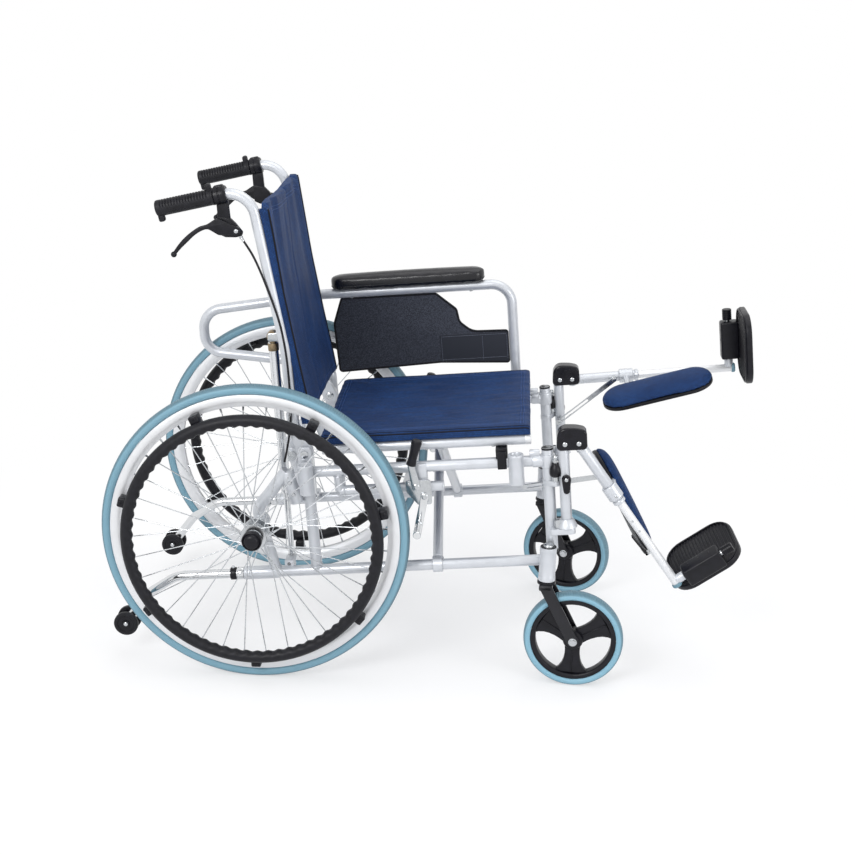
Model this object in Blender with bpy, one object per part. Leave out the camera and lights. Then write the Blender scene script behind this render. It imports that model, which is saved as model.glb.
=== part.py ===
"""Reclining folding wheelchair with elevating leg rests, in metres, +Z up.

The chair faces +X and the user's left is +Y. Most pieces are laid out in the tilted frame of the side
rails, whose axes are s along the rails (forwards), y, and t square to the rails (upwards), with s = t = 0
on the rear axle. "out" is a distance outwards from the middle plane. A leg rest has its own frame: u along
the leg from its knee pivot, y, and v square to the leg (the side that the calf lies on).
"""

import math

import bmesh
import bpy
from mathutils import Matrix, Quaternion, Vector

RIGHT = -1
LEFT = 1
SIDES = ((RIGHT, "right"), (LEFT, "left"))

# Clearances
GAP = 0.0004
RUNNING = 0.0005
FACET_TURN = math.radians(35)

# Overall stance
RAIL_TILT = math.radians(6)
WHEEL_RADIUS = 0.305
FRAME_OUT = 0.217
CANE_OUT = 0.200
WHEEL_OUT = 0.283

# Side frame: the rails run along s at these heights
RAIL_RADIUS = 0.011
UPPER_T = 0.099
MIDDLE_T = 0.057
LOWER_T = -0.110
MIDDLE_END_S = 0.373
MIDDLE_RADIUS = 0.010
RUNG_S = 0.166
LOWER_BACK_S = -0.045
LOWER_FRONT_S = 0.562
REAR_POST_S = 0.104
POST_RADIUS = 0.0115
POST_S = 0.580
POST_FOOT_T = -0.088
POST_TOP_T = 0.126
TEE_RADIUS = 0.0145
TEE_LENGTH = 0.026

# Rear axle carrier
CARRIER_RADIUS = 0.0125
CARRIER_HEAD = (0.063, 0.104)
CARRIER_STUB_END = (0.079, 0.037)
CARRIER_STUB_RADIUS = 0.014
CARRIER_FOOT_S = 0.022
AXLE_RADIUS = 0.006
AXLE_BOSS_RADIUS = 0.017
AXLE_BOSS_HALF_LENGTH = 0.0140
AXLE_SPACER_RADIUS = 0.010

# Seat saddle and the stop beside it
SADDLE_S = 0.4905
SADDLE_LENGTH = 0.023
STOP_S = 0.555
STOP_LENGTH = 0.020

# Armrest sockets
SOCKET_OUT = 0.240
SOCKET_FRONT_S = 0.518
SOCKET_BASE_T = 0.061
SOCKET_TOP_T = 0.122
SOCKET_WALL = 0.0035

# Cross brace and seat
BRACE_S = 0.360
BRACE_PITCH = 0.022
BRACE_RADIUS = 0.010
BRACE_SLEEVE_RADIUS = 0.0155
BRACE_PIN_RADIUS = 0.005
SEAT_RAIL_T = 0.140
SEAT_RAIL_RADIUS = 0.011
SEAT_BACK_S = 0.136
SEAT_FRONT_S = 0.549
SEAT_TOP_T = 0.172
SEAT_EDGE_OUT = 0.2115

# Reclining back: canes turn about the recline pivot
RECLINE_S = 0.102
RECLINE_T = 0.137
RECLINE_PIN_RADIUS = 0.005
LUG_OUT = 0.214
LUG_THICKNESS = 0.011
LUG_WIDTH = 0.027
LUG_TOP_T = 0.150
KNUCKLE_THICKNESS = 0.0145
KNUCKLE_RADIUS = 0.016
CANE_RADIUS = 0.0105
CANE_FOOT = (0.083, 0.188)
CANE_WAIST = (0.083, 0.345)
CANE_SHOULDER = (0.0455, 0.6625)
CANE_BEND_RADIUS = 0.049
CANE_WAIST_RADIUS = 0.150
HANDLE_END = (-0.132, 0.637)
GRIP_RADIUS = 0.015
GRIP_FLANGE_RADIUS = 0.0185
GRIP_LENGTH = 0.115
GRIP_END_WALL = 0.004
BACK_TOP_T = 0.627
BACK_HALF_WIDTH = 0.205
BACK_FRONT = ((0.124, 0.195), (0.117, 0.256), (0.106, 0.342), (0.093, 0.457), (0.079, 0.627))
BACK_STANDOFF = 0.0125

# Release lever on the handle
HOUSING_LENGTH = 0.017
HOUSING_RADIUS = 0.0155
HOUSING_NOSE = (0.0234, 0.5767)
HOUSING_HALF_WIDTH = 0.0045
LEVER_PIVOT = (0.014, 0.586)
LEVER_BLADE = ((0.014, 0.586), (-0.008, 0.601), (-0.050, 0.589), (-0.112, 0.548))
LEVER_RADIUS = 0.0042
LEVER_EYE_RADIUS = 0.0075
LEVER_OFFSET = 0.0092
LEVER_PIN_RADIUS = 0.0025

# Release cable, as (s, out, t)
CABLE_RADIUS = 0.0022
CABLE_ROUTE = (
    (0.0205, 0.2000, 0.5712),
    (0.0420, 0.2040, 0.5300),
    (0.0624, 0.2112, 0.4700),
    (0.0800, 0.2155, 0.4000),
    (0.0860, 0.2155, 0.3300),
    (0.0850, 0.2155, 0.2600),
    (0.0800, 0.2155, 0.2000),
    (0.0700, 0.2165, 0.1550),
    (0.0605, 0.2170, 0.1225),
)
CABLE_POINTS = 22

# Locking strut: both ends are the same distance from the recline pivot
STRUT_HEAD = (0.056, 0.371)
STRUT_FOOT_S = 0.048
STRUT_OUT = 0.177
STRUT_RADIUS = 0.0095
STRUT_LENGTH = 0.325
STRUT_BORE_DEPTH = 0.200
STRUT_EYE_RADIUS = 0.0105
STRUT_EYE_WIDTH = 0.017
ROD_RADIUS = 0.0062
ROD_LENGTH = 0.178
ROD_EYE_RADIUS = 0.0095
STRUT_PIN_RADIUS = 0.004
STRUT_LUG_HALF_LENGTH = 0.009
STRUT_LUG_RISE = 0.008

# Rear wheels
WHEEL_STEPS = 36
TYRE_HEIGHT = 0.0176
TYRE_HALF_WIDTH = 0.014
TREAD_HALF_WIDTH = 0.006
RIM_HEIGHT = 0.0254
RIM_HALF_WIDTH = 0.0125
HUB_RADIUS = 0.016
HUB_FLANGE_RADIUS = 0.026
HUB_INNER_OUT = 0.262
HUB_FLANGES_OUT = (0.268, 0.298)
HUB_CAP_OUT = 0.319
HUB_CAP_RADIUS = 0.020
HUB_END_OUT = 0.336
AXLE_END_OUT = 0.3005
SPOKES = 36
SPOKE_RADIUS = 0.0012
SPOKE_SWEEP = math.radians(42)
PUSH_RIM_DROP = 0.017
PUSH_RIM_TUBE = 0.0125
PUSH_RIM_OUT = 0.3275
PUSH_RIM_SIDES = 6
TAB_ANGLES = (115, 64, 14.5, -36.5, -88.5, -142, 166)
TAB_RISE = 0.004
TAB_LENGTH = 0.018
TAB_WIDTH = 0.020

# Casters, laid out from the swivel axis on the floor
SWIVEL_X = 0.577
SWIVEL_OUT = 0.240
SWIVEL_TURNS = {RIGHT: math.radians(-4.9), LEFT: math.radians(-17.8)}
BARREL_RADIUS = 0.017
BARREL_BASE_Z = 0.2205
BARREL_TOP_Z = 0.2915
STEM_RADIUS = 0.006
CASTER_TRAIL = 0.060
CASTER_RADIUS = 0.100
CASTER_STEPS = 28
CASTER_RIM_RADIUS = 0.0857
CASTER_HALF_WIDTH = 0.015
CASTER_HUB_HALF_WIDTH = 0.0175
CASTER_AXLE_RADIUS = 0.005
CASTER_SPOKE_ANGLES = (30, 150, 270)
FORK_THICKNESS = 0.004
FORK_WIDTH = 0.027
FORK_CROWN_Z = 0.2035
FORK_CROWN_THICKNESS = 0.012

# Anti-tippers
TIPPER_RADIUS = 0.0095
TIPPER_INSERT = 0.060
TIPPER_PATH = ((-0.186, -0.107), (-0.245, -0.143), (-0.299, -0.203))
TIPPER_BEND_RADIUS = 0.060
ROLLER_RADIUS = 0.025
ROLLER_WIDTH = 0.010
ROLLER_AXLE_RADIUS = 0.004
TIPPER_EYE_HALF_WIDTH = 0.0105

# Wheel lock
LOCK_BLOCK_S = (0.318, 0.342)
LOCK_PLATE = (0.299, 0.349, 0.027, 0.078)
LOCK_PLATE_CUT = 0.028
LOCK_PLATE_OUT = (0.236, 0.240)
LOCK_CLAMP_OUT = 0.2305
LOCK_ARM_OUT = (0.2406, 0.2446)
LOCK_LEVER_PIVOT = (0.320, 0.066)
LOCK_GRIP = ((0.313, 0.111), (0.330, 0.163))
LOCK_GRIP_RADIUS = 0.0105
LOCK_PIN_RADIUS = 0.003
SHOE_PIVOT = (0.335, 0.045)
SHOE_PEG_T = -0.016
SHOE_CLEARANCE = 0.0064
SHOE_PEG_RADIUS = 0.008
SHOE_PEG_OUT = 0.297

# Armrest on the left
ARM_RADIUS = 0.011
ARM_POST_FOOT_T = 0.066
ARM_TOP_T = 0.358
ARM_TOP_END_S = 0.100
ARM_TOP_RADIUS = 0.300
ARM_LOOP = ((-0.172, 0.336), (-0.176, 0.244))
ARM_REAR_T = 0.196
ARM_BEND_RADIUS = 0.045
ARM_REAR_BEND = 0.034
PAD_S = (0.120, 0.464)
PAD_HALF_WIDTH = 0.026
PAD_THICKNESS = 0.030
PAD_CORNER = 0.022
PANEL_THICKNESS = 0.006
PANEL_OUTLINE = (
    (0.140, 0.3466),
    (0.352, 0.3466),
    (0.396, 0.308),
    (0.401, 0.278),
    (0.428, 0.254),
    (0.506, 0.252),
    (0.506, 0.180),
    (0.354, 0.187),
    (0.123, 0.179),
    (0.119, 0.290),
)

# Leg rest hanger
HANGER_OUT = 0.230
HANGER_S = 0.611
HANGER_RADIUS = 0.011
HANGER_FOOT_T = -0.030
SWING_S = 0.594
SWING_OUT = 0.2325
SWING_PEG_RADIUS = 0.0045
SWING_EYE_RADIUS = 0.0085
UPPER_PEG_T = (0.050, 0.0605, 0.081)
LOWER_PEG_T = (-0.0485, -0.0370, -0.0240)
LOWER_EYE_TOP_T = -0.019
LOWER_EYE_RADIUS = 0.0205
UPPER_EYE_TOP_T = 0.0854
CAP_OUTLINE = (0.5975, 0.658, 0.1250, 0.172)
CAP_SLOPE = 0.008
CAP_HALF_WIDTH = 0.0155
CAP_SLOT_S = 0.6275
CAP_SLOT_TOP_T = 0.152
CAP_SLOT_HALF_WIDTH = 0.0118
KNEE_S = 0.642
KNEE_T = 0.134
KNEE_PIN_RADIUS = 0.004
LEG_ANGLES = {RIGHT: math.radians(-59.2), LEFT: math.radians(1.3)}
LATCH_OUT = 0.2475
LATCH_S = 0.614
LATCH_T = (0.068, 0.041)
LATCH_RADIUS = 0.0062

# Elevation bar: the knee, the hanger stud and the leg stud make an isosceles triangle
STUD_T = 0.048
BAR_OUT = (0.2010, 0.2045)
BAR_HALF_WIDTH = 0.0050
BAR_SLOT_HALF_WIDTH = 0.0026
STUD_RADIUS = 0.0021
STUD_BOSS_RADIUS = 0.0060
STUD_HEAD_RADIUS = 0.0048
STUD_HEAD_THICKNESS = 0.0021
LEG_TRAVEL = math.radians(60)

# Leg tube, slider and foot plate
LEG_RADIUS = 0.011
LEG_END_U = 0.145
LEG_BORE_U = 0.050
SLIDER_RADIUS = 0.0085
SLIDER_START_U = 0.095
SLIDER_END_U = 0.352
HEEL_RADIUS = 0.0105
HEEL_LENGTH = 0.006
FOOT_AXIS_U = 0.345
FOOT_PIN_RADIUS = 0.0055
FOOT_SLEEVE_RADIUS = 0.0165
FOOT_SLEEVE_V = (0.022, 0.106)
FOOT_PIN_TOP_V = 0.133
FOOT_KNOB_RADIUS = 0.0102
PLATE_U = (0.365, 0.381)
PLATE_V = (-0.010, 0.142)
PLATE_REACH = 0.138
PLATE_HEEL = 0.008
PLATE_CORNER = 0.042
FOOT_TURNS = {RIGHT: math.radians(13), LEFT: 0.0}
RELEASE_U = (0.218, 0.264)
RELEASE_V = -0.0145
RELEASE_TIP_V = -0.0190
RELEASE_THICKNESS = 0.003
RELEASE_HALF_WIDTH = 0.007
RELEASE_LUG_HALF_WIDTH = 0.003
RELEASE_PIN_RADIUS = 0.002

# Calf pad
CALF_LENGTH = 0.240
CALF_WIDTH = 0.096
CALF_THICKNESS = 0.021
CALF_CENTRE_U = 0.179
CALF_CENTRE_REACH = 0.097
CALF_CENTRE_V = 0.009
CALF_CLAMP_U = (0.104, 0.134)
CALF_CLAMP_RADIUS = 0.0155
CALF_ARM_RADIUS = 0.006
CALF_TURNS = {RIGHT: math.radians(10), LEFT: math.radians(9)}
CALF_TILTS = {RIGHT: math.radians(-8), LEFT: math.radians(10.5)}

# Finish: sRGB colour, metallic, roughness
SILVER_PAINT = ("C9CCD1", 0.6, 0.35)
CHROME = ("D8DADD", 1.0, 0.15)
BRIGHT_ALLOY = ("C4C8CC", 0.9, 0.3)
BLACK_PLASTIC = ("1B1C1F", 0.0, 0.5)
BLACK_RUBBER = ("232427", 0.0, 0.75)
BLUE_GREY_TYRE = ("86AFC2", 0.0, 0.65)
NAVY_CLOTH = ("1E3068", 0.0, 0.85)
PANEL_VINYL = ("3A3C44", 0.0, 0.7)


def linear(channel):
    """One sRGB channel of 0 to 255 as a linear value."""
    value = channel / 255
    return value / 12.92 if value <= 0.04045 else ((value + 0.055) / 1.055) ** 2.4


def paint(obj, finish):
    """Gives the object a material of its own."""
    code, metallic, roughness = finish
    material = bpy.data.materials.new(obj.name)
    material.use_nodes = True
    shader = material.node_tree.nodes["Principled BSDF"]
    colour = [linear(int(code[i : i + 2], 16)) for i in (0, 2, 4)]
    shader.inputs["Base Color"].default_value = (*colour, 1)
    shader.inputs["Metallic"].default_value = metallic
    shader.inputs["Roughness"].default_value = roughness
    material.diffuse_color = (*colour, 1)
    obj.data.materials.clear()
    obj.data.materials.append(material)


def clear_scene():
    for obj in list(bpy.data.objects):
        bpy.data.objects.remove(obj)


def linked(name, data):
    obj = bpy.data.objects.new(name, data)
    bpy.context.scene.collection.objects.link(obj)
    return obj


def from_bmesh(shape):
    """A helper object from a bmesh, its faces turned outwards."""
    bmesh.ops.recalc_face_normals(shape, faces=shape.faces)
    mesh = bpy.data.meshes.new("shape")
    shape.to_mesh(mesh)
    shape.free()
    return linked("shape", mesh)


def evaluated_mesh(obj):
    bpy.context.view_layer.update()
    graph = bpy.context.evaluated_depsgraph_get()
    return bpy.data.meshes.new_from_object(obj.evaluated_get(graph))


def tube(path, radius, sides=8):
    """A round bar along the path's points, with closed ends."""
    curve = bpy.data.curves.new("path", "CURVE")
    curve.dimensions = "3D"
    curve.bevel_depth = radius
    curve.bevel_resolution = (sides - 4) // 2
    curve.use_fill_caps = True
    spline = curve.splines.new("POLY")
    spline.points.add(len(path) - 1)
    for slot, place in zip(spline.points, path):
        slot.co = (*place, 1)
    source = linked("path", curve)
    mesh = evaluated_mesh(source)
    bpy.data.objects.remove(source)
    return linked("tube", mesh)


def rod(start, end, radius, sides=8, tip=None):
    """A cylinder between two points, or a cone when the tip's radius differs."""
    start, end = Vector(start), Vector(end)
    along = end - start
    turn = along.to_track_quat("Z", "Y").to_matrix().to_4x4()
    shape = bmesh.new()
    bmesh.ops.create_cone(
        shape,
        cap_ends=True,
        segments=sides,
        radius1=radius,
        radius2=radius if tip is None else tip,
        depth=along.length,
        matrix=Matrix.Translation((start + end) / 2) @ turn,
    )
    return from_bmesh(shape)


def bore(start, end, radius, sides=12):
    """A cutter whose flats, not its corners, are at the radius."""
    return rod(start, end, radius / math.cos(math.pi / sides), sides)


def block(low, high):
    """A box between two corners, given in any order."""
    low, high = Vector(low), Vector(high)
    shape = bmesh.new()
    size = Vector([abs(a - b) for a, b in zip(low, high)])
    place = Matrix.Translation((low + high) / 2) @ Matrix.Diagonal((*size, 1))
    bmesh.ops.create_cube(shape, size=1, matrix=place)
    return from_bmesh(shape)


def prism(outline, depth):
    """The closed outline of 3-D points pushed along depth."""
    shape = bmesh.new()
    face = shape.faces.new([shape.verts.new(place) for place in outline])
    made = bmesh.ops.extrude_face_region(shape, geom=[face])["geom"]
    moved = [item for item in made if isinstance(item, bmesh.types.BMVert)]
    bmesh.ops.translate(shape, verts=moved, vec=depth)
    return from_bmesh(shape)


def plate(outline, side, out_low, out_high):
    """A flat plate with its outline in (s, t), between two distances from the middle plane."""
    corners = [(s, side * out_low, t) for s, t in outline]
    return prism(corners, (0, side * (out_high - out_low), 0))


def turned(profile, steps):
    """The (radius, along) loop turned about the Y axis, with a flat facing down at the stated radius."""
    half = math.pi / steps
    shape = bmesh.new()
    corners = [shape.verts.new((r * math.tan(half), y, -r)) for r, y in profile]
    edges = [shape.edges.new((a, b)) for a, b in zip(corners, corners[1:] + corners[:1])]
    bmesh.ops.spin(
        shape,
        geom=corners + edges,
        cent=(0, 0, 0),
        axis=(0, 1, 0),
        angle=2 * math.pi,
        steps=steps,
        use_merge=True,
    )
    return from_bmesh(shape)


def arc(before, corner, after, radius, steps):
    """The points of the arc that rounds the corner between two straight runs."""
    before, corner, after = Vector(before), Vector(corner), Vector(after)
    arrive = (corner - before).normalized()
    leave = (after - corner).normalized()
    turn = arrive.angle(leave)
    centre = corner + (leave - arrive).normalized() * radius / math.cos(turn / 2)
    spoke = corner - arrive * radius * math.tan(turn / 2) - centre
    axis = arrive.cross(leave).normalized()
    return [centre + Quaternion(axis, turn * i / steps) @ spoke for i in range(steps + 1)]


def rounded_path(corners, radii, steps=4):
    """The path through the corners, with each inner one rounded by its own radius."""
    path = [Vector(corners[0])]
    for i, radius in enumerate(radii, 1):
        path += arc(corners[i - 1], corners[i], corners[i + 1], radius, steps)
    return path + [Vector(corners[-1])]


def rounded_loop(corners, radius, steps=3):
    """The closed outline through the corners, with every one rounded."""
    count = len(corners)
    loop = []
    for i, corner in enumerate(corners):
        loop += arc(corners[i - 1], corner, corners[(i + 1) % count], radius, steps)
    return loop


def smooth_path(route, count):
    """Evenly numbered points on a smooth curve through the route's points."""
    places = [Vector(place) for place in route]
    places = [2 * places[0] - places[1], *places, 2 * places[-1] - places[-2]]
    spans = len(route) - 1
    path = []
    for i in range(count):
        along = spans * i / (count - 1)
        k = min(int(along), spans - 1)
        x = along - k
        a, b, c, d = places[k : k + 4]
        path.append(0.5 * (2 * b + (c - a) * x + (2 * a - 5 * b + 4 * c - d) * x**2
                           + (3 * b - a - 3 * c + d) * x**3))
    return path


def fuse(pieces, cuts=()):
    """One object: the pieces united, and then the cuts taken away."""
    body = pieces[0]
    helpers = [*pieces, *cuts]
    groups = []
    for operation, others in (("UNION", pieces[1:]), ("DIFFERENCE", cuts)):
        if not others:
            continue
        group = bpy.data.collections.new("operands")
        for other in others:
            group.objects.link(other)
        step = body.modifiers.new(operation, "BOOLEAN")
        step.operation = operation
        step.solver = "EXACT"
        step.operand_type = "COLLECTION"
        step.collection = group
        groups.append(group)
    mesh = evaluated_mesh(body)
    for helper in helpers:
        bpy.data.objects.remove(helper)
    for group in groups:
        bpy.data.collections.remove(group)
    return linked("fused", mesh)


def place(obj, name, finish, parent, at=(0, 0, 0)):
    """Names the piece and puts its origin on its joint, at a point of its parent's frame."""
    at = Vector(at)
    obj.name = name
    obj.data.name = name
    obj.data.transform(Matrix.Translation(-at))
    obj.parent = parent
    obj.location = at
    obj.data.shade_smooth()
    obj.data.set_sharp_from_angle(angle=FACET_TURN)
    paint(obj, finish)
    return obj


def frame_empty(name, parent, at=(0, 0, 0), turn=None):
    """An empty that carries a group of pieces."""
    empty = linked(name, None)
    empty.parent = parent
    empty.location = at
    if turn is not None:
        empty.rotation_mode = "QUATERNION"
        empty.rotation_quaternion = turn
    return empty


def link_outline(near, near_radius, far, far_radius, steps=5):
    """The outline drawn tightly round two discs in one plane."""
    near, far = Vector(near), Vector(far)
    along = far - near
    heading = math.atan2(along.y, along.x)
    spread = math.acos((near_radius - far_radius) / along.length)
    outline = []
    for centre, radius, first, sweep in (
        (near, near_radius, heading + spread, 2 * math.pi - 2 * spread),
        (far, far_radius, heading - spread, 2 * spread),
    ):
        turns = [first + sweep * i / steps for i in range(steps + 1)]
        outline += [(centre.x + radius * math.cos(a), centre.y + radius * math.sin(a)) for a in turns]
    return outline


def from_world(x, z):
    """(s, t) of a point of the upright frame."""
    c, d = math.cos(RAIL_TILT), math.sin(RAIL_TILT)
    return x * c + (z - WHEEL_RADIUS) * d, (z - WHEEL_RADIUS) * c - x * d


def arm_post_bore():
    return ARM_RADIUS + RUNNING


def rail_tubes(side):
    """The straight tubes of one side frame, and the sleeves on them."""
    y = side * FRAME_OUT
    half_tee = TEE_LENGTH / 2
    return [
        rod((REAR_POST_S, y, UPPER_T), (POST_S, y, UPPER_T), RAIL_RADIUS),
        rod((RUNG_S, y, MIDDLE_T), (MIDDLE_END_S, y, MIDDLE_T), MIDDLE_RADIUS),
        rod((RUNG_S, y, MIDDLE_T), (RUNG_S, y, UPPER_T), MIDDLE_RADIUS),
        rod((LOWER_BACK_S, y, LOWER_T), (LOWER_FRONT_S, y, LOWER_T), RAIL_RADIUS, 12),
        rod((REAR_POST_S, y, LOWER_T), (REAR_POST_S, y, UPPER_T + RAIL_RADIUS / 2), POST_RADIUS),
        rod((POST_S, y, POST_FOOT_T), (POST_S, y, POST_TOP_T), POST_RADIUS),
        rod((POST_S, y, UPPER_T - half_tee), (POST_S, y, UPPER_T + half_tee), TEE_RADIUS, 10),
    ]


def axle_carrier(side):
    """The curved tube that carries the rear axle, the stub above it and the axle itself."""
    y = side * FRAME_OUT
    route = [CARRIER_HEAD, (0.050, 0.089), (0.024, 0.058), (0, 0.030), (0, 0)]
    bend = smooth_path([(s, y, t) for s, t in route], 8)
    boss_face = FRAME_OUT + AXLE_BOSS_HALF_LENGTH
    head_s, head_t = CARRIER_HEAD
    web = [(head_s - CARRIER_STUB_RADIUS / 2, head_t - 0.004), (REAR_POST_S, UPPER_T),
           (REAR_POST_S, UPPER_T - 0.030), (head_s, head_t - 0.034)]
    return [
        tube(bend, CARRIER_RADIUS),
        rod((0, y, 0), (CARRIER_FOOT_S, y, LOWER_T), RAIL_RADIUS),
        rod(
            at_out(side, CARRIER_HEAD, FRAME_OUT),
            at_out(side, CARRIER_STUB_END, FRAME_OUT),
            CARRIER_STUB_RADIUS,
        ),
        plate(web, side, FRAME_OUT - 0.004, FRAME_OUT + 0.004),
        across(side, (0, 0), FRAME_OUT - AXLE_BOSS_HALF_LENGTH, boss_face, AXLE_BOSS_RADIUS, 12),
        across(side, (0, 0), boss_face - 0.005, HUB_INNER_OUT - RUNNING, AXLE_SPACER_RADIUS, 10),
        across(side, (0, 0), boss_face - 0.003, AXLE_END_OUT, AXLE_RADIUS, 12),
    ]


def at_out(side, place, out):
    """A point of the tilted frame from its (s, t) and its distance from the middle plane."""
    return (place[0], side * out, place[1])


def across(side, place, out_low, out_high, radius, sides=8):
    """A round bar along y at an (s, t) place."""
    return rod(at_out(side, place, out_low), at_out(side, place, out_high), radius, sides)


def bore_across(side, place, out_low, out_high, radius, sides=12):
    return bore(at_out(side, place, out_low), at_out(side, place, out_high), radius, sides)


def recline_lug(side):
    """The fixed lug above the rear post, and the bolt that the cane's knuckle turns on."""
    low, high = LUG_OUT - LUG_THICKNESS / 2, LUG_OUT + LUG_THICKNESS / 2
    half = LUG_WIDTH / 2
    outline = [
        (RECLINE_S - half, LUG_TOP_T - 0.004),
        (RECLINE_S - half + 0.004, LUG_TOP_T),
        (RECLINE_S + half - 0.004, LUG_TOP_T),
        (RECLINE_S + half, LUG_TOP_T - 0.004),
        (RECLINE_S + half, UPPER_T),
        (RECLINE_S - half, UPPER_T),
    ]
    inner = low - RUNNING - KNUCKLE_THICKNESS - RUNNING
    return [
        plate(outline, side, low, high),
        across(side, (RECLINE_S, RECLINE_T), inner, high + 0.004, RECLINE_PIN_RADIUS),
        across(side, (RECLINE_S, RECLINE_T), inner - 0.004, inner, RECLINE_PIN_RADIUS + 0.004),
    ]


def strut_foot():
    """(s, t) of the strut's lower pivot: as far from the recline pivot as its head is."""
    reach = math.dist(STRUT_HEAD, (RECLINE_S, RECLINE_T))
    drop = math.sqrt(reach**2 - (RECLINE_S - STRUT_FOOT_S) ** 2)
    return (STRUT_FOOT_S, RECLINE_T - drop)


def strut_foot_lug(side):
    """The lug on the lower rail with the pin that the strut's rod turns on."""
    foot = strut_foot()
    eye_face = STRUT_OUT + STRUT_EYE_WIDTH / 2 + RUNNING
    low = (foot[0] - STRUT_LUG_HALF_LENGTH, LOWER_T)
    high = (foot[0] + STRUT_LUG_HALF_LENGTH, foot[1] + STRUT_LUG_RISE)
    return [
        block(at_out(side, low, eye_face), at_out(side, high, FRAME_OUT)),
        across(side, foot, STRUT_OUT - STRUT_EYE_WIDTH / 2, FRAME_OUT, STRUT_PIN_RADIUS),
    ]


def lock_bracket(side):
    """The clamp on the two rails, its plate and the pins of the wheel lock."""
    low_s, high_s, low_t, high_t = LOCK_PLATE
    outline = [
        (low_s, low_t + LOCK_PLATE_CUT),
        (low_s, high_t),
        (high_s, high_t),
        (high_s, low_t),
        (high_s - LOCK_PLATE_CUT, low_t),
    ]
    inside = sum(LOCK_PLATE_OUT) / 2
    pin_end = LOCK_ARM_OUT[1] + 0.002
    clamp_base = MIDDLE_T - 0.006
    block_low, block_high = LOCK_BLOCK_S
    return [
        block(at_out(side, (block_low, clamp_base), FRAME_OUT),
              at_out(side, (block_high, UPPER_T + 0.009), LOCK_CLAMP_OUT)),
        block(at_out(side, (block_low + 0.001, clamp_base + 0.001), FRAME_OUT + 0.001),
              at_out(side, (block_high - 0.001, high_t - 0.002), inside)),
        plate(outline, side, *LOCK_PLATE_OUT),
        across(side, LOCK_LEVER_PIVOT, inside, pin_end, LOCK_PIN_RADIUS),
        across(side, SHOE_PIVOT, inside, pin_end, LOCK_PIN_RADIUS),
    ]


def armrest_sockets(side):
    """The two sleeves outside the rails, and the cutters of their bores."""
    outer = arm_post_bore() + SOCKET_WALL
    sleeves = []
    bores = []
    for s in (REAR_POST_S, SOCKET_FRONT_S):
        low = Vector((s, side * SOCKET_OUT, SOCKET_BASE_T))
        high = Vector((s, side * SOCKET_OUT, SOCKET_TOP_T))
        past = Vector((0, 0, 0.01))
        sleeves.append(rod(low, high, outer, 12))
        bores.append(bore(low - past, high + past, arm_post_bore()))
    return sleeves, bores


def hanger_pegs(side):
    """The two brackets in front of the post with the pegs that a leg rest hangs and swings on."""
    pin = (SWING_S, side * SWING_OUT)
    base, seat, top = UPPER_PEG_T
    foot_base, foot_seat, foot_top = LOWER_PEG_T
    along = Vector((SWING_S - POST_S, pin[1] - side * FRAME_OUT, 0)).normalized()
    square = Vector((-along.y, along.x, 0)) * SWING_PEG_RADIUS
    corners = [Vector((POST_S, side * FRAME_OUT, base)) + square, Vector((*pin, base)) + square,
               Vector((*pin, base)) - square, Vector((POST_S, side * FRAME_OUT, base)) - square]
    low_corner = (POST_S - 0.004, side * (FRAME_OUT - 0.010), foot_base)
    reach = LOWER_EYE_RADIUS * 0.8
    high_corner = (HANGER_S + reach, side * (HANGER_OUT + reach), foot_seat)
    return [
        prism(corners, (0, 0, seat - base)),
        rod((*pin, base), (*pin, top), SWING_PEG_RADIUS),
        block(low_corner, high_corner),
        rod((*pin, foot_base), (*pin, foot_top), SWING_PEG_RADIUS),
    ]


def caster_barrel(side):
    """The upright bearing tube of the caster in world directions, as a tilted piece."""
    low_s, low_t = from_world(SWIVEL_X, BARREL_BASE_Z)
    top_s, top_t = from_world(SWIVEL_X, BARREL_TOP_Z)
    low, top = (low_s, side * SWIVEL_OUT, low_t), (top_s, side * SWIVEL_OUT, top_t)
    rail_end = (LOWER_FRONT_S - 0.004, side * FRAME_OUT, LOWER_T)
    middle = ((low_s + top_s) / 2, side * SWIVEL_OUT, (low_t + top_t) / 2)
    post_foot = (POST_S, side * FRAME_OUT, POST_FOOT_T + 0.004)
    pieces = [
        rod(low, top, BARREL_RADIUS, 12),
        rod(rail_end, middle, RAIL_RADIUS),
        rod(post_foot, middle, POST_RADIUS),
    ]
    down = (Vector(low) - Vector(top)).normalized() * 0.01
    return pieces, bore(Vector(top) - down, Vector(low) + down, STEM_RADIUS + RUNNING)


def seat_saddle(side):
    """The block on the upper rail that the seat rail drops into, and the small stop in front of it."""
    half = SADDLE_LENGTH / 2
    top = SEAT_RAIL_T - SEAT_RAIL_RADIUS - RUNNING
    return [
        block((SADDLE_S - half, side * (CANE_OUT - 0.008), UPPER_T + 0.006),
              (SADDLE_S + half, side * (FRAME_OUT + 0.006), top)),
        rod((STOP_S - STOP_LENGTH / 2, side * FRAME_OUT, UPPER_T + RAIL_RADIUS + 0.005),
            (STOP_S + STOP_LENGTH / 2, side * FRAME_OUT, UPPER_T + RAIL_RADIUS + 0.005), 0.0075),
    ]


def tipper_bore(side):
    """The bore in the lower rail's rear end that takes the anti-tip tube."""
    return bore((LOWER_BACK_S - 0.01, side * FRAME_OUT, LOWER_T),
                (LOWER_BACK_S + TIPPER_INSERT + GAP, side * FRAME_OUT, LOWER_T), TIPPER_RADIUS + GAP)


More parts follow.
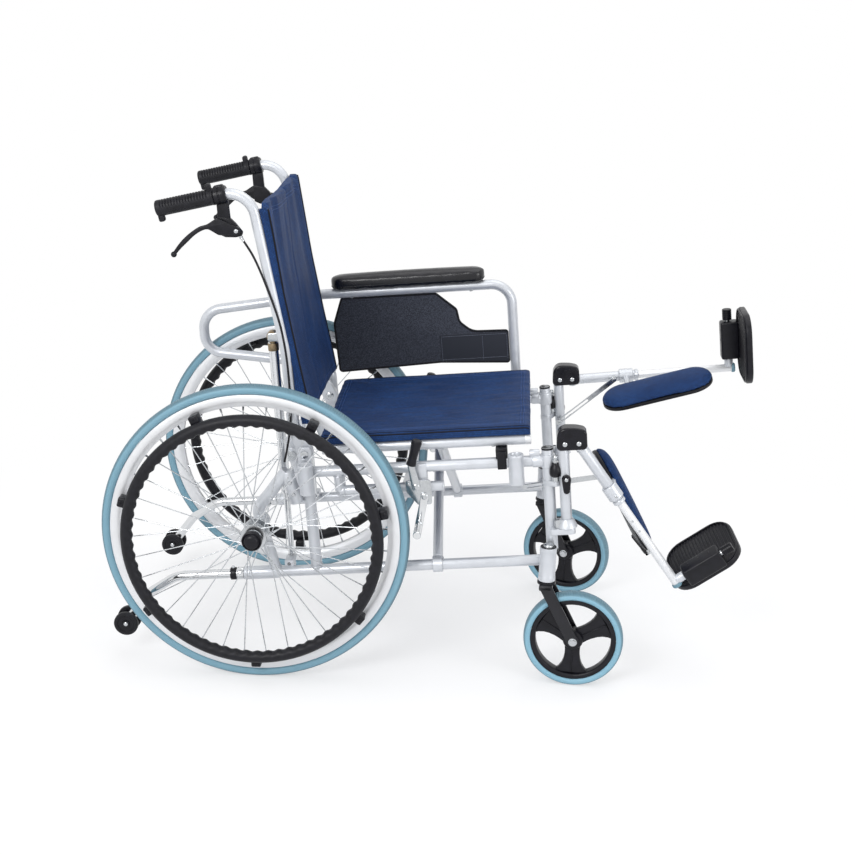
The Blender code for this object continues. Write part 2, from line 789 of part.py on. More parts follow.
def side_frame(side, name, tilted):
    sleeves, bores = armrest_sockets(side)
    barrel, barrel_bore = caster_barrel(side)
    collar = rod((LOWER_BACK_S, side * FRAME_OUT, LOWER_T),
                 (LOWER_BACK_S + TIPPER_INSERT + 0.012, side * FRAME_OUT, LOWER_T), RAIL_RADIUS + 0.0025, 12)
    pieces = [*rail_tubes(side), *axle_carrier(side), *recline_lug(side), *strut_foot_lug(side),
              *lock_bracket(side), *sleeves, *hanger_pegs(side), *barrel, *seat_saddle(side), collar]
    body = fuse(pieces, [*bores, barrel_bore, tipper_bore(side)])
    return place(body, f"side_frame_{name}", SILVER_PAINT, tilted)


def brace_angle():
    return math.atan2(SEAT_RAIL_T - LOWER_T, FRAME_OUT + CANE_OUT)


def brace_centre_t():
    return LOWER_T + FRAME_OUT * math.tan(brace_angle())


def cross_arm(side, name, tilted):
    """One arm of the X from its sleeve on this side's lower rail up to the other side's seat rail."""
    s = BRACE_S + side * BRACE_PITCH / 2
    foot = Vector((s, side * FRAME_OUT, LOWER_T))
    head = Vector((s, -side * CANE_OUT, SEAT_RAIL_T))
    sleeve = BRACE_RADIUS - RUNNING / 2
    ends = [(s - sleeve, foot.y, LOWER_T), (s + sleeve, foot.y, LOWER_T)]
    rail = rod((SEAT_BACK_S, head.y, SEAT_RAIL_T), (SEAT_FRONT_S, head.y, SEAT_RAIL_T), SEAT_RAIL_RADIUS)
    start = foot + (head - foot).normalized() * (BRACE_SLEEVE_RADIUS - 0.002)
    pin = bore((s - 0.02, 0, brace_centre_t()), (s + 0.02, 0, brace_centre_t()), BRACE_PIN_RADIUS + RUNNING)
    hole = bore((s - 0.02, foot.y, LOWER_T), (s + 0.02, foot.y, LOWER_T), RAIL_RADIUS + RUNNING)
    body = fuse([rod(start, head, BRACE_RADIUS), rod(*ends, BRACE_SLEEVE_RADIUS, 12), rail], [pin, hole])
    at = foot if side == RIGHT else (s, 0, brace_centre_t())
    return place(body, name, SILVER_PAINT, tilted, at)


def cross_pin(tilted):
    t = brace_centre_t()
    half = BRACE_PITCH / 2 + BRACE_RADIUS
    head = 0.003
    shank = rod((BRACE_S - half - head, 0, t), (BRACE_S + half + head, 0, t), BRACE_PIN_RADIUS)
    heads = [rod((BRACE_S + k * (half + GAP), 0, t), (BRACE_S + k * (half + GAP + head), 0, t), 0.009)
             for k in (-1, 1)]
    return place(fuse([shank, *heads]), "cross_pin", BRIGHT_ALLOY, tilted, (BRACE_S, 0, t))


def seat_sling(tilted):
    base = SEAT_RAIL_T + SEAT_RAIL_RADIUS + GAP
    body = block((SEAT_BACK_S, -SEAT_EDGE_OUT, base), (SEAT_FRONT_S, SEAT_EDGE_OUT, SEAT_TOP_T))
    return place(body, "seat_sling", NAVY_CLOTH, tilted)


def cane_centre_s(t):
    """The cane's centre line at a height."""
    (low_s, _), (waist_s, waist_t), (top_s, top_t) = CANE_FOOT, CANE_WAIST, CANE_SHOULDER
    if t <= waist_t:
        return low_s
    return waist_s + (top_s - waist_s) * (t - waist_t) / (top_t - waist_t)


def back_sling(tilted):
    """A plain slab from the canes' front to the sling's front face."""
    front = [(s, t) for s, t in BACK_FRONT]
    back = [(max(cane_centre_s(t) + CANE_RADIUS + GAP, s - 0.020), t) for s, t in reversed(BACK_FRONT[:-1])]
    top = [(BACK_FRONT[-1][0] - BACK_STANDOFF, BACK_TOP_T)]
    outline = front + top + back
    body = plate(outline, LEFT, -BACK_HALF_WIDTH, BACK_HALF_WIDTH)
    return place(body, "back_sling", NAVY_CLOTH, tilted)


def handle_point(side, along):
    """A point on the handle's centre line, measured forwards from its rear end."""
    start = Vector((HANDLE_END[0], side * CANE_OUT, HANDLE_END[1]))
    end = Vector((CANE_SHOULDER[0], side * CANE_OUT, CANE_SHOULDER[1]))
    return start + (end - start).normalized() * along


def back_cane(side, name, tilted):
    """The bent cane with its handle, cast knuckle and the pin of the strut's head."""
    corners = [at_out(side, HANDLE_END, CANE_OUT), at_out(side, CANE_SHOULDER, CANE_OUT),
               at_out(side, CANE_WAIST, CANE_OUT), at_out(side, CANE_FOOT, CANE_OUT)]
    path = rounded_path(corners, (CANE_BEND_RADIUS, CANE_WAIST_RADIUS), 5)
    high = LUG_OUT - LUG_THICKNESS / 2 - RUNNING
    low = high - KNUCKLE_THICKNESS
    foot_s, foot_t = CANE_FOOT
    joint = (RECLINE_S, RECLINE_T)
    knuckle = link_outline(joint, KNUCKLE_RADIUS, (foot_s, foot_t + 0.004), CANE_RADIUS + 0.001)
    head_s, head_t = STRUT_HEAD
    eye_face = STRUT_OUT + STRUT_EYE_WIDTH / 2 + RUNNING
    lug = block(at_out(side, (head_s - 0.007, head_t - 0.008), eye_face),
                at_out(side, (cane_centre_s(head_t), head_t + 0.008), CANE_OUT - CANE_RADIUS / 2))
    pieces = [
        tube(path, CANE_RADIUS),
        plate(knuckle, side, low, high),
        lug,
        across(side, STRUT_HEAD, eye_face - STRUT_EYE_WIDTH - 0.0015, eye_face + 0.002, STRUT_PIN_RADIUS),
    ]
    hole = bore_across(side, joint, low - 0.01, high + 0.01, RECLINE_PIN_RADIUS + RUNNING)
    pin = at_out(side, joint, CANE_OUT)
    return place(fuse(pieces, [hole]), f"back_cane_{name}", SILVER_PAINT, tilted, pin)


def hand_grip(side, name, tilted):
    """The moulded grip with its front flange and its closed rear end."""
    rear = handle_point(side, -GRIP_END_WALL - GAP)
    front = handle_point(side, GRIP_LENGTH - GRIP_END_WALL)
    flange = handle_point(side, GRIP_LENGTH - GRIP_END_WALL - 0.006)
    hook = rear + Vector((0.003, 0, 0))
    cut = bore(handle_point(side, -GAP), handle_point(side, GRIP_LENGTH + 0.01), CANE_RADIUS + GAP)
    body = fuse([rod(rear, front, GRIP_RADIUS, 12), rod(flange, front, GRIP_FLANGE_RADIUS, 12),
                 rod(hook, hook - Vector((0.004, 0, 0.019)), 0.005)], [cut])
    return place(body, f"hand_grip_{name}", BLACK_RUBBER, tilted)


def lever_housing(side, name, tilted):
    """The clamp round the handle, its body down to the cable nose, and the lever's pin."""
    back = handle_point(side, GRIP_LENGTH - GRIP_END_WALL + GAP)
    front = handle_point(side, GRIP_LENGTH - GRIP_END_WALL + GAP + HOUSING_LENGTH)
    nose_s, nose_t = HOUSING_NOSE
    outline = [(back.x + 0.0035, back.z - 0.008), (front.x + 0.003, front.z - 0.006),
               (nose_s + 0.004, nose_t + 0.014), (nose_s + 0.003, nose_t - 0.005),
               (nose_s - 0.012, nose_t - 0.002), (back.x + 0.006, back.z - 0.045)]
    pin = across(side, LEVER_PIVOT, CANE_OUT, CANE_OUT + LEVER_OFFSET + LEVER_RADIUS, LEVER_PIN_RADIUS)
    cheek = plate(outline, side, CANE_OUT - HOUSING_HALF_WIDTH, CANE_OUT + HOUSING_HALF_WIDTH)
    along = (front - back).normalized() * 0.01
    cut = bore(back - along, front + along * 2, CANE_RADIUS + GAP)
    body = fuse([rod(back, front, HOUSING_RADIUS, 12), cheek, pin], [cut])
    return place(body, f"lever_housing_{name}", BLACK_PLASTIC, tilted)


def recline_lever(side, name, tilted):
    """The curved blade below the grip, on its pin."""
    out = CANE_OUT + LEVER_OFFSET
    path = smooth_path([at_out(side, point, out) for point in LEVER_BLADE], 10)
    eye = across(side, LEVER_PIVOT, out - LEVER_RADIUS, out + LEVER_RADIUS, LEVER_EYE_RADIUS, 10)
    hole = bore_across(side, LEVER_PIVOT, out - 0.01, out + 0.01, LEVER_PIN_RADIUS + GAP)
    body = fuse([tube(path, LEVER_RADIUS), eye], [hole])
    return place(body, f"recline_lever_{name}", BLACK_PLASTIC, tilted, at_out(side, LEVER_PIVOT, out))


def release_cable(side, name, tilted):
    """The cable from the housing's nose along the cane to the axle carrier."""
    route = [(s, side * out, t) for s, out, t in CABLE_ROUTE]
    body = tube(smooth_path(route, CABLE_POINTS), CABLE_RADIUS)
    return place(body, f"release_cable_{name}", BLACK_PLASTIC, tilted)


def strut_cylinder(side, name, tilted):
    """The wide upper half of the locking strut, hung from the cane."""
    head = Vector(at_out(side, STRUT_HEAD, STRUT_OUT))
    down = (Vector(at_out(side, strut_foot(), STRUT_OUT)) - head).normalized()
    half = STRUT_EYE_WIDTH / 2
    eye = across(side, STRUT_HEAD, STRUT_OUT - half, STRUT_OUT + half, STRUT_EYE_RADIUS, 10)
    neck = rod(head + down * 0.004, head + down * 0.014, half * 0.95)
    clevis = rod(head + down * 0.012, head + down * 0.030, STRUT_EYE_RADIUS)
    end = head + down * STRUT_LENGTH
    cut = bore(end + down * 0.01, end - down * STRUT_BORE_DEPTH, ROD_RADIUS + RUNNING, 8)
    hole = bore_across(side, STRUT_HEAD, STRUT_OUT - 0.02, STRUT_OUT + 0.02, STRUT_PIN_RADIUS + GAP)
    body = fuse([rod(head + down * 0.013, end, STRUT_RADIUS), eye, neck, clevis], [cut, hole])
    return place(body, f"strut_cylinder_{name}", CHROME, tilted, head)


def strut_rod(side, name, tilted):
    """The thin lower half of the strut, held at the lower rail."""
    foot = Vector(at_out(side, strut_foot(), STRUT_OUT))
    up = (Vector(at_out(side, STRUT_HEAD, STRUT_OUT)) - foot).normalized()
    half = STRUT_EYE_WIDTH / 2
    eye = across(side, strut_foot(), STRUT_OUT - half, STRUT_OUT + half, ROD_EYE_RADIUS, 10)
    hole = bore_across(side, strut_foot(), STRUT_OUT - 0.02, STRUT_OUT + 0.02, STRUT_PIN_RADIUS + GAP)
    body = fuse([rod(foot + up * 0.006, foot + up * ROD_LENGTH, ROD_RADIUS), eye], [hole])
    return place(body, f"strut_rod_{name}", CHROME, tilted, foot)


def tyre_inner_radius():
    return WHEEL_RADIUS - TYRE_HEIGHT


def rim_inner_radius():
    return tyre_inner_radius() - RIM_HEIGHT


def shifted(profile, out):
    return [(radius, out + along) for radius, along in profile]


def wheel_profile(rows, half_widths):
    """A loop that runs out along one side and back along the other."""
    one = list(zip(rows, [-half for half in half_widths]))
    other = list(zip(rows, half_widths))
    return one + other[::-1]


def rear_tyre(side, name, axle):
    rows = (tyre_inner_radius(), (tyre_inner_radius() + WHEEL_RADIUS) / 2 + 0.001, WHEEL_RADIUS)
    profile = wheel_profile(rows, (TYRE_HALF_WIDTH * 0.75, TYRE_HALF_WIDTH, TREAD_HALF_WIDTH))
    body = turned(shifted(profile, side * WHEEL_OUT), WHEEL_STEPS)
    return place(body, f"rear_tyre_{name}", BLUE_GREY_TYRE, axle)


def spoke(side, index):
    """A three-sided spoke; the two flanges and the two slants alternate."""
    flange = HUB_FLANGES_OUT[index % 2] + (0.001 if index % 4 < 2 else -0.001)
    slant = SPOKE_SWEEP if index % 4 < 2 else -SPOKE_SWEEP
    at_rim = 2 * math.pi * (index + 0.5) / SPOKES
    at_hub = at_rim + slant
    hub = HUB_FLANGE_RADIUS - 0.003
    rim = rim_inner_radius() + 0.003
    start = (hub * math.cos(at_hub), side * flange, hub * math.sin(at_hub))
    end = (rim * math.cos(at_rim), side * WHEEL_OUT, rim * math.sin(at_rim))
    return rod(start, end, SPOKE_RADIUS, 3)


def rear_wheel(side, name, axle):
    """Rim, spokes and hub of one piece, with the hub's cap closing its bore."""
    rows = (rim_inner_radius(), rim_inner_radius() + 0.009, tyre_inner_radius() - 0.0006)
    profile = wheel_profile(rows, (RIM_HALF_WIDTH * 0.45, RIM_HALF_WIDTH, RIM_HALF_WIDTH))
    rim = turned(shifted(profile, side * WHEEL_OUT), WHEEL_STEPS)
    centre = (0, 0)
    hub = [across(side, centre, HUB_INNER_OUT, HUB_CAP_OUT + 0.001, HUB_RADIUS, 12)]
    for out in HUB_FLANGES_OUT:
        hub.append(across(side, centre, out - 0.0025, out + 0.0025, HUB_FLANGE_RADIUS, 18))
    hub.append(across(side, centre, HUB_CAP_OUT, HUB_END_OUT - 0.006, HUB_CAP_RADIUS, 16))
    hub.append(rod(at_out(side, centre, HUB_CAP_OUT + 0.004), at_out(side, centre, HUB_END_OUT),
                   HUB_CAP_RADIUS - 0.001, 12, HUB_CAP_RADIUS * 0.6))
    hole = bore_across(side, centre, HUB_INNER_OUT - 0.01, AXLE_END_OUT + 0.0015, AXLE_RADIUS + RUNNING)
    body = fuse([rim, *hub, *[spoke(side, i) for i in range(SPOKES)]], [hole])
    return place(body, f"rear_wheel_{name}", SILVER_PAINT, axle)


def push_rim(side, name, axle):
    """The hand ring with the seven tabs that stand it off the rim."""
    half = math.pi / PUSH_RIM_SIDES
    radius = rim_inner_radius() - PUSH_RIM_DROP
    loop = []
    for i in range(PUSH_RIM_SIDES):
        turn = 2 * math.pi * i / PUSH_RIM_SIDES + half
        loop.append((radius + PUSH_RIM_TUBE * math.cos(turn),
                     side * PUSH_RIM_OUT + PUSH_RIM_TUBE * math.sin(turn)))
    ring = turned(loop, WHEEL_STEPS)
    foot = WHEEL_OUT + RIM_HALF_WIDTH + GAP
    pieces = [ring]
    tab_radius = rim_inner_radius() + TAB_RISE
    for angle in TAB_ANGLES:
        turn = Quaternion((0, 1, 0), -math.radians(angle))
        tab = block((tab_radius - TAB_LENGTH, side * foot, -TAB_WIDTH / 2),
                    (tab_radius + TAB_LENGTH / 3, side * (PUSH_RIM_OUT - 0.004), TAB_WIDTH / 2))
        tab.data.transform(turn.to_matrix().to_4x4())
        pieces.append(tab)
    return place(fuse(pieces), f"push_rim_{name}", BLACK_RUBBER, axle)


def caster_fork(name, swivel):
    """Stem, crown, two blades and the wheel's bolt."""
    centre = (CASTER_TRAIL, CASTER_RADIUS)
    inner = CASTER_HUB_HALF_WIDTH + RUNNING
    outer = inner + FORK_THICKNESS
    crown_top = FORK_CROWN_Z + FORK_CROWN_THICKNESS
    half = FORK_WIDTH / 2
    lean = Vector((centre[0], centre[1] - FORK_CROWN_Z)).normalized()
    square = Vector((-lean.y, lean.x)) * half
    foot = Vector(centre)
    blade = [
        Vector((0, crown_top)) + square,
        Vector((0, crown_top)) - square,
        foot - square * 0.9,
        foot + lean * half * 0.7,
        foot + square * 0.9,
    ]
    blade = [(x, min(z, crown_top)) for x, z in blade]
    pieces = [
        block((-half, -outer, FORK_CROWN_Z), (half, outer, crown_top)),
        plate(blade, LEFT, inner, outer),
        plate(blade, RIGHT, inner, outer),
        rod((0, 0, FORK_CROWN_Z), (0, 0, BARREL_TOP_Z + 0.010), STEM_RADIUS, 12),
        rod((0, 0, crown_top - 0.001), (0, 0, BARREL_BASE_Z - GAP), BARREL_RADIUS + 0.002, 12),
        rod((0, 0, BARREL_TOP_Z + GAP), (0, 0, BARREL_TOP_Z + 0.007), BARREL_RADIUS * 0.6, 12),
        across(LEFT, centre, -outer - 0.004, outer + 0.004, CASTER_AXLE_RADIUS, 10),
        across(LEFT, centre, outer - 0.001, outer + 0.005, 0.008, 10),
        across(LEFT, centre, -outer - 0.005, -outer + 0.001, 0.008, 10),
    ]
    return place(fuse(pieces), f"caster_fork_{name}", BLACK_PLASTIC, swivel)


def caster_tyre(name, swivel):
    rows = (CASTER_RIM_RADIUS + GAP, (CASTER_RIM_RADIUS + CASTER_RADIUS) / 2, CASTER_RADIUS)
    profile = wheel_profile(rows, (CASTER_HALF_WIDTH * 0.8, CASTER_HALF_WIDTH, CASTER_HALF_WIDTH * 0.5))
    body = turned(profile, CASTER_STEPS)
    body.data.transform(Matrix.Translation((CASTER_TRAIL, 0, CASTER_RADIUS)))
    return place(body, f"caster_tyre_{name}", BLUE_GREY_TYRE, swivel, (CASTER_TRAIL, 0, CASTER_RADIUS))


def caster_hub(name, swivel):
    """The moulded wheel: rim, three wide spokes and hub."""
    half = CASTER_HALF_WIDTH
    inner = CASTER_RIM_RADIUS - 0.010
    rim = turned([(inner, -half * 0.8), (CASTER_RIM_RADIUS, -half * 0.8),
                  (CASTER_RIM_RADIUS, half * 0.8), (inner, half * 0.8)], CASTER_STEPS)
    hub_half = CASTER_HUB_HALF_WIDTH - RUNNING
    pieces = [rim, across(LEFT, (0, 0), -hub_half, hub_half, 0.020, 14)]
    for angle in CASTER_SPOKE_ANGLES:
        turn = Quaternion((0, 1, 0), -math.radians(angle)).to_matrix().to_4x4()
        outline = [(0.012, -0.014), (inner + 0.003, -0.022), (inner + 0.003, 0.022), (0.012, 0.014)]
        arm = plate(outline, LEFT, -half * 0.5, half * 0.5)
        arm.data.transform(turn)
        pieces.append(arm)
    hole = bore_across(LEFT, (0, 0), -0.03, 0.03, CASTER_AXLE_RADIUS + RUNNING)
    body = fuse(pieces, [hole])
    body.data.transform(Matrix.Translation((CASTER_TRAIL, 0, CASTER_RADIUS)))
    return place(body, f"caster_hub_{name}", BLACK_PLASTIC, swivel, (CASTER_TRAIL, 0, CASTER_RADIUS))


def anti_tip_tube(side, name, tilted):
    """The bent tube behind the lower rail, its stop clamp and its end eye."""
    corners = [(LOWER_BACK_S + TIPPER_INSERT, LOWER_T), *TIPPER_PATH]
    corners = [(s, side * FRAME_OUT, t) for s, t in corners]
    corners[1] = (corners[1][0], corners[1][1], LOWER_T)
    path = rounded_path(corners, (TIPPER_BEND_RADIUS, TIPPER_BEND_RADIUS))
    clamp_s = LOWER_BACK_S - 0.028
    end = TIPPER_PATH[-1]
    low, high = FRAME_OUT - TIPPER_EYE_HALF_WIDTH, FRAME_OUT + TIPPER_EYE_HALF_WIDTH
    pieces = [
        tube(path, TIPPER_RADIUS),
        rod((clamp_s, side * FRAME_OUT, LOWER_T), (LOWER_BACK_S - GAP, side * FRAME_OUT, LOWER_T), 0.013),
        across(side, end, low, high, TIPPER_EYE_HALF_WIDTH, 10),
    ]
    hole = bore_across(side, end, low - 0.01, high + 0.01, ROLLER_AXLE_RADIUS + GAP)
    return place(fuse(pieces, [hole]), f"anti_tip_tube_{name}", CHROME, tilted)


def anti_tip_roller(side, name, tilted):
    """Two small wheels joined by their axle."""
    end = TIPPER_PATH[-1]
    near = FRAME_OUT - TIPPER_EYE_HALF_WIDTH - RUNNING
    far = FRAME_OUT + TIPPER_EYE_HALF_WIDTH + RUNNING
    pieces = [
        across(side, end, near - 0.002, far + 0.002, ROLLER_AXLE_RADIUS),
        across(side, end, near - ROLLER_WIDTH, near, ROLLER_RADIUS, 18),
        across(side, end, far, far + ROLLER_WIDTH, ROLLER_RADIUS, 18),
    ]
    return place(fuse(pieces), f"anti_tip_roller_{name}", BLACK_RUBBER, tilted, at_out(side, end, FRAME_OUT))


def lock_lever(side, name, tilted):
    """The flat lever and its grip."""
    start, end = LOCK_GRIP
    middle = sum(LOCK_ARM_OUT) / 2
    arm = link_outline(LOCK_LEVER_PIVOT, 0.009, start, 0.0065)
    pieces = [
        plate(arm, side, *LOCK_ARM_OUT),
        rod(at_out(side, start, middle), at_out(side, end, middle), LOCK_GRIP_RADIUS, 10),
    ]
    inner, outer = LOCK_ARM_OUT
    hole = bore_across(side, LOCK_LEVER_PIVOT, inner - 0.01, outer + 0.01, LOCK_PIN_RADIUS + GAP)
    return place(fuse(pieces, [hole]), f"lock_lever_{name}", BLACK_PLASTIC, tilted,
                 at_out(side, LOCK_LEVER_PIVOT, middle))


def lock_shoe(side, name, tilted):
    """The swinging arm with the peg that presses on the tyre."""
    inner, outer = LOCK_ARM_OUT
    reach = WHEEL_RADIUS + SHOE_CLEARANCE + SHOE_PEG_RADIUS
    peg = (math.sqrt(reach**2 - SHOE_PEG_T**2), SHOE_PEG_T)
    arm = link_outline(SHOE_PIVOT, 0.0075, peg, SHOE_PEG_RADIUS)
    pieces = [
        plate(arm, side, inner, outer),
        across(side, peg, inner, SHOE_PEG_OUT, SHOE_PEG_RADIUS, 10),
    ]
    hole = bore_across(side, SHOE_PIVOT, inner - 0.01, outer + 0.01, LOCK_PIN_RADIUS + GAP)
    return place(fuse(pieces, [hole]), f"lock_shoe_{name}", CHROME, tilted,
                 at_out(side, SHOE_PIVOT, sum(LOCK_ARM_OUT) / 2))


def armrest_tube(tilted):
    """The left armrest's one bent tube, its ends standing in their sockets."""
    corners = [
        (SOCKET_FRONT_S, ARM_POST_FOOT_T),
        (SOCKET_FRONT_S, ARM_TOP_T),
        (ARM_TOP_END_S, ARM_TOP_T),
        *ARM_LOOP,
        (REAR_POST_S, ARM_REAR_T),
        (REAR_POST_S, ARM_POST_FOOT_T),
    ]
    corners = [(s, SOCKET_OUT, t) for s, t in corners]
    radii = (ARM_BEND_RADIUS, ARM_TOP_RADIUS, ARM_BEND_RADIUS, ARM_BEND_RADIUS - 0.002, ARM_REAR_BEND)
    return place(tube(rounded_path(corners, radii, 5), ARM_RADIUS), "armrest_tube", SILVER_PAINT, tilted)


def arm_pad(tilted):
    low, high = PAD_S
    base = ARM_TOP_T + ARM_RADIUS + GAP
    near, far = SOCKET_OUT - PAD_HALF_WIDTH, SOCKET_OUT + PAD_HALF_WIDTH
    corners = [(low, near, base), (high, near, base), (high, far, base), (low, far, base)]
    body = prism(rounded_loop(corners, PAD_CORNER), (0, 0, PAD_THICKNESS))
    return place(body, "arm_pad", BLACK_RUBBER, tilted)


def side_panel(tilted):
    half = PANEL_THICKNESS / 2
    body = plate(PANEL_OUTLINE, LEFT, SOCKET_OUT - half, SOCKET_OUT + half)
    return place(body, "side_panel", PANEL_VINYL, tilted)


def stud_places():
    """The hanger stud in (s, t), and the leg stud's distance from the knee."""
    hanger = (HANGER_S, STUD_T)
    return hanger, math.dist(hanger, (KNEE_S, KNEE_T))


def stud(side, place, root_out, inner_out):
    """A boss with a headed pin for the elevation bar."""
    face = BAR_OUT[1] + GAP
    head = BAR_OUT[0] - GAP
    return [
        across(side, place, face, root_out, STUD_BOSS_RADIUS, 8),
        across(side, place, head - STUD_HEAD_THICKNESS / 2, face + 0.001, STUD_RADIUS, 8),
        across(side, place, inner_out, head, STUD_HEAD_RADIUS, 8),
    ]


def leg_hanger(side, name, swing):
    """The upright tube, the black pivot cap on it and the two eyes on the frame's pegs."""
    low_s, high_s, low_t, high_t = CAP_OUTLINE
    y = side * HANGER_OUT
    corners = [(low_s, y, low_t), (high_s, y, low_t), (high_s, y, high_t - CAP_SLOPE), (low_s, y, high_t)]
    outline = [(p.x, p.z) for p in rounded_loop(corners, 0.008, 2)]
    foot_low = LOWER_PEG_T[1] + GAP
    eye_tip = HANGER_RADIUS + 0.0015
    pin = (SWING_S, side * SWING_OUT)
    upper_seat = UPPER_PEG_T[1] + GAP
    hanger_stud, _ = stud_places()
    latch_pin = across(side, (LATCH_S, LATCH_T[0]), HANGER_OUT, LATCH_OUT + LATCH_RADIUS, 0.0022)
    pieces = [
        rod((HANGER_S, y, HANGER_FOOT_T), (HANGER_S, y, low_t + 0.010), HANGER_RADIUS),
        plate(outline, side, HANGER_OUT - CAP_HALF_WIDTH, HANGER_OUT + CAP_HALF_WIDTH),
        rod((HANGER_S, y, foot_low), (HANGER_S, y, LOWER_EYE_TOP_T), LOWER_EYE_RADIUS, 12, eye_tip),
        rod((*pin, foot_low), (*pin, LOWER_EYE_TOP_T - 0.001), SWING_EYE_RADIUS, 10),
        rod((*pin, upper_seat), (*pin, UPPER_EYE_TOP_T), SWING_EYE_RADIUS, 10),
        latch_pin,
        *stud(side, hanger_stud, HANGER_OUT, BAR_OUT[0] - GAP - STUD_HEAD_THICKNESS),
    ]
    slot = block((CAP_SLOT_S, side * (HANGER_OUT - CAP_SLOT_HALF_WIDTH), low_t - 0.01),
                 (high_s + 0.01, side * (HANGER_OUT + CAP_SLOT_HALF_WIDTH), CAP_SLOT_TOP_T))
    cuts = [
        slot,
        bore((*pin, foot_low - 0.01), (*pin, LOWER_PEG_T[2] + GAP), SWING_PEG_RADIUS + GAP),
        bore((*pin, upper_seat - 0.01), (*pin, UPPER_PEG_T[2] + GAP), SWING_PEG_RADIUS + GAP),
    ]
    shell = fuse(pieces, cuts)
    knee_pin = across(side, (KNEE_S, KNEE_T), HANGER_OUT - CAP_HALF_WIDTH + 0.001,
                      HANGER_OUT + CAP_HALF_WIDTH - 0.001, KNEE_PIN_RADIUS)
    return place(fuse([shell, knee_pin]), f"leg_hanger_{name}", SILVER_PAINT, swing, (*pin, 0))


def hanger_latch(side, name, swing):
    """The capsule lever that frees the hanger."""
    top, bottom = LATCH_T
    places = [(LATCH_S, side * LATCH_OUT, top + 0.006), (LATCH_S, side * LATCH_OUT, bottom)]
    hole = bore_across(side, (LATCH_S, top), LATCH_OUT - 0.02, LATCH_OUT + 0.02, 0.0022 + GAP)
    end = rod(places[1], (LATCH_S, side * LATCH_OUT, bottom - 0.004), LATCH_RADIUS, 8, LATCH_RADIUS * 0.6)
    body = fuse([rod(*places, LATCH_RADIUS), end], [hole])
    return place(body, f"hanger_latch_{name}", BLACK_PLASTIC, swing, (LATCH_S, side * LATCH_OUT, top))


def leg_tube(side, name, leg):
    """The outer tube with its knee eye and the stud of the elevation bar."""
    y = side * HANGER_OUT
    _, reach = stud_places()
    eye_half = CAP_SLOT_HALF_WIDTH - GAP
    pieces = [
        rod((0.004, y, 0), (LEG_END_U, y, 0), LEG_RADIUS),
        rod((0, y - eye_half, 0), (0, y + eye_half, 0), LEG_RADIUS + 0.0015, 12),
        *stud(side, (reach, 0), HANGER_OUT - LEG_RADIUS + 0.003, BAR_OUT[0] - GAP - STUD_HEAD_THICKNESS),
    ]
    cuts = [
        bore((LEG_BORE_U, y, 0), (LEG_END_U + 0.01, y, 0), SLIDER_RADIUS * math.cos(math.pi / 8) + GAP, 8),
        bore((0, y - 0.02, 0), (0, y + 0.02, 0), KNEE_PIN_RADIUS + GAP),
    ]
    return place(fuse(pieces, cuts), f"leg_tube_{name}", SILVER_PAINT, leg, (0, y, 0))


def bar_lengths():
    """Distances between the two studs with the leg at rest, fully down and fully raised, per side."""
    _, reach = stud_places()
    stud_angle = math.atan2(STUD_T - KNEE_T, HANGER_S - KNEE_S)
    spans = {}
    for side in (RIGHT, LEFT):
        rest = LEG_ANGLES[side]
        other = rest + LEG_TRAVEL if side == RIGHT else rest - LEG_TRAVEL
        spans[side] = [2 * reach * math.sin((angle - stud_angle) / 2) for angle in (rest, other)]
    return spans


def bar_strip(start, along, first, last, half, low):
    """The corners of a strip along the elevation bar, on the bar's inner face."""
    square = Vector((-along.z, 0, along.x)) * half
    corners = [start + along * first + square, start + along * last + square,
               start + along * last - square, start + along * first - square]
    return [Vector((corner.x, low, corner.z)) for corner in corners]


def elevation_bar(side, name, leg):
    """The slotted bar between the leg's stud and the hanger's stud."""
    _, reach = stud_places()
    rest, other = bar_lengths()[side]
    near, far = sorted((rest, other))
    stud_angle = math.atan2(STUD_T - KNEE_T, HANGER_S - KNEE_S) - LEG_ANGLES[side]
    hanger = Vector((reach * math.cos(stud_angle), 0, reach * math.sin(stud_angle)))
    start = Vector((reach, 0, 0))
    along = (hanger - start).normalized()
    low, high = (side * out for out in BAR_OUT)
    deep = Vector((0, high - low, 0))
    body = prism(bar_strip(start, along, -BAR_HALF_WIDTH, far + 0.012, BAR_HALF_WIDTH, low), deep)
    run = bar_strip(start, along, near - 0.006, far + 0.006, BAR_SLOT_HALF_WIDTH, low)
    slot = prism([corner - deep for corner in run], deep * 3)
    hole = bore((reach, low * 0.9, 0), (reach, high * 1.1, 0), STUD_RADIUS + GAP)
    at = (reach, (low + high) / 2, 0)
    return place(fuse([body], [slot, hole]), f"elevation_bar_{name}", BRIGHT_ALLOY, leg, at)


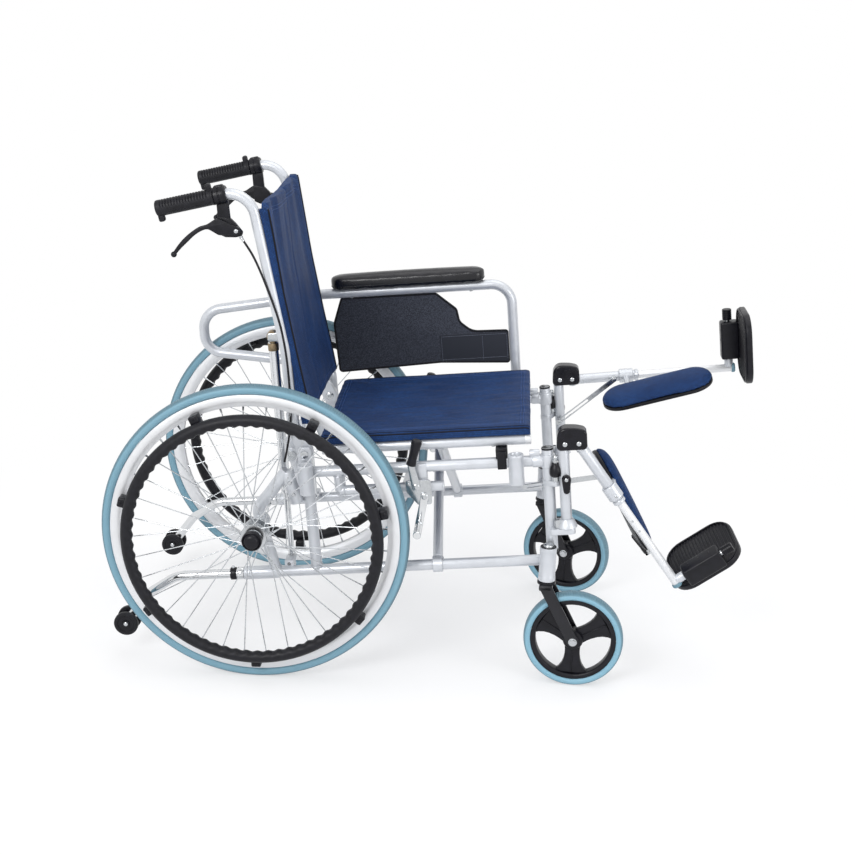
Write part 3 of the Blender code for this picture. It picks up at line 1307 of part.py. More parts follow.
def leg_slider(side, name, leg):
    """The inner tube with its heel cap, the foot plate's pin and the lug of the release lever."""
    y = side * HANGER_OUT
    pin_top = FOOT_SLEEVE_V[1] + 0.003
    lug_u = RELEASE_U[1]
    pieces = [
        rod((SLIDER_START_U, y, 0), (SLIDER_END_U, y, 0), SLIDER_RADIUS),
        rod((SLIDER_END_U - 0.001, y, 0), (SLIDER_END_U + HEEL_LENGTH, y, 0), HEEL_RADIUS, 12),
        rod((FOOT_AXIS_U, y, 0), (FOOT_AXIS_U, y, pin_top + 0.002), FOOT_PIN_RADIUS),
        rod((FOOT_AXIS_U, y, 0.004), (FOOT_AXIS_U, y, FOOT_SLEEVE_V[0] - RUNNING), FOOT_PIN_RADIUS + 0.004),
        rod((FOOT_AXIS_U, y, pin_top), (FOOT_AXIS_U, y, FOOT_PIN_TOP_V), FOOT_KNOB_RADIUS, 10),
        block((lug_u - 0.005, y - RELEASE_LUG_HALF_WIDTH, RELEASE_V - 0.003),
              (lug_u + 0.005, y + RELEASE_LUG_HALF_WIDTH, -SLIDER_RADIUS / 2)),
        rod(
            (lug_u, y - RELEASE_HALF_WIDTH, RELEASE_V),
            (lug_u, y + RELEASE_HALF_WIDTH, RELEASE_V),
            RELEASE_PIN_RADIUS,
        ),
    ]
    return place(fuse(pieces), f"leg_slider_{name}", SILVER_PAINT, leg, (0, y, 0))


def leg_release(side, name, leg):
    """The small lever behind the slider, forked round its lug."""
    y = side * HANGER_OUT
    tip_u, lug_u = RELEASE_U
    half = RELEASE_THICKNESS / 2
    corners = [(tip_u, RELEASE_TIP_V - half), (lug_u + 0.003, RELEASE_V - half - 0.001),
               (lug_u + 0.003, RELEASE_V + half + 0.001), (tip_u, RELEASE_TIP_V + half)]
    outline = [(u, y - RELEASE_HALF_WIDTH, v) for u, v in corners]
    body = prism(outline, (0, 2 * RELEASE_HALF_WIDTH, 0))
    inner = RELEASE_LUG_HALF_WIDTH + GAP
    fork = block((lug_u - 0.0065, y - inner, RELEASE_V - 0.01), (lug_u + 0.01, y + inner, RELEASE_V + 0.01))
    hole = bore((lug_u, y - 0.02, RELEASE_V), (lug_u, y + 0.02, RELEASE_V), RELEASE_PIN_RADIUS + GAP)
    at = (lug_u, y, RELEASE_V)
    return place(fuse([body], [fork, hole]), f"leg_release_{name}", BLACK_PLASTIC, leg, at)


def foot_plate(side, name, foot):
    """The plate under its sleeve, in a frame on the sleeve's axis that turns with the flip."""
    near_v, far_v = PLATE_V
    heel, toe = side * PLATE_HEEL, -side * PLATE_REACH
    start = PLATE_U[0] - FOOT_AXIS_U
    corners = [(start, heel, near_v), (start, toe, near_v), (start, toe, far_v), (start, heel, far_v)]
    outline = rounded_loop(corners, PLATE_CORNER) if PLATE_CORNER < PLATE_REACH / 2 else corners
    low, high = FOOT_SLEEVE_V
    pieces = [
        prism(outline, (PLATE_U[1] - PLATE_U[0], 0, 0)),
        rod((0, 0, low), (0, 0, high), FOOT_SLEEVE_RADIUS, 12),
        block((FOOT_SLEEVE_RADIUS * 0.5, -FOOT_SLEEVE_RADIUS * 0.5, low + 0.002),
              (start + 0.002, FOOT_SLEEVE_RADIUS * 0.5, high - 0.002)),
    ]
    hole = bore((0, 0, low - 0.02), (0, 0, high + 0.02), FOOT_PIN_RADIUS + RUNNING)
    return place(fuse(pieces, [hole]), f"foot_plate_{name}", BLACK_PLASTIC, foot)


def calf_pad(side, name, roll):
    """The round-ended pad and its clamp, in a frame on the leg's centre line that turns with the roll."""
    length, width, thick = (half / 2 for half in (CALF_LENGTH, CALF_WIDTH, CALF_THICKNESS))
    corners = [
        (-length, -width, -thick),
        (length, -width, -thick),
        (length, width, -thick),
        (-length, width, -thick),
    ]
    pad = prism(rounded_loop(corners, width - 0.001, 5), (0, 0, CALF_THICKNESS))
    centre = Vector((CALF_CENTRE_U, -side * CALF_CENTRE_REACH, CALF_CENTRE_V))
    tilt = Quaternion((0, 1, 0), -CALF_TILTS[side])
    pad.data.transform(Matrix.Translation(centre) @ tilt.to_matrix().to_4x4())
    ring_low, ring_high = CALF_CLAMP_U
    middle = (ring_low + ring_high) / 2
    pad_v = centre.z + (middle - centre.x) * math.tan(CALF_TILTS[side])
    hold = (middle, -side * (CALF_CENTRE_REACH - width + 0.014), pad_v)
    pieces = [
        pad,
        rod((ring_low, 0, 0), (ring_high, 0, 0), CALF_CLAMP_RADIUS, 12),
        rod((middle, -side * (LEG_RADIUS + 0.002), 0), hold, CALF_ARM_RADIUS),
    ]
    hole = bore((ring_low - 0.01, 0, 0), (ring_high + 0.01, 0, 0), LEG_RADIUS + RUNNING)
    return place(fuse(pieces, [hole]), f"calf_pad_{name}", NAVY_CLOTH, roll)


def leg_rest(side, name, tilted):
    """One leg rest at its own rest angle, with its foot plate and calf pad as they stand."""
    y = side * HANGER_OUT
    leg_hanger(side, name, tilted)
    hanger_latch(side, name, tilted)
    hang = Quaternion((0, 1, 0), -LEG_ANGLES[side])
    leg = frame_empty(f"leg_frame_{name}", tilted, (KNEE_S, 0, KNEE_T), hang)
    leg_tube(side, name, leg)
    leg_slider(side, name, leg)
    leg_release(side, name, leg)
    elevation_bar(side, name, leg)
    flip = Quaternion((0, 0, 1), -side * FOOT_TURNS[side])
    foot_plate(side, name, frame_empty(f"foot_frame_{name}", leg, (FOOT_AXIS_U, y, 0), flip))
    roll = Quaternion((1, 0, 0), side * CALF_TURNS[side])
    calf_pad(side, name, frame_empty(f"calf_frame_{name}", leg, (0, y, 0), roll))


def centre_on_floor(root):
    """Moves the chair so that the world's origin is under the middle of its box."""
    bpy.context.view_layer.update()
    xs = [(obj.matrix_world @ vertex.co).x for obj in bpy.data.objects if obj.type == "MESH"
          for vertex in obj.data.vertices]
    root.location.x = -(min(xs) + max(xs)) / 2
    bpy.context.view_layer.update()


def build_side(side, name, root, tilted):
    side_frame(side, name, tilted)
    back_cane(side, name, tilted)
    hand_grip(side, name, tilted)
    lever_housing(side, name, tilted)
    recline_lever(side, name, tilted)
    release_cable(side, name, tilted)
    strut_cylinder(side, name, tilted)
    strut_rod(side, name, tilted)
    axle = frame_empty(f"rear_axle_{name}", root, (0, 0, WHEEL_RADIUS))
    rear_tyre(side, name, axle)
    rear_wheel(side, name, axle)
    push_rim(side, name, axle)
    swivel_turn = Quaternion((0, 0, 1), SWIVEL_TURNS[side])
    swivel = frame_empty(f"caster_swivel_{name}", root, (SWIVEL_X, side * SWIVEL_OUT, 0), swivel_turn)
    caster_fork(name, swivel)
    caster_tyre(name, swivel)
    caster_hub(name, swivel)
    anti_tip_tube(side, name, tilted)
    anti_tip_roller(side, name, tilted)
    lock_lever(side, name, tilted)
    lock_shoe(side, name, tilted)
    leg_rest(side, name, tilted)


def main():
    clear_scene()
    root = frame_empty("chair", None)
    tilted = frame_empty("rail_frame", root, (0, 0, WHEEL_RADIUS), Quaternion((0, 1, 0), -RAIL_TILT))
    cross_arm(RIGHT, "cross_arm_a", tilted)
    cross_arm(LEFT, "cross_arm_b", tilted)
    cross_pin(tilted)
    seat_sling(tilted)
    back_sling(tilted)
    for side, name in SIDES:
        build_side(side, name, root, tilted)
    armrest_tube(tilted)
    arm_pad(tilted)
    side_panel(tilted)
    centre_on_floor(root)


main()
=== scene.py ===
"""Looks of the reclining folding wheelchair, as a set of operators for the 3D view's sidebar.

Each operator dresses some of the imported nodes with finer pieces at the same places, in metres. The chair
faces +X and the user's left is +Y. Most pieces are laid out in the tilted frame of their side's rails: s
forwards along the rails, out from the middle plane, and t square to the rails, from the rear axle. A leg
rest has its own frame: u down the leg from the knee pin, inwards from the leg's middle, and v square to it.
"""

import math

import bmesh
import bpy
from bpy.props import FloatProperty, FloatVectorProperty, PointerProperty
from mathutils import Matrix, Quaternion, Vector, noise
from mathutils.bvhtree import BVHTree


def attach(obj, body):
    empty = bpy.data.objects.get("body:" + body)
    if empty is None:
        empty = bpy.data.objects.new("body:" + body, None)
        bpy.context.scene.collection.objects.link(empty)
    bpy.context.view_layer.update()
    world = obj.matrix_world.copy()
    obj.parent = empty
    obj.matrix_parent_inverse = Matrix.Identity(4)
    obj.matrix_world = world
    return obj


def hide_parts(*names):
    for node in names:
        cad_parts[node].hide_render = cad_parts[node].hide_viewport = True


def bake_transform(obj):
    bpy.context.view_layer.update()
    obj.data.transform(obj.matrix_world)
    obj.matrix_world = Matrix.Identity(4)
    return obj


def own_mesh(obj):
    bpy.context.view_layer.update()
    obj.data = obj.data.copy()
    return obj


bl_info = {
    "name": "Reclining wheelchair looks",
    "version": (1, 0, 0),
    "blender": (4, 5, 0),
    "location": "3D View > Sidebar > Wheelchair",
    "description": "Dresses the packed wheelchair with its finished pieces",
    "category": "Object",
}

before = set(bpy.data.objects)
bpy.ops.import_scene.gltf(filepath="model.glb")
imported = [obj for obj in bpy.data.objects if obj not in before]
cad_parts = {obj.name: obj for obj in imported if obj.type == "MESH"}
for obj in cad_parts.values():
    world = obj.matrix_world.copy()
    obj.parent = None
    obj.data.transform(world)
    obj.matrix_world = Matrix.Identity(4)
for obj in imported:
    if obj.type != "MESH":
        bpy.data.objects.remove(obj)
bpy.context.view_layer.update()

SIDES = {"right": -1, "left": 1}
MM = 0.001

# Stance
CHAIR_X = -0.34933
TILT = math.radians(6)
WHEEL_RADIUS = 0.305
FRAME_OUT = 0.217
CANE_OUT = 0.2
WHEEL_OUT = 0.283
HANGER_OUT = 0.23
KNEE = (0.642, 0.134)
LEG_ANGLES = {"right": math.radians(-59.2), "left": math.radians(1.3)}
SWIVEL_X = 0.577
SWIVEL_OUT = 0.24
SWIVEL_TURNS = {"right": math.radians(-4.9), "left": math.radians(-17.8)}
CASTER_TRAIL = 0.06
CASTER_RADIUS = 0.1
RECLINE = (0.102, 0.137)
STRUT_HEAD = (0.056, 0.371)
STRUT_FOOT_S = 0.048
STRUT_OUT = 0.177


def linear(code):
    """The linear colour of an sRGB hex value."""
    parts = [int(code[i : i + 2], 16) / 255 for i in (0, 2, 4)]
    return tuple(c / 12.92 if c <= 0.04045 else ((c + 0.055) / 1.055) ** 2.4 for c in parts)


# Places

# A lathe's own axis laid outwards, and laid down the leg.
OUTWARDS = Matrix.Rotation(-math.pi / 2, 4, "X")
DOWN_LEG = Matrix.Rotation(math.pi / 2, 4, "Y")
# The frame of the rails at the middle plane, with y to the left.
RAILS = Matrix.Translation((CHAIR_X, 0, WHEEL_RADIUS)) @ Matrix.Rotation(-TILT, 4, "Y")


def at(side, s, out, t):
    """The world place of a point of the rails' frame on one side."""
    c, d = math.cos(TILT), math.sin(TILT)
    return Vector((CHAIR_X + s * c - t * d, SIDES[side] * out, WHEEL_RADIUS + s * d + t * c))


AHEAD = at("left", 1, 0, 0) - at("left", 0, 0, 0)
ABOVE = at("left", 0, 0, 1) - at("left", 0, 0, 0)


def outward(side, reach=1.0):
    """A step of a length away from the middle plane."""
    return Vector((0, SIDES[side] * reach, 0))


def swivel_matrix(side):
    """The caster's frame on the floor under its swivel."""
    turn = Matrix.Rotation(SWIVEL_TURNS[side], 4, "Z")
    return Matrix.Translation((CHAIR_X + SWIVEL_X, SIDES[side] * SWIVEL_OUT, 0)) @ turn


def hanger_matrix(side):
    """The rails' frame with its y measured inwards from the leg rest's plane."""
    inwards = Matrix.Diagonal((1, -SIDES[side], 1, 1))
    return RAILS @ Matrix.Translation((0, SIDES[side] * HANGER_OUT, 0)) @ inwards


def leg_matrix(side):
    """The leg's frame from the knee pin: x down the leg, y inwards for either side, z on the calf's side."""
    turned_down = RAILS @ Matrix.Translation((KNEE[0], SIDES[side] * HANGER_OUT, KNEE[1]))
    turned_down @= Matrix.Rotation(-LEG_ANGLES[side], 4, "Y")
    return turned_down @ Matrix.Diagonal((1, -SIDES[side], 1, 1))


def strut_foot():
    """(s, t) of the strut's lower pin, as far from the recline pin as its head."""
    reach = math.dist(STRUT_HEAD, RECLINE)
    return STRUT_FOOT_S, RECLINE[1] - math.sqrt(reach**2 - (RECLINE[0] - STRUT_FOOT_S) ** 2)


def facing(place, direction):
    """A frame at a place whose z axis points along a direction."""
    turn = Vector(direction).to_track_quat("Z", "Y").to_matrix().to_4x4()
    return Matrix.Translation(place) @ turn


def arc(before, corner, after, radius, steps):
    """Points of the arc that rounds a corner between two straight runs."""
    before, corner, after = Vector(before), Vector(corner), Vector(after)
    arrive = (corner - before).normalized()
    leave = (after - corner).normalized()
    turn = arrive.angle(leave)
    centre = corner + (leave - arrive).normalized() * radius / math.cos(turn / 2)
    spoke = corner - arrive * radius * math.tan(turn / 2) - centre
    axis = arrive.cross(leave).normalized()
    return [centre + Quaternion(axis, turn * i / steps) @ spoke for i in range(steps + 1)]


def rounded_path(corners, radii, steps):
    """An open run with each corner between its ends rounded."""
    path = [Vector(corners[0])]
    for i, radius in enumerate(radii, 1):
        path += arc(corners[i - 1], corners[i], corners[i + 1], radius, steps)
    return path + [Vector(corners[-1])]


def rounded(outline, radii, steps):
    """A closed outline of pairs with its corners rounded, by one radius or by a list with one for each."""
    if isinstance(radii, float):
        radii = [radii] * len(outline)
    corners = [(s, 0, t) for s, t in outline]
    loop = []
    for i, corner in enumerate(corners):
        loop += arc(corners[i - 1], corner, corners[(i + 1) % len(corners)], radii[i], steps)
    return [(point.x, point.z) for point in loop]


def smooth_path(route, count):
    """Evenly numbered points on a smooth curve through a few places."""
    places = [Vector(place) for place in route]
    places = [2 * places[0] - places[1], *places, 2 * places[-1] - places[-2]]
    spans = len(route) - 1
    path = []
    for i in range(count):
        along = spans * i / (count - 1)
        k = min(int(along), spans - 1)
        x = along - k
        a, b, c, d = places[k : k + 4]
        cubic = (3 * b - a - 3 * c + d) * x**3
        path.append(0.5 * (2 * b + (c - a) * x + (2 * a - 5 * b + 4 * c - d) * x**2 + cubic))
    return path


def link_outline(near, near_radius, far, far_radius, steps=10):
    """The outline drawn tightly round two discs in one plane, as pairs."""
    near, far = Vector(near), Vector(far)
    along = far - near
    heading = math.atan2(along.y, along.x)
    spread = math.acos((near_radius - far_radius) / along.length)
    outline = []
    for centre, radius, first, sweep in (
        (near, near_radius, heading + spread, 2 * math.pi - 2 * spread),
        (far, far_radius, heading - spread, 2 * spread),
    ):
        turns = [first + sweep * i / steps for i in range(steps + 1)]
        outline += [(centre.x + radius * math.cos(a), centre.y + radius * math.sin(a)) for a in turns]
    return outline


def both_sides(half, out=0.0):
    """A closed lathe line from its half on one side of the middle."""
    near = [(radius, out - along) for radius, along in half]
    return near + [(radius, out + along) for radius, along in reversed(half)]


def ring(inner, outer, low, high, edge, rise=None):
    """The lathe line of a plain ring with eased outer corners."""
    rise = rise or edge
    half = (high - low) / 2
    return both_sides([(inner, half), (outer - edge, half), (outer, half - rise)], (low + high) / 2)


# Materials


def node(tree, kind, links=None, values=None, into=None, stops=(), **settings):
    """One node with its settings, its sockets' values, its colour stops and its links."""
    made = tree.nodes.new(kind)
    for name, value in settings.items():
        setattr(made, name, value)
    for socket, value in (values or {}).items():
        made.inputs[socket].default_value = value
    for socket, source in (links or {}).items():
        tree.links.new(source, made.inputs[socket])
    for number, (position, colour) in enumerate(stops):
        points = made.color_ramp.elements
        point = points[number] if number < 2 else points.new(position)
        point.position, point.color = position, (*colour, 1)
    if into:
        tree.links.new(made.outputs[0], into)
    return made


def new_finish(name, colour, metallic, roughness, sockets=None):
    """A material with its shader's own sockets set, and its tree and shader."""
    material = bpy.data.materials.new(name)
    material.use_nodes = True
    tree = material.node_tree
    shader = tree.nodes["Principled BSDF"]
    values = {"Base Color": (*colour, 1), "Metallic": metallic, "Roughness": roughness}
    for socket, value in (values | (sockets or {})).items():
        shader.inputs[socket].default_value = value
    return material, tree, shader


def tinted(colour, share):
    """A colour made darker, or lighter with a share over 1."""
    return tuple(min(1.0, channel * share) for channel in colour)


def place_on_object(tree, frame_of=None):
    """Object coordinates, or places in a frame that stands on the object."""
    spot = node(tree, "ShaderNodeTexCoord")
    into = (frame_of or Matrix()).inverted()
    values = {"Rotation": into.to_euler("XYZ"), "Location": into.translation}
    return node(tree, "ShaderNodeMapping", {"Vector": spot.outputs["Object"]}, values).outputs[0]


def grain(tree, shader, size, depth, detail=2.0):
    """Fine relief of a given grain size and depth, both in millimetres."""
    values = {"Scale": 1 / (size * MM), "Detail": detail}
    specks = node(tree, "ShaderNodeTexNoise", {"Vector": place_on_object(tree)}, values)
    values = {"Strength": 1.0, "Distance": depth * MM}
    node(tree, "ShaderNodeBump", {"Height": specks.outputs[0]}, values, shader.inputs["Normal"])


def blotches(tree, shader, tone, size, low, high, darker=None, lighter=None):
    """Roughness that varies in patches of a size in millimetres, and maybe shares of the tone with it."""
    values = {"Scale": 1 / (size * MM), "Detail": 3.0}
    patches = node(tree, "ShaderNodeTexNoise", {"Vector": place_on_object(tree)}, values).outputs[0]
    values = {"From Min": 0.3, "From Max": 0.7, "To Min": low, "To Max": high}
    node(tree, "ShaderNodeMapRange", {"Value": patches}, values, shader.inputs["Roughness"])
    if darker:
        stops = ((0.35, tinted(tone, darker)), (0.65, tinted(tone, lighter)))
        node(tree, "ShaderNodeValToRGB", {"Fac": patches}, None, shader.inputs["Base Color"], stops)


def plain_finish(tone, name, metallic, roughness, patches=None, specks=None, sockets=None):
    """A material with patches, as blotches takes them, and specks, as grain takes them."""
    material, tree, shader = new_finish(name, tone, metallic, roughness, sockets)
    if patches:
        blotches(tree, shader, tone, *patches)
    if specks:
        grain(tree, shader, *specks)
    return material


def moulded_black(tone, name, roughness):
    """Black nylon, injection moulded: a sheen over a fine spark-eroded grain, deeper where it is duller."""
    patches = (12, roughness * 0.85, roughness * 1.25, 0.8, 1.3)
    sockets = {"IOR": 1.53, "Specular IOR Level": 0.24}
    # The grain is under 0.3 mm, drawn at 0.9 mm so that it shows.
    return plain_finish(tone, name, 0.0, roughness, patches, (0.9, roughness * 0.06), sockets)


def tape(tone, name):
    """Nylon tape, woven: dull, with fine ribs drawn at 1.3 mm so that they show."""
    sockets = {"Specular IOR Level": 0.25, "Sheen Weight": 0.03}
    return plain_finish(tone, name, 0.0, 0.85, None, (1.3, 0.15, 3.0), sockets)


def sewing_thread(tone, name):
    """Bonded nylon sewing thread, paler than what it sews and slightly glossy."""
    return plain_finish(tone, name, 0.0, 0.5, (5, 0.42, 0.6))


def solid_tyre(name, wheel, radius, depth, share=1.0):
    """Blue-grey polyurethane tyre, cast solid: matte and ribbed finely on its tread, with a painted highlight
    that makes its wall paler and painted shade that darkens its tread.
    """
    tone = tinted(bpy.context.scene.wheelchair_colours.tyre, share)
    sockets = {"IOR": 1.49, "Subsurface Weight": 0.08, "Subsurface Radius": (0.002, 0.003, 0.004)}
    material, tree, shader = new_finish(f"cast_tyre_{name}", tone, 0.0, 0.5, sockets)
    # The turn about the wheel's y axis in radians, and the distance from it in metres.
    parts = node(tree, "ShaderNodeSeparateXYZ", {"Vector": place_on_object(tree, wheel)})
    links = {0: parts.outputs["Z"], 1: parts.outputs["X"]}
    turn = node(tree, "ShaderNodeMath", links, operation="ARCTAN2")
    flat = node(tree, "ShaderNodeCombineXYZ", {"X": parts.outputs["X"], "Z": parts.outputs["Z"]})
    reach = node(tree, "ShaderNodeVectorMath", {0: flat.outputs[0]}, operation="LENGTH")
    links = {"Value": reach.outputs["Value"]}
    across = node(tree, "ShaderNodeMapRange", links, {"From Min": radius - depth, "From Max": radius})
    # Painted light and shade across the tyre: the wall is made a little paler as a painted highlight, and the
    # tread's shoulder darker as painted shade where it turns away from the light.
    painted_shade_bands = ((0.12, 1.12), (0.92, 0.62), (0.62, 1.05), (0.74, 0.7))
    stops = [(place, tinted(tone, part)) for place, part in painted_shade_bands]
    node(tree, "ShaderNodeValToRGB", {"Fac": across.outputs[0]}, None, shader.inputs["Base Color"], stops)
    # Ribs 5 mm apart round the tread.
    ribs = round(2 * math.pi * radius / (5 * MM))
    wave = node(tree, "ShaderNodeMath", {0: turn.outputs[0]}, {1: ribs}, operation="MULTIPLY")
    ridge = node(tree, "ShaderNodeMath", {0: wave.outputs[0]}, operation="SINE")
    only = node(tree, "ShaderNodeMapRange", links, {"From Min": radius - 5 * MM, "From Max": radius - 2 * MM})
    links = {0: ridge.outputs[0], 1: only.outputs[0]}
    height = node(tree, "ShaderNodeMath", links, operation="MULTIPLY")
    values = {"Scale": 700.0, "Detail": 2.0}
    specks = node(tree, "ShaderNodeTexNoise", {"Vector": place_on_object(tree)}, values)
    links = {0: specks.outputs[0], 2: height.outputs[0]}
    both = node(tree, "ShaderNodeMath", links, {1: 0.25}, operation="MULTIPLY_ADD")
    values = {"Strength": 0.8, "Distance": 0.5 * MM}
    node(tree, "ShaderNodeBump", {"Height": both.outputs[0]}, values, shader.inputs["Normal"])
    return material


def woven_cloth(tone):
    """Navy nylon cloth in a small brick weave, on the piece's own map: raised blocks with dark gaps."""
    cell = bpy.context.scene.wheelchair_sizes.weave_cell
    sockets = {"IOR": 1.5, "Specular IOR Level": 0.16, "Sheen Weight": 0.02, "Sheen Roughness": 0.4}
    material, tree, shader = new_finish("navy_woven_nylon", tone, 0.0, 0.62, sockets)
    spot = node(tree, "ShaderNodeUVMap", uv_map="weave").outputs[0]
    shares = (("Color1", 1.5), ("Color2", 1.0), ("Mortar", 0.25))
    values = {socket: (*tinted(tone, share), 1) for socket, share in shares}
    values |= {"Scale": 1 / cell, "Brick Width": 1.0, "Row Height": 0.72}
    values |= {"Mortar Size": 0.13, "Mortar Smooth": 1.0}
    bricks = node(tree, "ShaderNodeTexBrick", {"Vector": spot}, values)
    patches = node(tree, "ShaderNodeTexNoise", {"Vector": spot}, {"Scale": 11.0, "Detail": 5.0})
    stops = ((0.3, (0.72, 0.74, 0.78)), (0.72, (1.18, 1.16, 1.12)))
    faded = node(tree, "ShaderNodeValToRGB", {"Fac": patches.outputs[0]}, stops=stops)
    links = {6: bricks.outputs["Color"], 7: faded.outputs[0]}
    worn = node(tree, "ShaderNodeMix", links, {0: 1.0}, data_type="RGBA", blend_type="MULTIPLY")
    tree.links.new(worn.outputs[2], shader.inputs["Base Color"])
    # The threads are about 0.4 mm wide, drawn at a fifth of a block so that they show.
    threads = node(tree, "ShaderNodeTexNoise", {"Vector": spot}, {"Scale": 5 / cell, "Detail": 2.0})
    raised = node(tree, "ShaderNodeMath", {1: bricks.outputs["Fac"]}, {0: 1.0}, operation="SUBTRACT")
    links = {0: threads.outputs[0], 2: raised.outputs[0]}
    height = node(tree, "ShaderNodeMath", links, {1: 0.6}, operation="MULTIPLY_ADD")
    values = {"Strength": 0.8, "Distance": 0.35 * MM}
    node(tree, "ShaderNodeBump", {"Height": height.outputs[0]}, values, shader.inputs["Normal"])
    return material


def speckled_panel(tone):
    """Grey-black mesh cloth laminated to board: a dull ground with a fine pale fleck."""
    material, tree, shader = new_finish("speckled_mesh_cloth", tone, 0.0, 0.88, {"Specular IOR Level": 0.3})
    # The fleck is about 1 mm, drawn at 1.8 mm so that it shows.
    links = {"Vector": place_on_object(tree)}
    cells = node(tree, "ShaderNodeTexVoronoi", links, {"Scale": 1 / (1.8 * MM)}).outputs["Distance"]
    stops = ((0.12, tinted(tone, 2.1)), (0.62, tinted(tone, 0.72)))
    node(tree, "ShaderNodeValToRGB", {"Fac": cells}, None, shader.inputs["Base Color"], stops)
    values = {"Strength": 0.6, "Distance": 0.2 * MM}
    node(tree, "ShaderNodeBump", {"Height": cells}, values, shader.inputs["Normal"])
    return material


def pad_vinyl(tone):
    """Black vinyl over foam: a soft gloss over a small leather grain of 2.4 mm."""
    sockets = {"IOR": 1.52, "Specular IOR Level": 0.38, "Coat Weight": 0.1, "Coat Roughness": 0.16}
    material, tree, shader = new_finish("black_pad_vinyl", tone, 0.0, 0.24, sockets)
    links = {"Vector": place_on_object(tree)}
    cells = node(tree, "ShaderNodeTexVoronoi", links, {"Scale": 1 / (2.4 * MM)}, feature="SMOOTH_F1")
    values = {"Strength": 0.5, "Distance": 0.1 * MM}
    node(tree, "ShaderNodeBump", {"Height": cells.outputs["Distance"]}, values, shader.inputs["Normal"])
    blotches(tree, shader, tone, 16, 0.21, 0.28, 0.8, 1.3)
    return material


# The maker of each finish, its colour's name, the share of it that is taken, and what else the maker takes.
MAKERS = {
    # Silver polyester powder coat on steel tube, sprayed and baked: a soft sheen with a slight orange peel.
    # The peel is about 1 mm wide, drawn at 1.6 mm so that it shows.
    "paint": (
        plain_finish, "silver_paint", 1.0, "silver_powder_coat", 0.45, 0.36, (25, 0.32, 0.4, 0.96, 1.03),
        (1.6, 0.014), {"Coat Weight": 0.2, "Coat Roughness": 0.16},
    ),
    # Extruded aluminium, bead-blasted and anodised: an even, pale, dull metal. The blasted grain is under
    # 0.2 mm, drawn at 0.9 mm so that it shows.
    "alloy": (
        plain_finish, "alloy", 1.0, "satin_anodised_aluminium", 0.55, 0.46, (30, 0.42, 0.52, 0.97, 1.02),
        (0.9, 0.012),
    ),
    # Bright zinc on pressed and turned steel: a hard, slightly uneven shine.
    "zinc": (
        plain_finish, "zinc", 1.0, "bright_zinc_plate", 1.0, 0.24, (8, 0.2, 0.28, 0.95, 1.03), (2.0, 0.01),
    ),
    # Chromium plate on bent tube: near a mirror, with faint wipe marks.
    "chrome": (plain_finish, "chrome", 1.0, "chrome_plate", 1.0, 0.1, (14, 0.07, 0.15)),
    "plastic": (moulded_black, "black", 1.0, "moulded_black_nylon", 0.34),
    # The same nylon from a polished mould, on the caps and latches: a clearer shine.
    "gloss": (moulded_black, "black", 1.0, "polished_black_nylon", 0.2),
    # Black thermoplastic rubber, moulded: dull, in patches a little paler than the hollows.
    "rubber": (
        plain_finish, "rubber", 1.0, "moulded_black_rubber", 0.0, 0.46, (10, 0.4, 0.56, 0.75, 1.35),
        (1.1, 0.04), {"IOR": 1.5, "Specular IOR Level": 0.26},
    ),
    # Galvanised spoke wire, drawn: thin, pale and bright.
    "wire": (plain_finish, "zinc", 1.0, "drawn_spoke_wire", 0.9, 0.28, (6, 0.22, 0.36)),
    # Black enamel on pressed fork steel: a harder gloss than the nylon, with a few dulled patches.
    "enamel": (
        plain_finish, "black", 1.0, "black_enamelled_steel", 0.0, 0.3, (20, 0.24, 0.4, 0.9, 1.3), (1.4, 0.03),
        {"IOR": 1.5, "Specular IOR Level": 0.35, "Coat Weight": 0.15, "Coat Roughness": 0.15},
    ),
    # Yellow chromate on a steel clevis: a dull brassy metal.
    "bronze": (plain_finish, "bronze", 1.0, "chromated_clevis", 0.9, 0.38, (7, 0.3, 0.48, 0.8, 1.15)),
    # Grey-blue polypropylene plug at the slider's end, moulded and slightly waxy.
    "heel": (plain_finish, "tyre", 0.75, "grey_blue_end_plug", 0.0, 0.45, None, (1.2, 0.03), {"IOR": 1.49}),
    "thread": (sewing_thread, "cloth", 1.9, "navy_sewing_thread"),
    "pale_thread": (sewing_thread, "panel", 3.0, "grey_sewing_thread"),
    "binding": (tape, "black", 1.0, "black_edge_binding"),
    "webbing": (tape, "panel", 0.72, "grey_strap_webbing"),
    "cloth": (woven_cloth, "cloth", 1.0),
    "panel": (speckled_panel, "panel", 1.0),
    "vinyl": (pad_vinyl, "black", 1.0),
}
FINISHES = {}


def finish_of(name):
    """The material of a finish, made when it is first asked for."""
    if name not in FINISHES:
        maker, colour, share, *rest = MAKERS[name]
        tone = tinted(getattr(bpy.context.scene.wheelchair_colours, colour), share)
        FINISHES[name] = maker(tone, *rest)
    return FINISHES[name]


# Shapes


def ready(shape):
    """The shape with its faces pointing outwards."""
    bmesh.ops.recalc_face_normals(shape, faces=shape.faces)
    return shape


def moved(shape, matrix):
    """The shape taken into a frame, if there is one, with its faces pointing outwards."""
    if matrix:
        bmesh.ops.transform(shape, matrix=matrix, verts=shape.verts)
    return ready(shape)


def kind_of(geometry, kind):
    """The verts, edges or faces of what an operator gave."""
    return [item for item in geometry if isinstance(item, kind)]


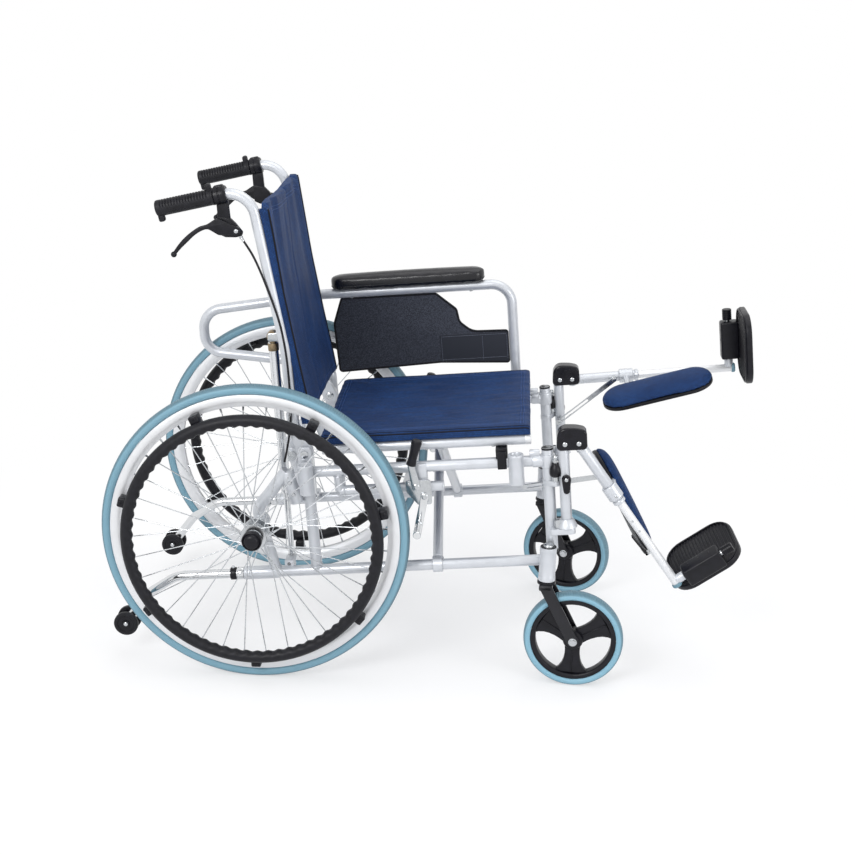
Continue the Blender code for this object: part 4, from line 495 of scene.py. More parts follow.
def tube(path, radius, sides, closed=False):
    """A round bar drawn out along a path; a closed one joins its ends."""
    points = [Vector(point) for point in path]
    count = len(points)
    shape = bmesh.new()

    def heading(i):
        if closed:
            return (points[(i + 1) % count] - points[i - 1]).normalized()
        return (points[min(i + 1, count - 1)] - points[max(i - 1, 0)]).normalized()

    toward = heading(0)
    bmesh.ops.create_circle(shape, segments=sides, radius=radius, matrix=facing(points[0], toward))
    first = last = list(shape.edges)
    if not closed:
        bmesh.ops.edgeloop_fill(shape, edges=first)
    for i in range(1, count):
        grown = bmesh.ops.extrude_edge_only(shape, edges=last)["geom"]
        verts = kind_of(grown, bmesh.types.BMVert)
        last = kind_of(grown, bmesh.types.BMEdge)
        turn = toward.rotation_difference(heading(i)).to_matrix()
        bmesh.ops.translate(shape, verts=verts, vec=points[i] - points[i - 1])
        bmesh.ops.rotate(shape, verts=verts, cent=points[i], matrix=turn)
        toward = heading(i)
    if closed:
        bmesh.ops.bridge_loops(shape, edges=first + last)
    else:
        bmesh.ops.edgeloop_fill(shape, edges=last)
    return ready(shape)


def ease(shape, edges, width, segments):
    """Rounds the edges by a width."""
    bmesh.ops.bevel(
        shape, geom=edges, offset=width, offset_type="OFFSET", segments=segments, profile=0.5, affect="EDGES",
        clamp_overlap=True, material=-1,
    )


def rod(start, end, radius, sides=24, tip=None, edge=0.0):
    """A cylinder or cone between two points, its rims eased by an edge."""
    start, end = Vector(start), Vector(end)
    shape = bmesh.new()
    bmesh.ops.create_cone(
        shape, cap_ends=True, segments=sides, radius1=radius, radius2=radius if tip is None else tip,
        depth=(end - start).length, matrix=facing((start + end) / 2, end - start),
    )
    if edge:
        rims = [e for e in shape.edges if any(len(face.verts) > 4 for face in e.link_faces)]
        ease(shape, rims, edge, 2)
    return ready(shape)


def turned(profile, steps, matrix, closed=True):
    """A (radius, along) line turned about its own z axis; an open line starts and ends on the axis."""
    shape = bmesh.new()
    verts = [shape.verts.new((radius, 0, along)) for radius, along in profile]
    pairs = zip(verts, verts[1:] + verts[:1]) if closed else zip(verts, verts[1:])
    edges = [shape.edges.new(pair) for pair in pairs]
    bmesh.ops.spin(
        shape, geom=verts + edges, cent=(0, 0, 0), axis=(0, 0, 1), angle=2 * math.pi, steps=steps,
        use_merge=True,
    )
    bmesh.ops.remove_doubles(shape, verts=shape.verts, dist=1e-6)
    return moved(shape, matrix)


def block(low, high, edge, matrix=None, segments=2):
    """A box between two corners with eased edges."""
    low, high = Vector(low), Vector(high)
    size = [abs(a - b) for a, b in zip(low, high)]
    shape = bmesh.new()
    spot = Matrix.Translation((low + high) / 2) @ Matrix.Diagonal((*size, 1))
    bmesh.ops.create_cube(shape, size=1, matrix=spot)
    ease(shape, shape.edges, edge, segments)
    return moved(shape, matrix)


def rail_block(side, low, high, edge, segments=2):
    """A box between two (s, out, t) corners of the rails' frame."""
    corners = [(s, SIDES[side] * out, t) for s, out, t in (low, high)]
    return block(*corners, edge, RAILS, segments)


def slab(outline, depth, edge, segments=2, matrix=None, far_only=False):
    """A flat plate from its outline, pushed along a depth, with both rims eased or only the far one."""
    shape = bmesh.new()
    face = shape.faces.new([shape.verts.new(point) for point in outline])
    grown = bmesh.ops.extrude_face_region(shape, geom=[face], use_keep_orig=True)["geom"]
    bmesh.ops.translate(shape, verts=kind_of(grown, bmesh.types.BMVert), vec=Vector(depth))
    if edge:
        far = kind_of(grown, bmesh.types.BMFace)[0]
        rims = list(far.edges) + ([] if far_only else list(face.edges))
        if len(outline) == 4 and not far_only:
            rims = list(shape.edges)
        ease(shape, rims, edge, segments)
    return moved(shape, matrix)


def upright(outline, side, low, high, edge, segments=2):
    """A plate in the rails' plane from its (s, t) outline, between two distances from the middle."""
    return slab([at(side, s, low, t) for s, t in outline], outward(side, high - low), edge, segments)


def inset_plate(outline, low, high, edge=0.0, segments=2, far_only=False):
    """A plate from its (x, z) outline, between two depths along y."""
    return slab([(x, low, z) for x, z in outline], (0, high - low, 0), edge, segments, far_only=far_only)


def pin(side, s, t, low, high, radius, sides=16, edge=0.0):
    """A pin through the rails' plane at (s, t), between two distances from the middle."""
    return rod(at(side, s, low, t), at(side, s, high, t), radius, sides, edge=edge)


def ball(place, radius, sides):
    """A ball at a place."""
    shape = bmesh.new()
    bmesh.ops.create_uvsphere(
        shape, u_segments=sides, v_segments=sides // 2, radius=radius, matrix=Matrix.Translation(place)
    )
    return ready(shape)


def screw(place, direction, radius, height):
    """A domed screw head, as a lathe line."""
    shares = ((1, 0), (1, 0.45), (0.8, 0.85), (0.35, 1), (0, 1))
    line = [(0, 0)] + [(radius * wide, height * tall) for wide, tall in shares]
    return turned(line, 20, facing(place, direction), closed=False)


def hex_nut(place, direction, radius, height):
    """A six-sided nut with eased corners."""
    return rod(place, Vector(place) + Vector(direction).normalized() * height, radius, 6, edge=radius * 0.08)


def weld(place, direction, radius):
    """The bead round the foot of a tube."""
    turns = [2 * math.pi * i / 28 for i in range(28)]
    spot = facing(place, direction)
    line = [spot @ Vector((radius * math.cos(a), radius * math.sin(a), 0)) for a in turns]
    return tube(line, WELD_RADIUS, 8, closed=True)


class Piece:
    """One object in the making: its parts in one mesh, each with its finish."""

    def __init__(self, name):
        self.name = name
        self.shape = bmesh.new()
        self.finishes = []

    def add(self, part, finish, matrix=None):
        """Takes a part in and frees it."""
        if finish not in self.finishes:
            self.finishes.append(finish)
        if matrix:
            bmesh.ops.transform(part, matrix=matrix, verts=part.verts)
            if matrix.determinant() < 0:
                bmesh.ops.reverse_faces(part, faces=part.faces)
        for face in part.faces:
            face.material_index = self.finishes.index(finish)
        carrier = bpy.data.meshes.new("carrier")
        part.to_mesh(carrier)
        part.free()
        self.shape.from_mesh(carrier)
        bpy.data.meshes.remove(carrier)

    def place(self, body, nodes=(), slot=None, crease=38):
        """The finished object, riding on its body, if it has only one, and standing for its nodes."""
        mesh = bpy.data.meshes.new(self.name)
        self.shape.to_mesh(mesh)
        self.shape.free()
        for finish in self.finishes:
            mesh.materials.append(finish if isinstance(finish, bpy.types.Material) else finish_of(finish))
        mesh.shade_smooth()
        mesh.set_sharp_from_angle(angle=math.radians(crease))
        obj = bpy.data.objects.new(self.name, mesh)
        bpy.context.scene.collection.objects.link(obj)
        if body:
            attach(obj, body)
        if nodes:
            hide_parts(*nodes)
        return obj


# Side frames

WELD_RADIUS = 0.0014
RAIL_RADIUS = 0.011
MIDDLE_RADIUS = 0.01
POST_RADIUS = 0.0115
UPPER_T = 0.099
MIDDLE_T = 0.057
LOWER_T = -0.11
RUNG_S = 0.166
MIDDLE_END_S = 0.373
REAR_POST_S = 0.104
POST_S = 0.58
POST_FOOT_T = -0.088
POST_TOP_T = 0.126
LOWER_BACK_S = -0.045
LOWER_FRONT_S = 0.562
CARRIER_HEAD = (0.063, 0.104)
SOCKET_OUT = 0.24
SOCKET_FRONT_S = 0.518
SOCKET_TOP_T = 0.122
SOCKET_BASE_T = 0.061
LUG_OUTS = (0.2085, 0.2195)
BARREL = (0.2205, 0.2915)
LOCK_LEVER_PIVOT = (0.32, 0.066)
SHOE_PIVOT = (0.335, 0.045)
SWING = (0.594, 0.2325)
HANGER_S = 0.611
TIP_AXLE = (-0.299, -0.203)


def run(side, first, last, out=FRAME_OUT):
    """Two ends of a straight tube in the plane of a side frame."""
    return at(side, first[0], out, first[1]), at(side, last[0], out, last[1])


def frame_rails(piece, side):
    """The welded tubes of one side, with their joints, collar, caps and stop."""
    for first, last, radius, sides, edge, finish in (
        ((REAR_POST_S, UPPER_T), (POST_S, UPPER_T), RAIL_RADIUS, 28, 0.0008, "paint"),
        ((RUNG_S, MIDDLE_T), (MIDDLE_END_S, MIDDLE_T), MIDDLE_RADIUS, 28, 0.0008, "paint"),
        ((RUNG_S, MIDDLE_T), (RUNG_S, UPPER_T), MIDDLE_RADIUS, 28, 0.0008, "paint"),
        ((LOWER_BACK_S, LOWER_T), (LOWER_FRONT_S, LOWER_T), RAIL_RADIUS, 28, 0.0008, "paint"),
        ((REAR_POST_S, LOWER_T), (REAR_POST_S, UPPER_T + 0.006), POST_RADIUS, 28, 0.0008, "paint"),
        ((POST_S, POST_FOOT_T), (POST_S, POST_TOP_T), POST_RADIUS, 28, 0.0008, "paint"),
        ((POST_S, UPPER_T - 0.013), (POST_S, UPPER_T + 0.013), 0.0145, 28, 0.0018, "paint"),
        ((POST_S - 0.03, UPPER_T), (POST_S - 0.01, UPPER_T), 0.0128, 24, 0.001, "paint"),
        ((LOWER_BACK_S + 0.0004, LOWER_T), (LOWER_BACK_S + 0.07, LOWER_T), 0.0135, 28, 0.0012, "paint"),
        ((0.545, 0.115), (0.565, 0.115), 0.0075, 16, 0.0015, "paint"),
        ((POST_S, POST_TOP_T - 0.0045), (POST_S, POST_TOP_T), 0.0121, 28, 0.0014, "plastic"),
        ((POST_S, POST_FOOT_T - 0.004), (POST_S, POST_FOOT_T + 0.002), 0.0125, 24, 0.001, "plastic"),
    ):
        piece.add(rod(*run(side, first, last), radius, sides, edge=edge), finish)
    for s, t, direction, radius in (
        (REAR_POST_S, UPPER_T - 0.0105, ABOVE, 0.0125),
        (REAR_POST_S, LOWER_T + 0.0105, ABOVE, 0.0125),
        (RUNG_S, UPPER_T - 0.0105, ABOVE, 0.0105),
        (RUNG_S + 0.0095, MIDDLE_T, AHEAD, 0.0105),
        (POST_S - 0.0135, UPPER_T, AHEAD, 0.0118),
        (MIDDLE_END_S - 0.001, MIDDLE_T, AHEAD, 0.0102),
    ):
        piece.add(weld(at(side, s, FRAME_OUT, t), direction, radius), "paint")


def axle_carrier(piece, side):
    """The curved carrier of the rear wheel, its stub, web, boss and axle."""
    route = [CARRIER_HEAD, (0.05, 0.089), (0.024, 0.058), (0, 0.03), (0, 0)]
    bend = smooth_path([at(side, s, FRAME_OUT, t) for s, t in route], 26)
    piece.add(tube(bend, 0.0125, 28), "paint")
    piece.add(rod(*run(side, (0, 0), (0.022, LOWER_T)), RAIL_RADIUS), "paint")
    piece.add(rod(*run(side, CARRIER_HEAD, (0.079, 0.037)), 0.014, 28, edge=0.002), "paint")
    web = [(0.056, 0.1), (REAR_POST_S, UPPER_T), (REAR_POST_S, UPPER_T - 0.03), (0.063, 0.07)]
    piece.add(upright(web, side, FRAME_OUT - 0.004, FRAME_OUT + 0.004, 0.001), "paint")
    for low, high, radius, finish in (
        (FRAME_OUT - 0.014, FRAME_OUT + 0.014, 0.017, "paint"),
        (FRAME_OUT - 0.02, FRAME_OUT - 0.0145, 0.011, "zinc"),
        (FRAME_OUT + 0.009, 0.2615, 0.01, "zinc"),
        (FRAME_OUT + 0.011, 0.3, 0.006, "zinc"),
    ):
        piece.add(pin(side, 0, 0, low, high, radius, 24, 0.001), finish)
    piece.add(weld(at(side, 0.0015, FRAME_OUT, 0.0155), (0, 0, 1), 0.0128), "paint")
    piece.add(weld(at(side, 0.0195, FRAME_OUT, LOWER_T + 0.012), (0, 0, 1), 0.0118), "paint")
    for s, t in ((0.069, 0.083), (0.074, 0.058)):
        piece.add(screw(at(side, s, FRAME_OUT + 0.0135, t), outward(side), 0.0042, 0.003), "zinc")


def pivot_lugs(piece, side):
    """The lug that the cane turns on, with its bolt and nut, and the lug and pin of the strut's foot."""
    s, t = RECLINE
    low, high = LUG_OUTS
    half = 0.0135
    lug = [(s - half, UPPER_T), (s - half, 0.15), (s + half, 0.15), (s + half, UPPER_T)]
    piece.add(upright(rounded(lug, 0.006, 4), side, low, high, 0.0012), "paint")
    piece.add(pin(side, s, t, 0.1885, high + 0.001, 0.005), "zinc")
    piece.add(hex_nut(at(side, s, high - 0.0005, t), outward(side), 0.0085, 0.0045), "zinc")
    piece.add(screw(at(side, s, 0.1935, t), outward(side, -1), 0.009, 0.004), "zinc")
    s, t = strut_foot()
    half = 0.009
    lug = [(s - half, LOWER_T), (s - half, t + 0.008), (s + half, t + 0.008), (s + half, LOWER_T)]
    piece.add(upright(lug, side, 0.186, FRAME_OUT, 0.0015), "paint")
    piece.add(pin(side, s, t, 0.1685, FRAME_OUT, 0.004), "zinc")
    piece.add(screw(at(side, s, 0.1692, t), outward(side, -1), 0.0068, 0.003), "zinc")


def lock_bracket(piece, side):
    """The clamp block on the rails and the pressed plate of the wheel lock."""
    piece.add(rail_block(side, (0.318, 0.206, 0.051), (0.342, 0.2305, 0.108), 0.003, 3), "paint")
    piece.add(rail_block(side, (0.319, 0.218, 0.052), (0.341, 0.238, 0.076), 0.002), "paint")
    plate = [(0.299, 0.055), (0.299, 0.078), (0.349, 0.078), (0.349, 0.027), (0.321, 0.027)]
    piece.add(upright(rounded(plate, 0.005, 4), side, 0.236, 0.24, 0.0008), "zinc")
    for s, t in (LOCK_LEVER_PIVOT, SHOE_PIVOT):
        piece.add(pin(side, s, t, 0.238, 0.2458, 0.003), "zinc")
        piece.add(screw(at(side, s, 0.2445, t), outward(side), 0.0062, 0.0022), "zinc")
    for s, out, t, way, radius, height in (
        (0.305, 0.2398, 0.07, 1, 0.003, 0.0008),
        (0.342, 0.2398, 0.034, 1, 0.003, 0.0008),
        (0.33, 0.2065, 0.0625, -1, 0.0055, 0.004),
        (0.33, 0.2065, 0.0965, -1, 0.0055, 0.004),
    ):
        piece.add(screw(at(side, s, out, t), outward(side, way), radius, height), "zinc")


def armrest_sockets(piece, side):
    """The two open sleeves outside the rails."""
    low, high = SOCKET_BASE_T, SOCKET_TOP_T
    line = [
        (0.0116, low), (0.0142, low), (0.015, low + 0.001), (0.015, high - 0.006), (0.0156, high - 0.005),
        (0.0156, high - 0.001), (0.015, high), (0.0122, high), (0.0116, high - 0.001),
    ]
    for s in (REAR_POST_S, SOCKET_FRONT_S):
        spot = RAILS @ Matrix.Translation((s, SIDES[side] * SOCKET_OUT, 0))
        piece.add(turned(line, 32, spot), "paint")
        piece.add(rail_block(side, (s - 0.008, 0.222, 0.085), (s + 0.008, 0.2284, 0.112), 0.0015), "paint")


def hanger_pegs(piece, side):
    """The two brackets and pegs that the leg rest hangs on."""
    s, out = SWING
    upper = link_outline((POST_S, FRAME_OUT), 0.0125, (s, out), 0.0062)
    near, far = FRAME_OUT - 0.01, HANGER_OUT + 0.0164
    lower = [(POST_S - 0.004, near), (0.6274, near), (0.6274, far), (POST_S - 0.004, far)]
    for outline, t, depth, edge, top, peg_edge in (
        (upper, 0.05, 0.0105, 0.001, 0.081, 0.001),
        (rounded(lower, 0.009, 5), -0.0485, 0.0115, 0.0015, -0.024, 0.0),
    ):
        piece.add(slab([at(side, p, q, t) for p, q in outline], ABOVE * depth, edge), "paint")
        piece.add(rod(at(side, s, out, t), at(side, s, out, top), 0.0045, 16, edge=peg_edge), "zinc")


def caster_barrel(piece, side):
    """The bearing barrel with its seals, and the tubes that run into it."""
    low, high = BARREL
    centre = Vector((CHAIR_X + SWIVEL_X, SIDES[side] * SWIVEL_OUT, 0))
    end = (high - low) / 2
    half = [(0.0064, end), (0.016, end), (0.017, end - 0.001), (0.017, end - 0.009), (0.0164, end - 0.01)]
    piece.add(turned(both_sides(half, (low + high) / 2), 36, Matrix.Translation(centre)), "paint")
    middle = centre + Vector((0, 0, (low + high) / 2))
    piece.add(rod(at(side, LOWER_FRONT_S - 0.004, FRAME_OUT, LOWER_T), middle, RAIL_RADIUS), "paint")
    piece.add(rod(at(side, POST_S, FRAME_OUT, POST_FOOT_T + 0.004), middle, 0.0112), "paint")
    seal = both_sides([(0.0068, 0.0005), (0.0158, 0.0005)], high + 0.0001)
    piece.add(turned(seal, 32, Matrix.Translation(centre)), "plastic")


def seat_saddle(piece, side):
    """The moulded block that the seat rail drops into."""
    piece.add(rail_block(side, (0.479, 0.192, 0.105), (0.502, 0.223, 0.1285), 0.002), "plastic")
    piece.add(rail_block(side, (0.4815, 0.2225, 0.088), (0.4995, 0.2295, 0.124), 0.0015), "plastic")


def side_frame(side):
    """One welded side frame."""
    piece = Piece(f"frame_{side}")
    for part in (
        frame_rails, axle_carrier, pivot_lugs, lock_bracket, armrest_sockets, hanger_pegs, caster_barrel,
        seat_saddle,
    ):
        part(piece, side)
    piece.place(f"{side}_frame", [f"side_frame_{side}"], "silver_paint")


def anti_tip_tube(side):
    """The bent chrome tube behind the lower rail, with its clip and end eye."""
    piece = Piece(f"tipper_{side}")
    s, t = LOWER_BACK_S, LOWER_T
    bends = [(s + 0.058, t), (-0.186, t), (-0.245, -0.143), TIP_AXLE]
    path = rounded_path([at(side, p, FRAME_OUT, q) for p, q in bends], (0.06, 0.06), 12)
    piece.add(tube(path, 0.0095, 26), "chrome")
    piece.add(rod(*run(side, (s - 0.028, t), (s - 0.016, t)), 0.0128, edge=0.001), "plastic")
    piece.add(rod(*run(side, (s - 0.014, t), (s - 0.0006, t)), 0.0128, edge=0.001), "chrome")
    piece.add(rod(*run(side, (s - 0.022, t + 0.01), (s - 0.022, t + 0.0165)), 0.0035, 16, edge=0.001), "zinc")
    piece.add(pin(side, *TIP_AXLE, FRAME_OUT - 0.0105, FRAME_OUT + 0.0105, 0.0105, 24, 0.001), "chrome")
    piece.place(f"{side}_frame", [f"anti_tip_tube_{side}"], "chrome")


def anti_tip_roller(side):
    """Twin rollers, each with a rubber tread on a moulded centre, on one axle."""
    piece = Piece(f"roller_{side}")
    s, t = TIP_AXLE
    wide = 0.01
    tread = ring(0.019, 0.025, 0.0004, wide - 0.0004, 0.0015, 0.0016)
    hollow = (
        (0.0042, 0.0002), (0.0075, 0.0002), (0.0085, 0.002), (0.0165, 0.002), (0.0175, 0.0008),
        (0.0192, 0.0008),
    )
    core = both_sides([(radius, wide / 2 - along) for radius, along in hollow], wide / 2)
    for low, face, way in ((-0.021, -0.021, -1), (0.011, 0.021, 1)):
        spot = facing(at(side, s, FRAME_OUT + low, t), outward(side))
        piece.add(turned(tread, 40, spot), "rubber")
        piece.add(turned(core, 36, spot), "plastic")
        head = at(side, s, FRAME_OUT + face - way * 0.0004, t)
        piece.add(screw(head, outward(side, way), 0.0042, 0.0016), "zinc")
    piece.add(pin(side, s, t, FRAME_OUT - 0.0125, FRAME_OUT + 0.0125, 0.004), "zinc")
    piece.place(f"{side}_tip_roller", [f"anti_tip_roller_{side}"], "black_rubber")


# Rear wheels

TYRE_HEIGHT = 0.0176
RIM_INNER = WHEEL_RADIUS - TYRE_HEIGHT - 0.0254
PUSH_RIM_RADIUS = RIM_INNER - 0.017
PUSH_RIM_OUT = 0.3275
PUSH_RIM_TUBE = 0.0125
TAB_ANGLES = (115, 64, 14.5, -36.5, -88.5, -142, 166)
TAB_OUTS = (0.2961, 0.3225)
SPOKES = 36
SPOKE_LEAN = 42
FLANGE_OUTS = (0.268, 0.305)
FLANGE_RADIUS = 0.0228
SCALLOPS = 70


def axle_frame(side):
    """z runs outwards along the rear axle from the chair's middle plane."""
    return facing(at(side, 0, 0, 0), outward(side))


def rear_tyre(side):
    """The cast tyre: full walls and a slightly crowned tread."""
    half = [
        (WHEEL_RADIUS - TYRE_HEIGHT, 0.0098), (0.2888, 0.0118), (0.2925, 0.0135), (0.2965, 0.0139),
        (0.3002, 0.0126), (0.303, 0.0098), (0.3045, 0.0058), (WHEEL_RADIUS, 0.0016),
    ]
    finish = solid_tyre(f"rear_{side}", Matrix.Translation(at(side, 0, 0, 0)), WHEEL_RADIUS, 0.016)
    piece = Piece(f"tyre_{side}")
    piece.add(turned(both_sides(half, WHEEL_OUT), 128, axle_frame(side)), finish)
    piece.place(f"{side}_wheel", [f"rear_tyre_{side}"], "blue_grey_tyre")


def wheel_point(side, radius, turn, out):
    """A place on the rear wheel from its distance and angle round the axle."""
    return at(side, 0, out, 0) + Vector((radius * math.cos(turn), 0, radius * math.sin(turn)))


def spokes(piece, side):
    """Spokes crossed in pairs from alternate flanges, each with its nipple at the rim."""
    gauge = bpy.context.scene.wheelchair_sizes.spoke_radius
    for i in range(SPOKES):
        way = 1 if i % 4 < 2 else -1
        at_rim = 2 * math.pi * (i + 0.5) / SPOKES
        at_hub = at_rim + math.radians(way * SPOKE_LEAN)
        start = wheel_point(side, FLANGE_RADIUS, at_hub, FLANGE_OUTS[i % 2] + way * MM)
        end = wheel_point(side, RIM_INNER + 0.002, at_rim, WHEEL_OUT)
        piece.add(rod(start, end, gauge, 8), "wire")
        along = (start - end).normalized()
        piece.add(rod(end - along * 0.001, end + along * 0.011, 0.0024, 8, tip=0.0018), "zinc")


def rear_wheel(side):
    """Box-section rim, spokes, flanged hub and the black cap over the bearing."""
    rim = [
        (RIM_INNER, 0.0042), (0.2624, 0.0062), (0.266, 0.0092), (0.27, 0.0114), (0.2725, 0.0121),
        (0.2755, 0.0124), (0.285, 0.0124), (0.2862, 0.0118), (0.2868, 0.0106),
    ]
    hub = [
        (0.0066, 0.262), (0.015, 0.262), (0.016, 0.263), (0.016, 0.2652), (0.0252, 0.2658),
        (0.0262, 0.2672), (0.0262, 0.269), (0.0252, 0.2704), (0.017, 0.2712), (0.0156, 0.274),
        (0.0148, 0.279), (0.0148, 0.294), (0.0156, 0.299), (0.017, 0.3018), (0.0252, 0.3026),
        (0.0262, 0.304), (0.0262, 0.3058), (0.0252, 0.3072), (0.0168, 0.3078), (0.016, 0.3092),
        (0.016, 0.319), (0.0066, 0.319),
    ]
    cap = [
        (0, 0.3175), (0.0186, 0.3178), (0.0198, 0.319), (0.02, 0.3275), (0.0194, 0.329), (0.018, 0.3298),
        (0.017, 0.329), (0.016, 0.3284), (0.0152, 0.329), (0.0142, 0.332), (0.012, 0.3348),
        (0.0086, 0.3358), (0, 0.336),
    ]
    spot = axle_frame(side)
    piece = Piece(f"wheel_{side}")
    piece.add(turned(both_sides(rim, WHEEL_OUT), 128, spot), "alloy")
    piece.add(turned(hub, 40, spot), "zinc")
    piece.add(turned(cap, 40, spot, closed=False), "plastic")
    spokes(piece, side)
    piece.place(f"{side}_wheel", [f"rear_wheel_{side}"], "silver_paint")


def push_rim(side):
    """The moulded hand ring with finger scallops on its inner side, and its seven feet."""
    turns = [2 * math.pi * i / 18 for i in range(18)]
    radius, out = PUSH_RIM_RADIUS, PUSH_RIM_OUT
    line = [(radius + PUSH_RIM_TUBE * math.cos(a), out + PUSH_RIM_TUBE * math.sin(a)) for a in turns]
    shape = turned(line, SCALLOPS * 6, axle_frame(side))
    centre = at(side, 0, 0, 0)
    depth = bpy.context.scene.wheelchair_sizes.scallop_depth
    for vert in shape.verts:
        offset = vert.co - centre
        reach = math.hypot(offset.x, offset.z)
        inner = max(0.0, (radius - reach) / PUSH_RIM_TUBE)
        dip = 0.5 - 0.5 * math.cos(SCALLOPS * math.atan2(offset.z, offset.x))
        push = 1 + depth * dip * inner / reach
        vert.co = centre + Vector((offset.x * push, offset.y, offset.z * push))
    piece = Piece(f"hand_ring_{side}")
    piece.add(shape, "rubber")
    low, high = (SIDES[side] * out for out in TAB_OUTS)
    for angle in TAB_ANGLES:
        spot = Matrix.Translation(centre) @ Matrix.Rotation(-math.radians(angle), 4, "Y")
        piece.add(block((0.249, low, -0.0098), (0.2716, high, 0.0098), 0.0032, spot, 3), "plastic")
        piece.add(screw(spot @ Vector((0.2665, high, 0)), outward(side), 0.0036, 0.0014), "plastic")
    piece.place(f"{side}_wheel", [f"push_rim_{side}"], "black_rubber")


# Casters

CASTER_RIM_RADIUS = 0.0857
FORK_INNER = 0.018
FORK_OUTER = 0.022
FORK_CROWN = (0.2035, 0.2155)


def caster_centre(side):
    """The caster wheel's frame, y along its axle."""
    return swivel_matrix(side) @ Matrix.Translation((CASTER_TRAIL, 0, CASTER_RADIUS))


def caster_fork(side):
    """Bent steel fork with its stem, bearing cap and axle bolt."""
    low, high = FORK_CROWN
    foot = Vector((CASTER_TRAIL, CASTER_RADIUS))
    lean = Vector((CASTER_TRAIL, CASTER_RADIUS - low)).normalized()
    square = Vector((-lean.y, lean.x))
    crown = [Vector((0, high)) + square * way * 0.0135 for way in (1, -1)]
    outline = [(corner.x, min(corner.y, high)) for corner in crown]
    for wide, beyond in ((-0.0118, 0), (-0.0085, 0.0078), (0.0085, 0.0078), (0.0118, 0)):
        outline.append(tuple(foot + square * wide + lean * beyond))
    outline = rounded(outline, 0.0035, 4)
    m = swivel_matrix(side)
    piece = Piece(f"fork_{side}")
    for y in (-FORK_OUTER, FORK_INNER):
        blade = [(x, y, z) for x, z in outline]
        piece.add(slab(blade, (0, FORK_OUTER - FORK_INNER, 0), 0.0008, 2, m), "enamel")
    piece.add(block((-0.0135, -FORK_OUTER, low), (0.0135, FORK_OUTER, high), 0.0035, m, 3), "enamel")
    cup = [
        (0, high - 0.001), (0.0185, high - 0.001), (0.0188, high + 0.001), (0.0182, 0.2198),
        (0.0175, 0.2202), (0, 0.2202),
    ]
    cap = [(0, 0.2921), (0.0102, 0.2921), (0.0102, 0.295), (0.0088, 0.2968), (0.007, 0.2975), (0, 0.2978)]
    piece.add(turned(cup, 36, m, closed=False), "plastic")
    piece.add(turned(cap, 32, m, closed=False), "zinc")
    piece.add(rod(m @ Vector((0, 0, low)), m @ Vector((0, 0, 0.2985)), 0.006, 20), "zinc")
    spot = caster_centre(side)
    piece.add(rod(spot @ Vector((0, -0.0225, 0)), spot @ Vector((0, 0.0225, 0)), 0.005, 16), "zinc")
    for way in (-1, 1):
        face = spot @ Vector((0, way * (FORK_OUTER - 0.0002), 0))
        across = spot.to_3x3() @ Vector((0, way, 0))
        piece.add(rod(face, face + across * 0.0014, 0.0086, 24, edge=0.0004), "zinc")
        piece.add(hex_nut(face + across * 0.0012, across, 0.0072, 0.0038), "zinc")
    piece.place(f"{side}_fork", [f"caster_fork_{side}"], "black_plastic")


def caster_tyre(side):
    """The caster's cast tyre, paler than the rear one as the photograph shows it."""
    half = [
        (CASTER_RIM_RADIUS + 0.0004, 0.0112), (0.088, 0.0134), (0.0915, 0.0148), (0.0945, 0.0147),
        (0.0972, 0.013), (0.0991, 0.0096), (0.0999, 0.005), (CASTER_RADIUS, 0.0012),
    ]
    centre = caster_centre(side)
    finish = solid_tyre(f"caster_{side}", centre, CASTER_RADIUS, 0.013, 1.22)
    piece = Piece(f"caster_tread_{side}")
    piece.add(turned(both_sides(half), 96, centre @ OUTWARDS), finish)
    piece.place(f"{side}_caster", [f"caster_tyre_{side}"], "blue_grey_tyre")


def caster_hub(side):
    """The moulded wheel: a rim with a lip, three flared spokes and a bossed hub."""
    rim = [
        (0.0755, 0.008), (0.0762, 0.01), (0.078, 0.0116), (0.08, 0.0122), (0.0842, 0.0122),
        (0.0855, 0.0116), (CASTER_RIM_RADIUS, 0.0104),
    ]
    hub = [
        (0.0056, 0.0166), (0.012, 0.0168), (0.0132, 0.016), (0.0138, 0.014), (0.0188, 0.0132),
        (0.0202, 0.0112), (0.0206, 0.007),
    ]
    widths = (
        (0.013, 0.016), (0.024, 0.015), (0.034, 0.0152), (0.046, 0.017), (0.056, 0.0205), (0.065, 0.0265),
        (0.0742, 0.037),
    )
    spoke = [(reach, -wide) for reach, wide in widths] + list(reversed(widths))
    rib = [(0.018, -0.0016), (0.073, -0.0016), (0.073, 0.0016), (0.018, 0.0016)]
    m = caster_centre(side)
    piece = Piece(f"caster_wheel_{side}")
    piece.add(turned(both_sides(rim), 72, m @ OUTWARDS), "plastic")
    piece.add(turned(both_sides(hub), 48, m @ OUTWARDS), "plastic")
    for angle in (30, 150, 270):
        turn = m @ Matrix.Rotation(-math.radians(angle), 4, "Y")
        for outline, half, edge, segments in ((spoke, 0.0072, 0.0022, 2), (rib, 0.0088, 0.0007, 1)):
            piece.add(inset_plate(outline, -half, half, edge, segments), "plastic", turn)
    piece.place(f"{side}_caster", [f"caster_hub_{side}"], "black_plastic")


# Cross brace and seat

BRACE_S = 0.36
BRACE_PITCH = 0.022
SEAT_RAIL_T = 0.14
SEAT_S = (0.136, 0.549)
SEAT_EDGE = 0.2115
SEAT_TOP_T = 0.172
SEAT_UNDER_T = 0.1518
# The radius of the fold over a rail, and the share of the cloth's width that it takes.
SEAT_HEM = (0.0135, 0.05)
SLEEVE_RADII = (0.0116, 0.0155)
STITCH_RADIUS = 0.00055
THREAD_LIFT = 0.0003
SWELL_FRAMES = 20


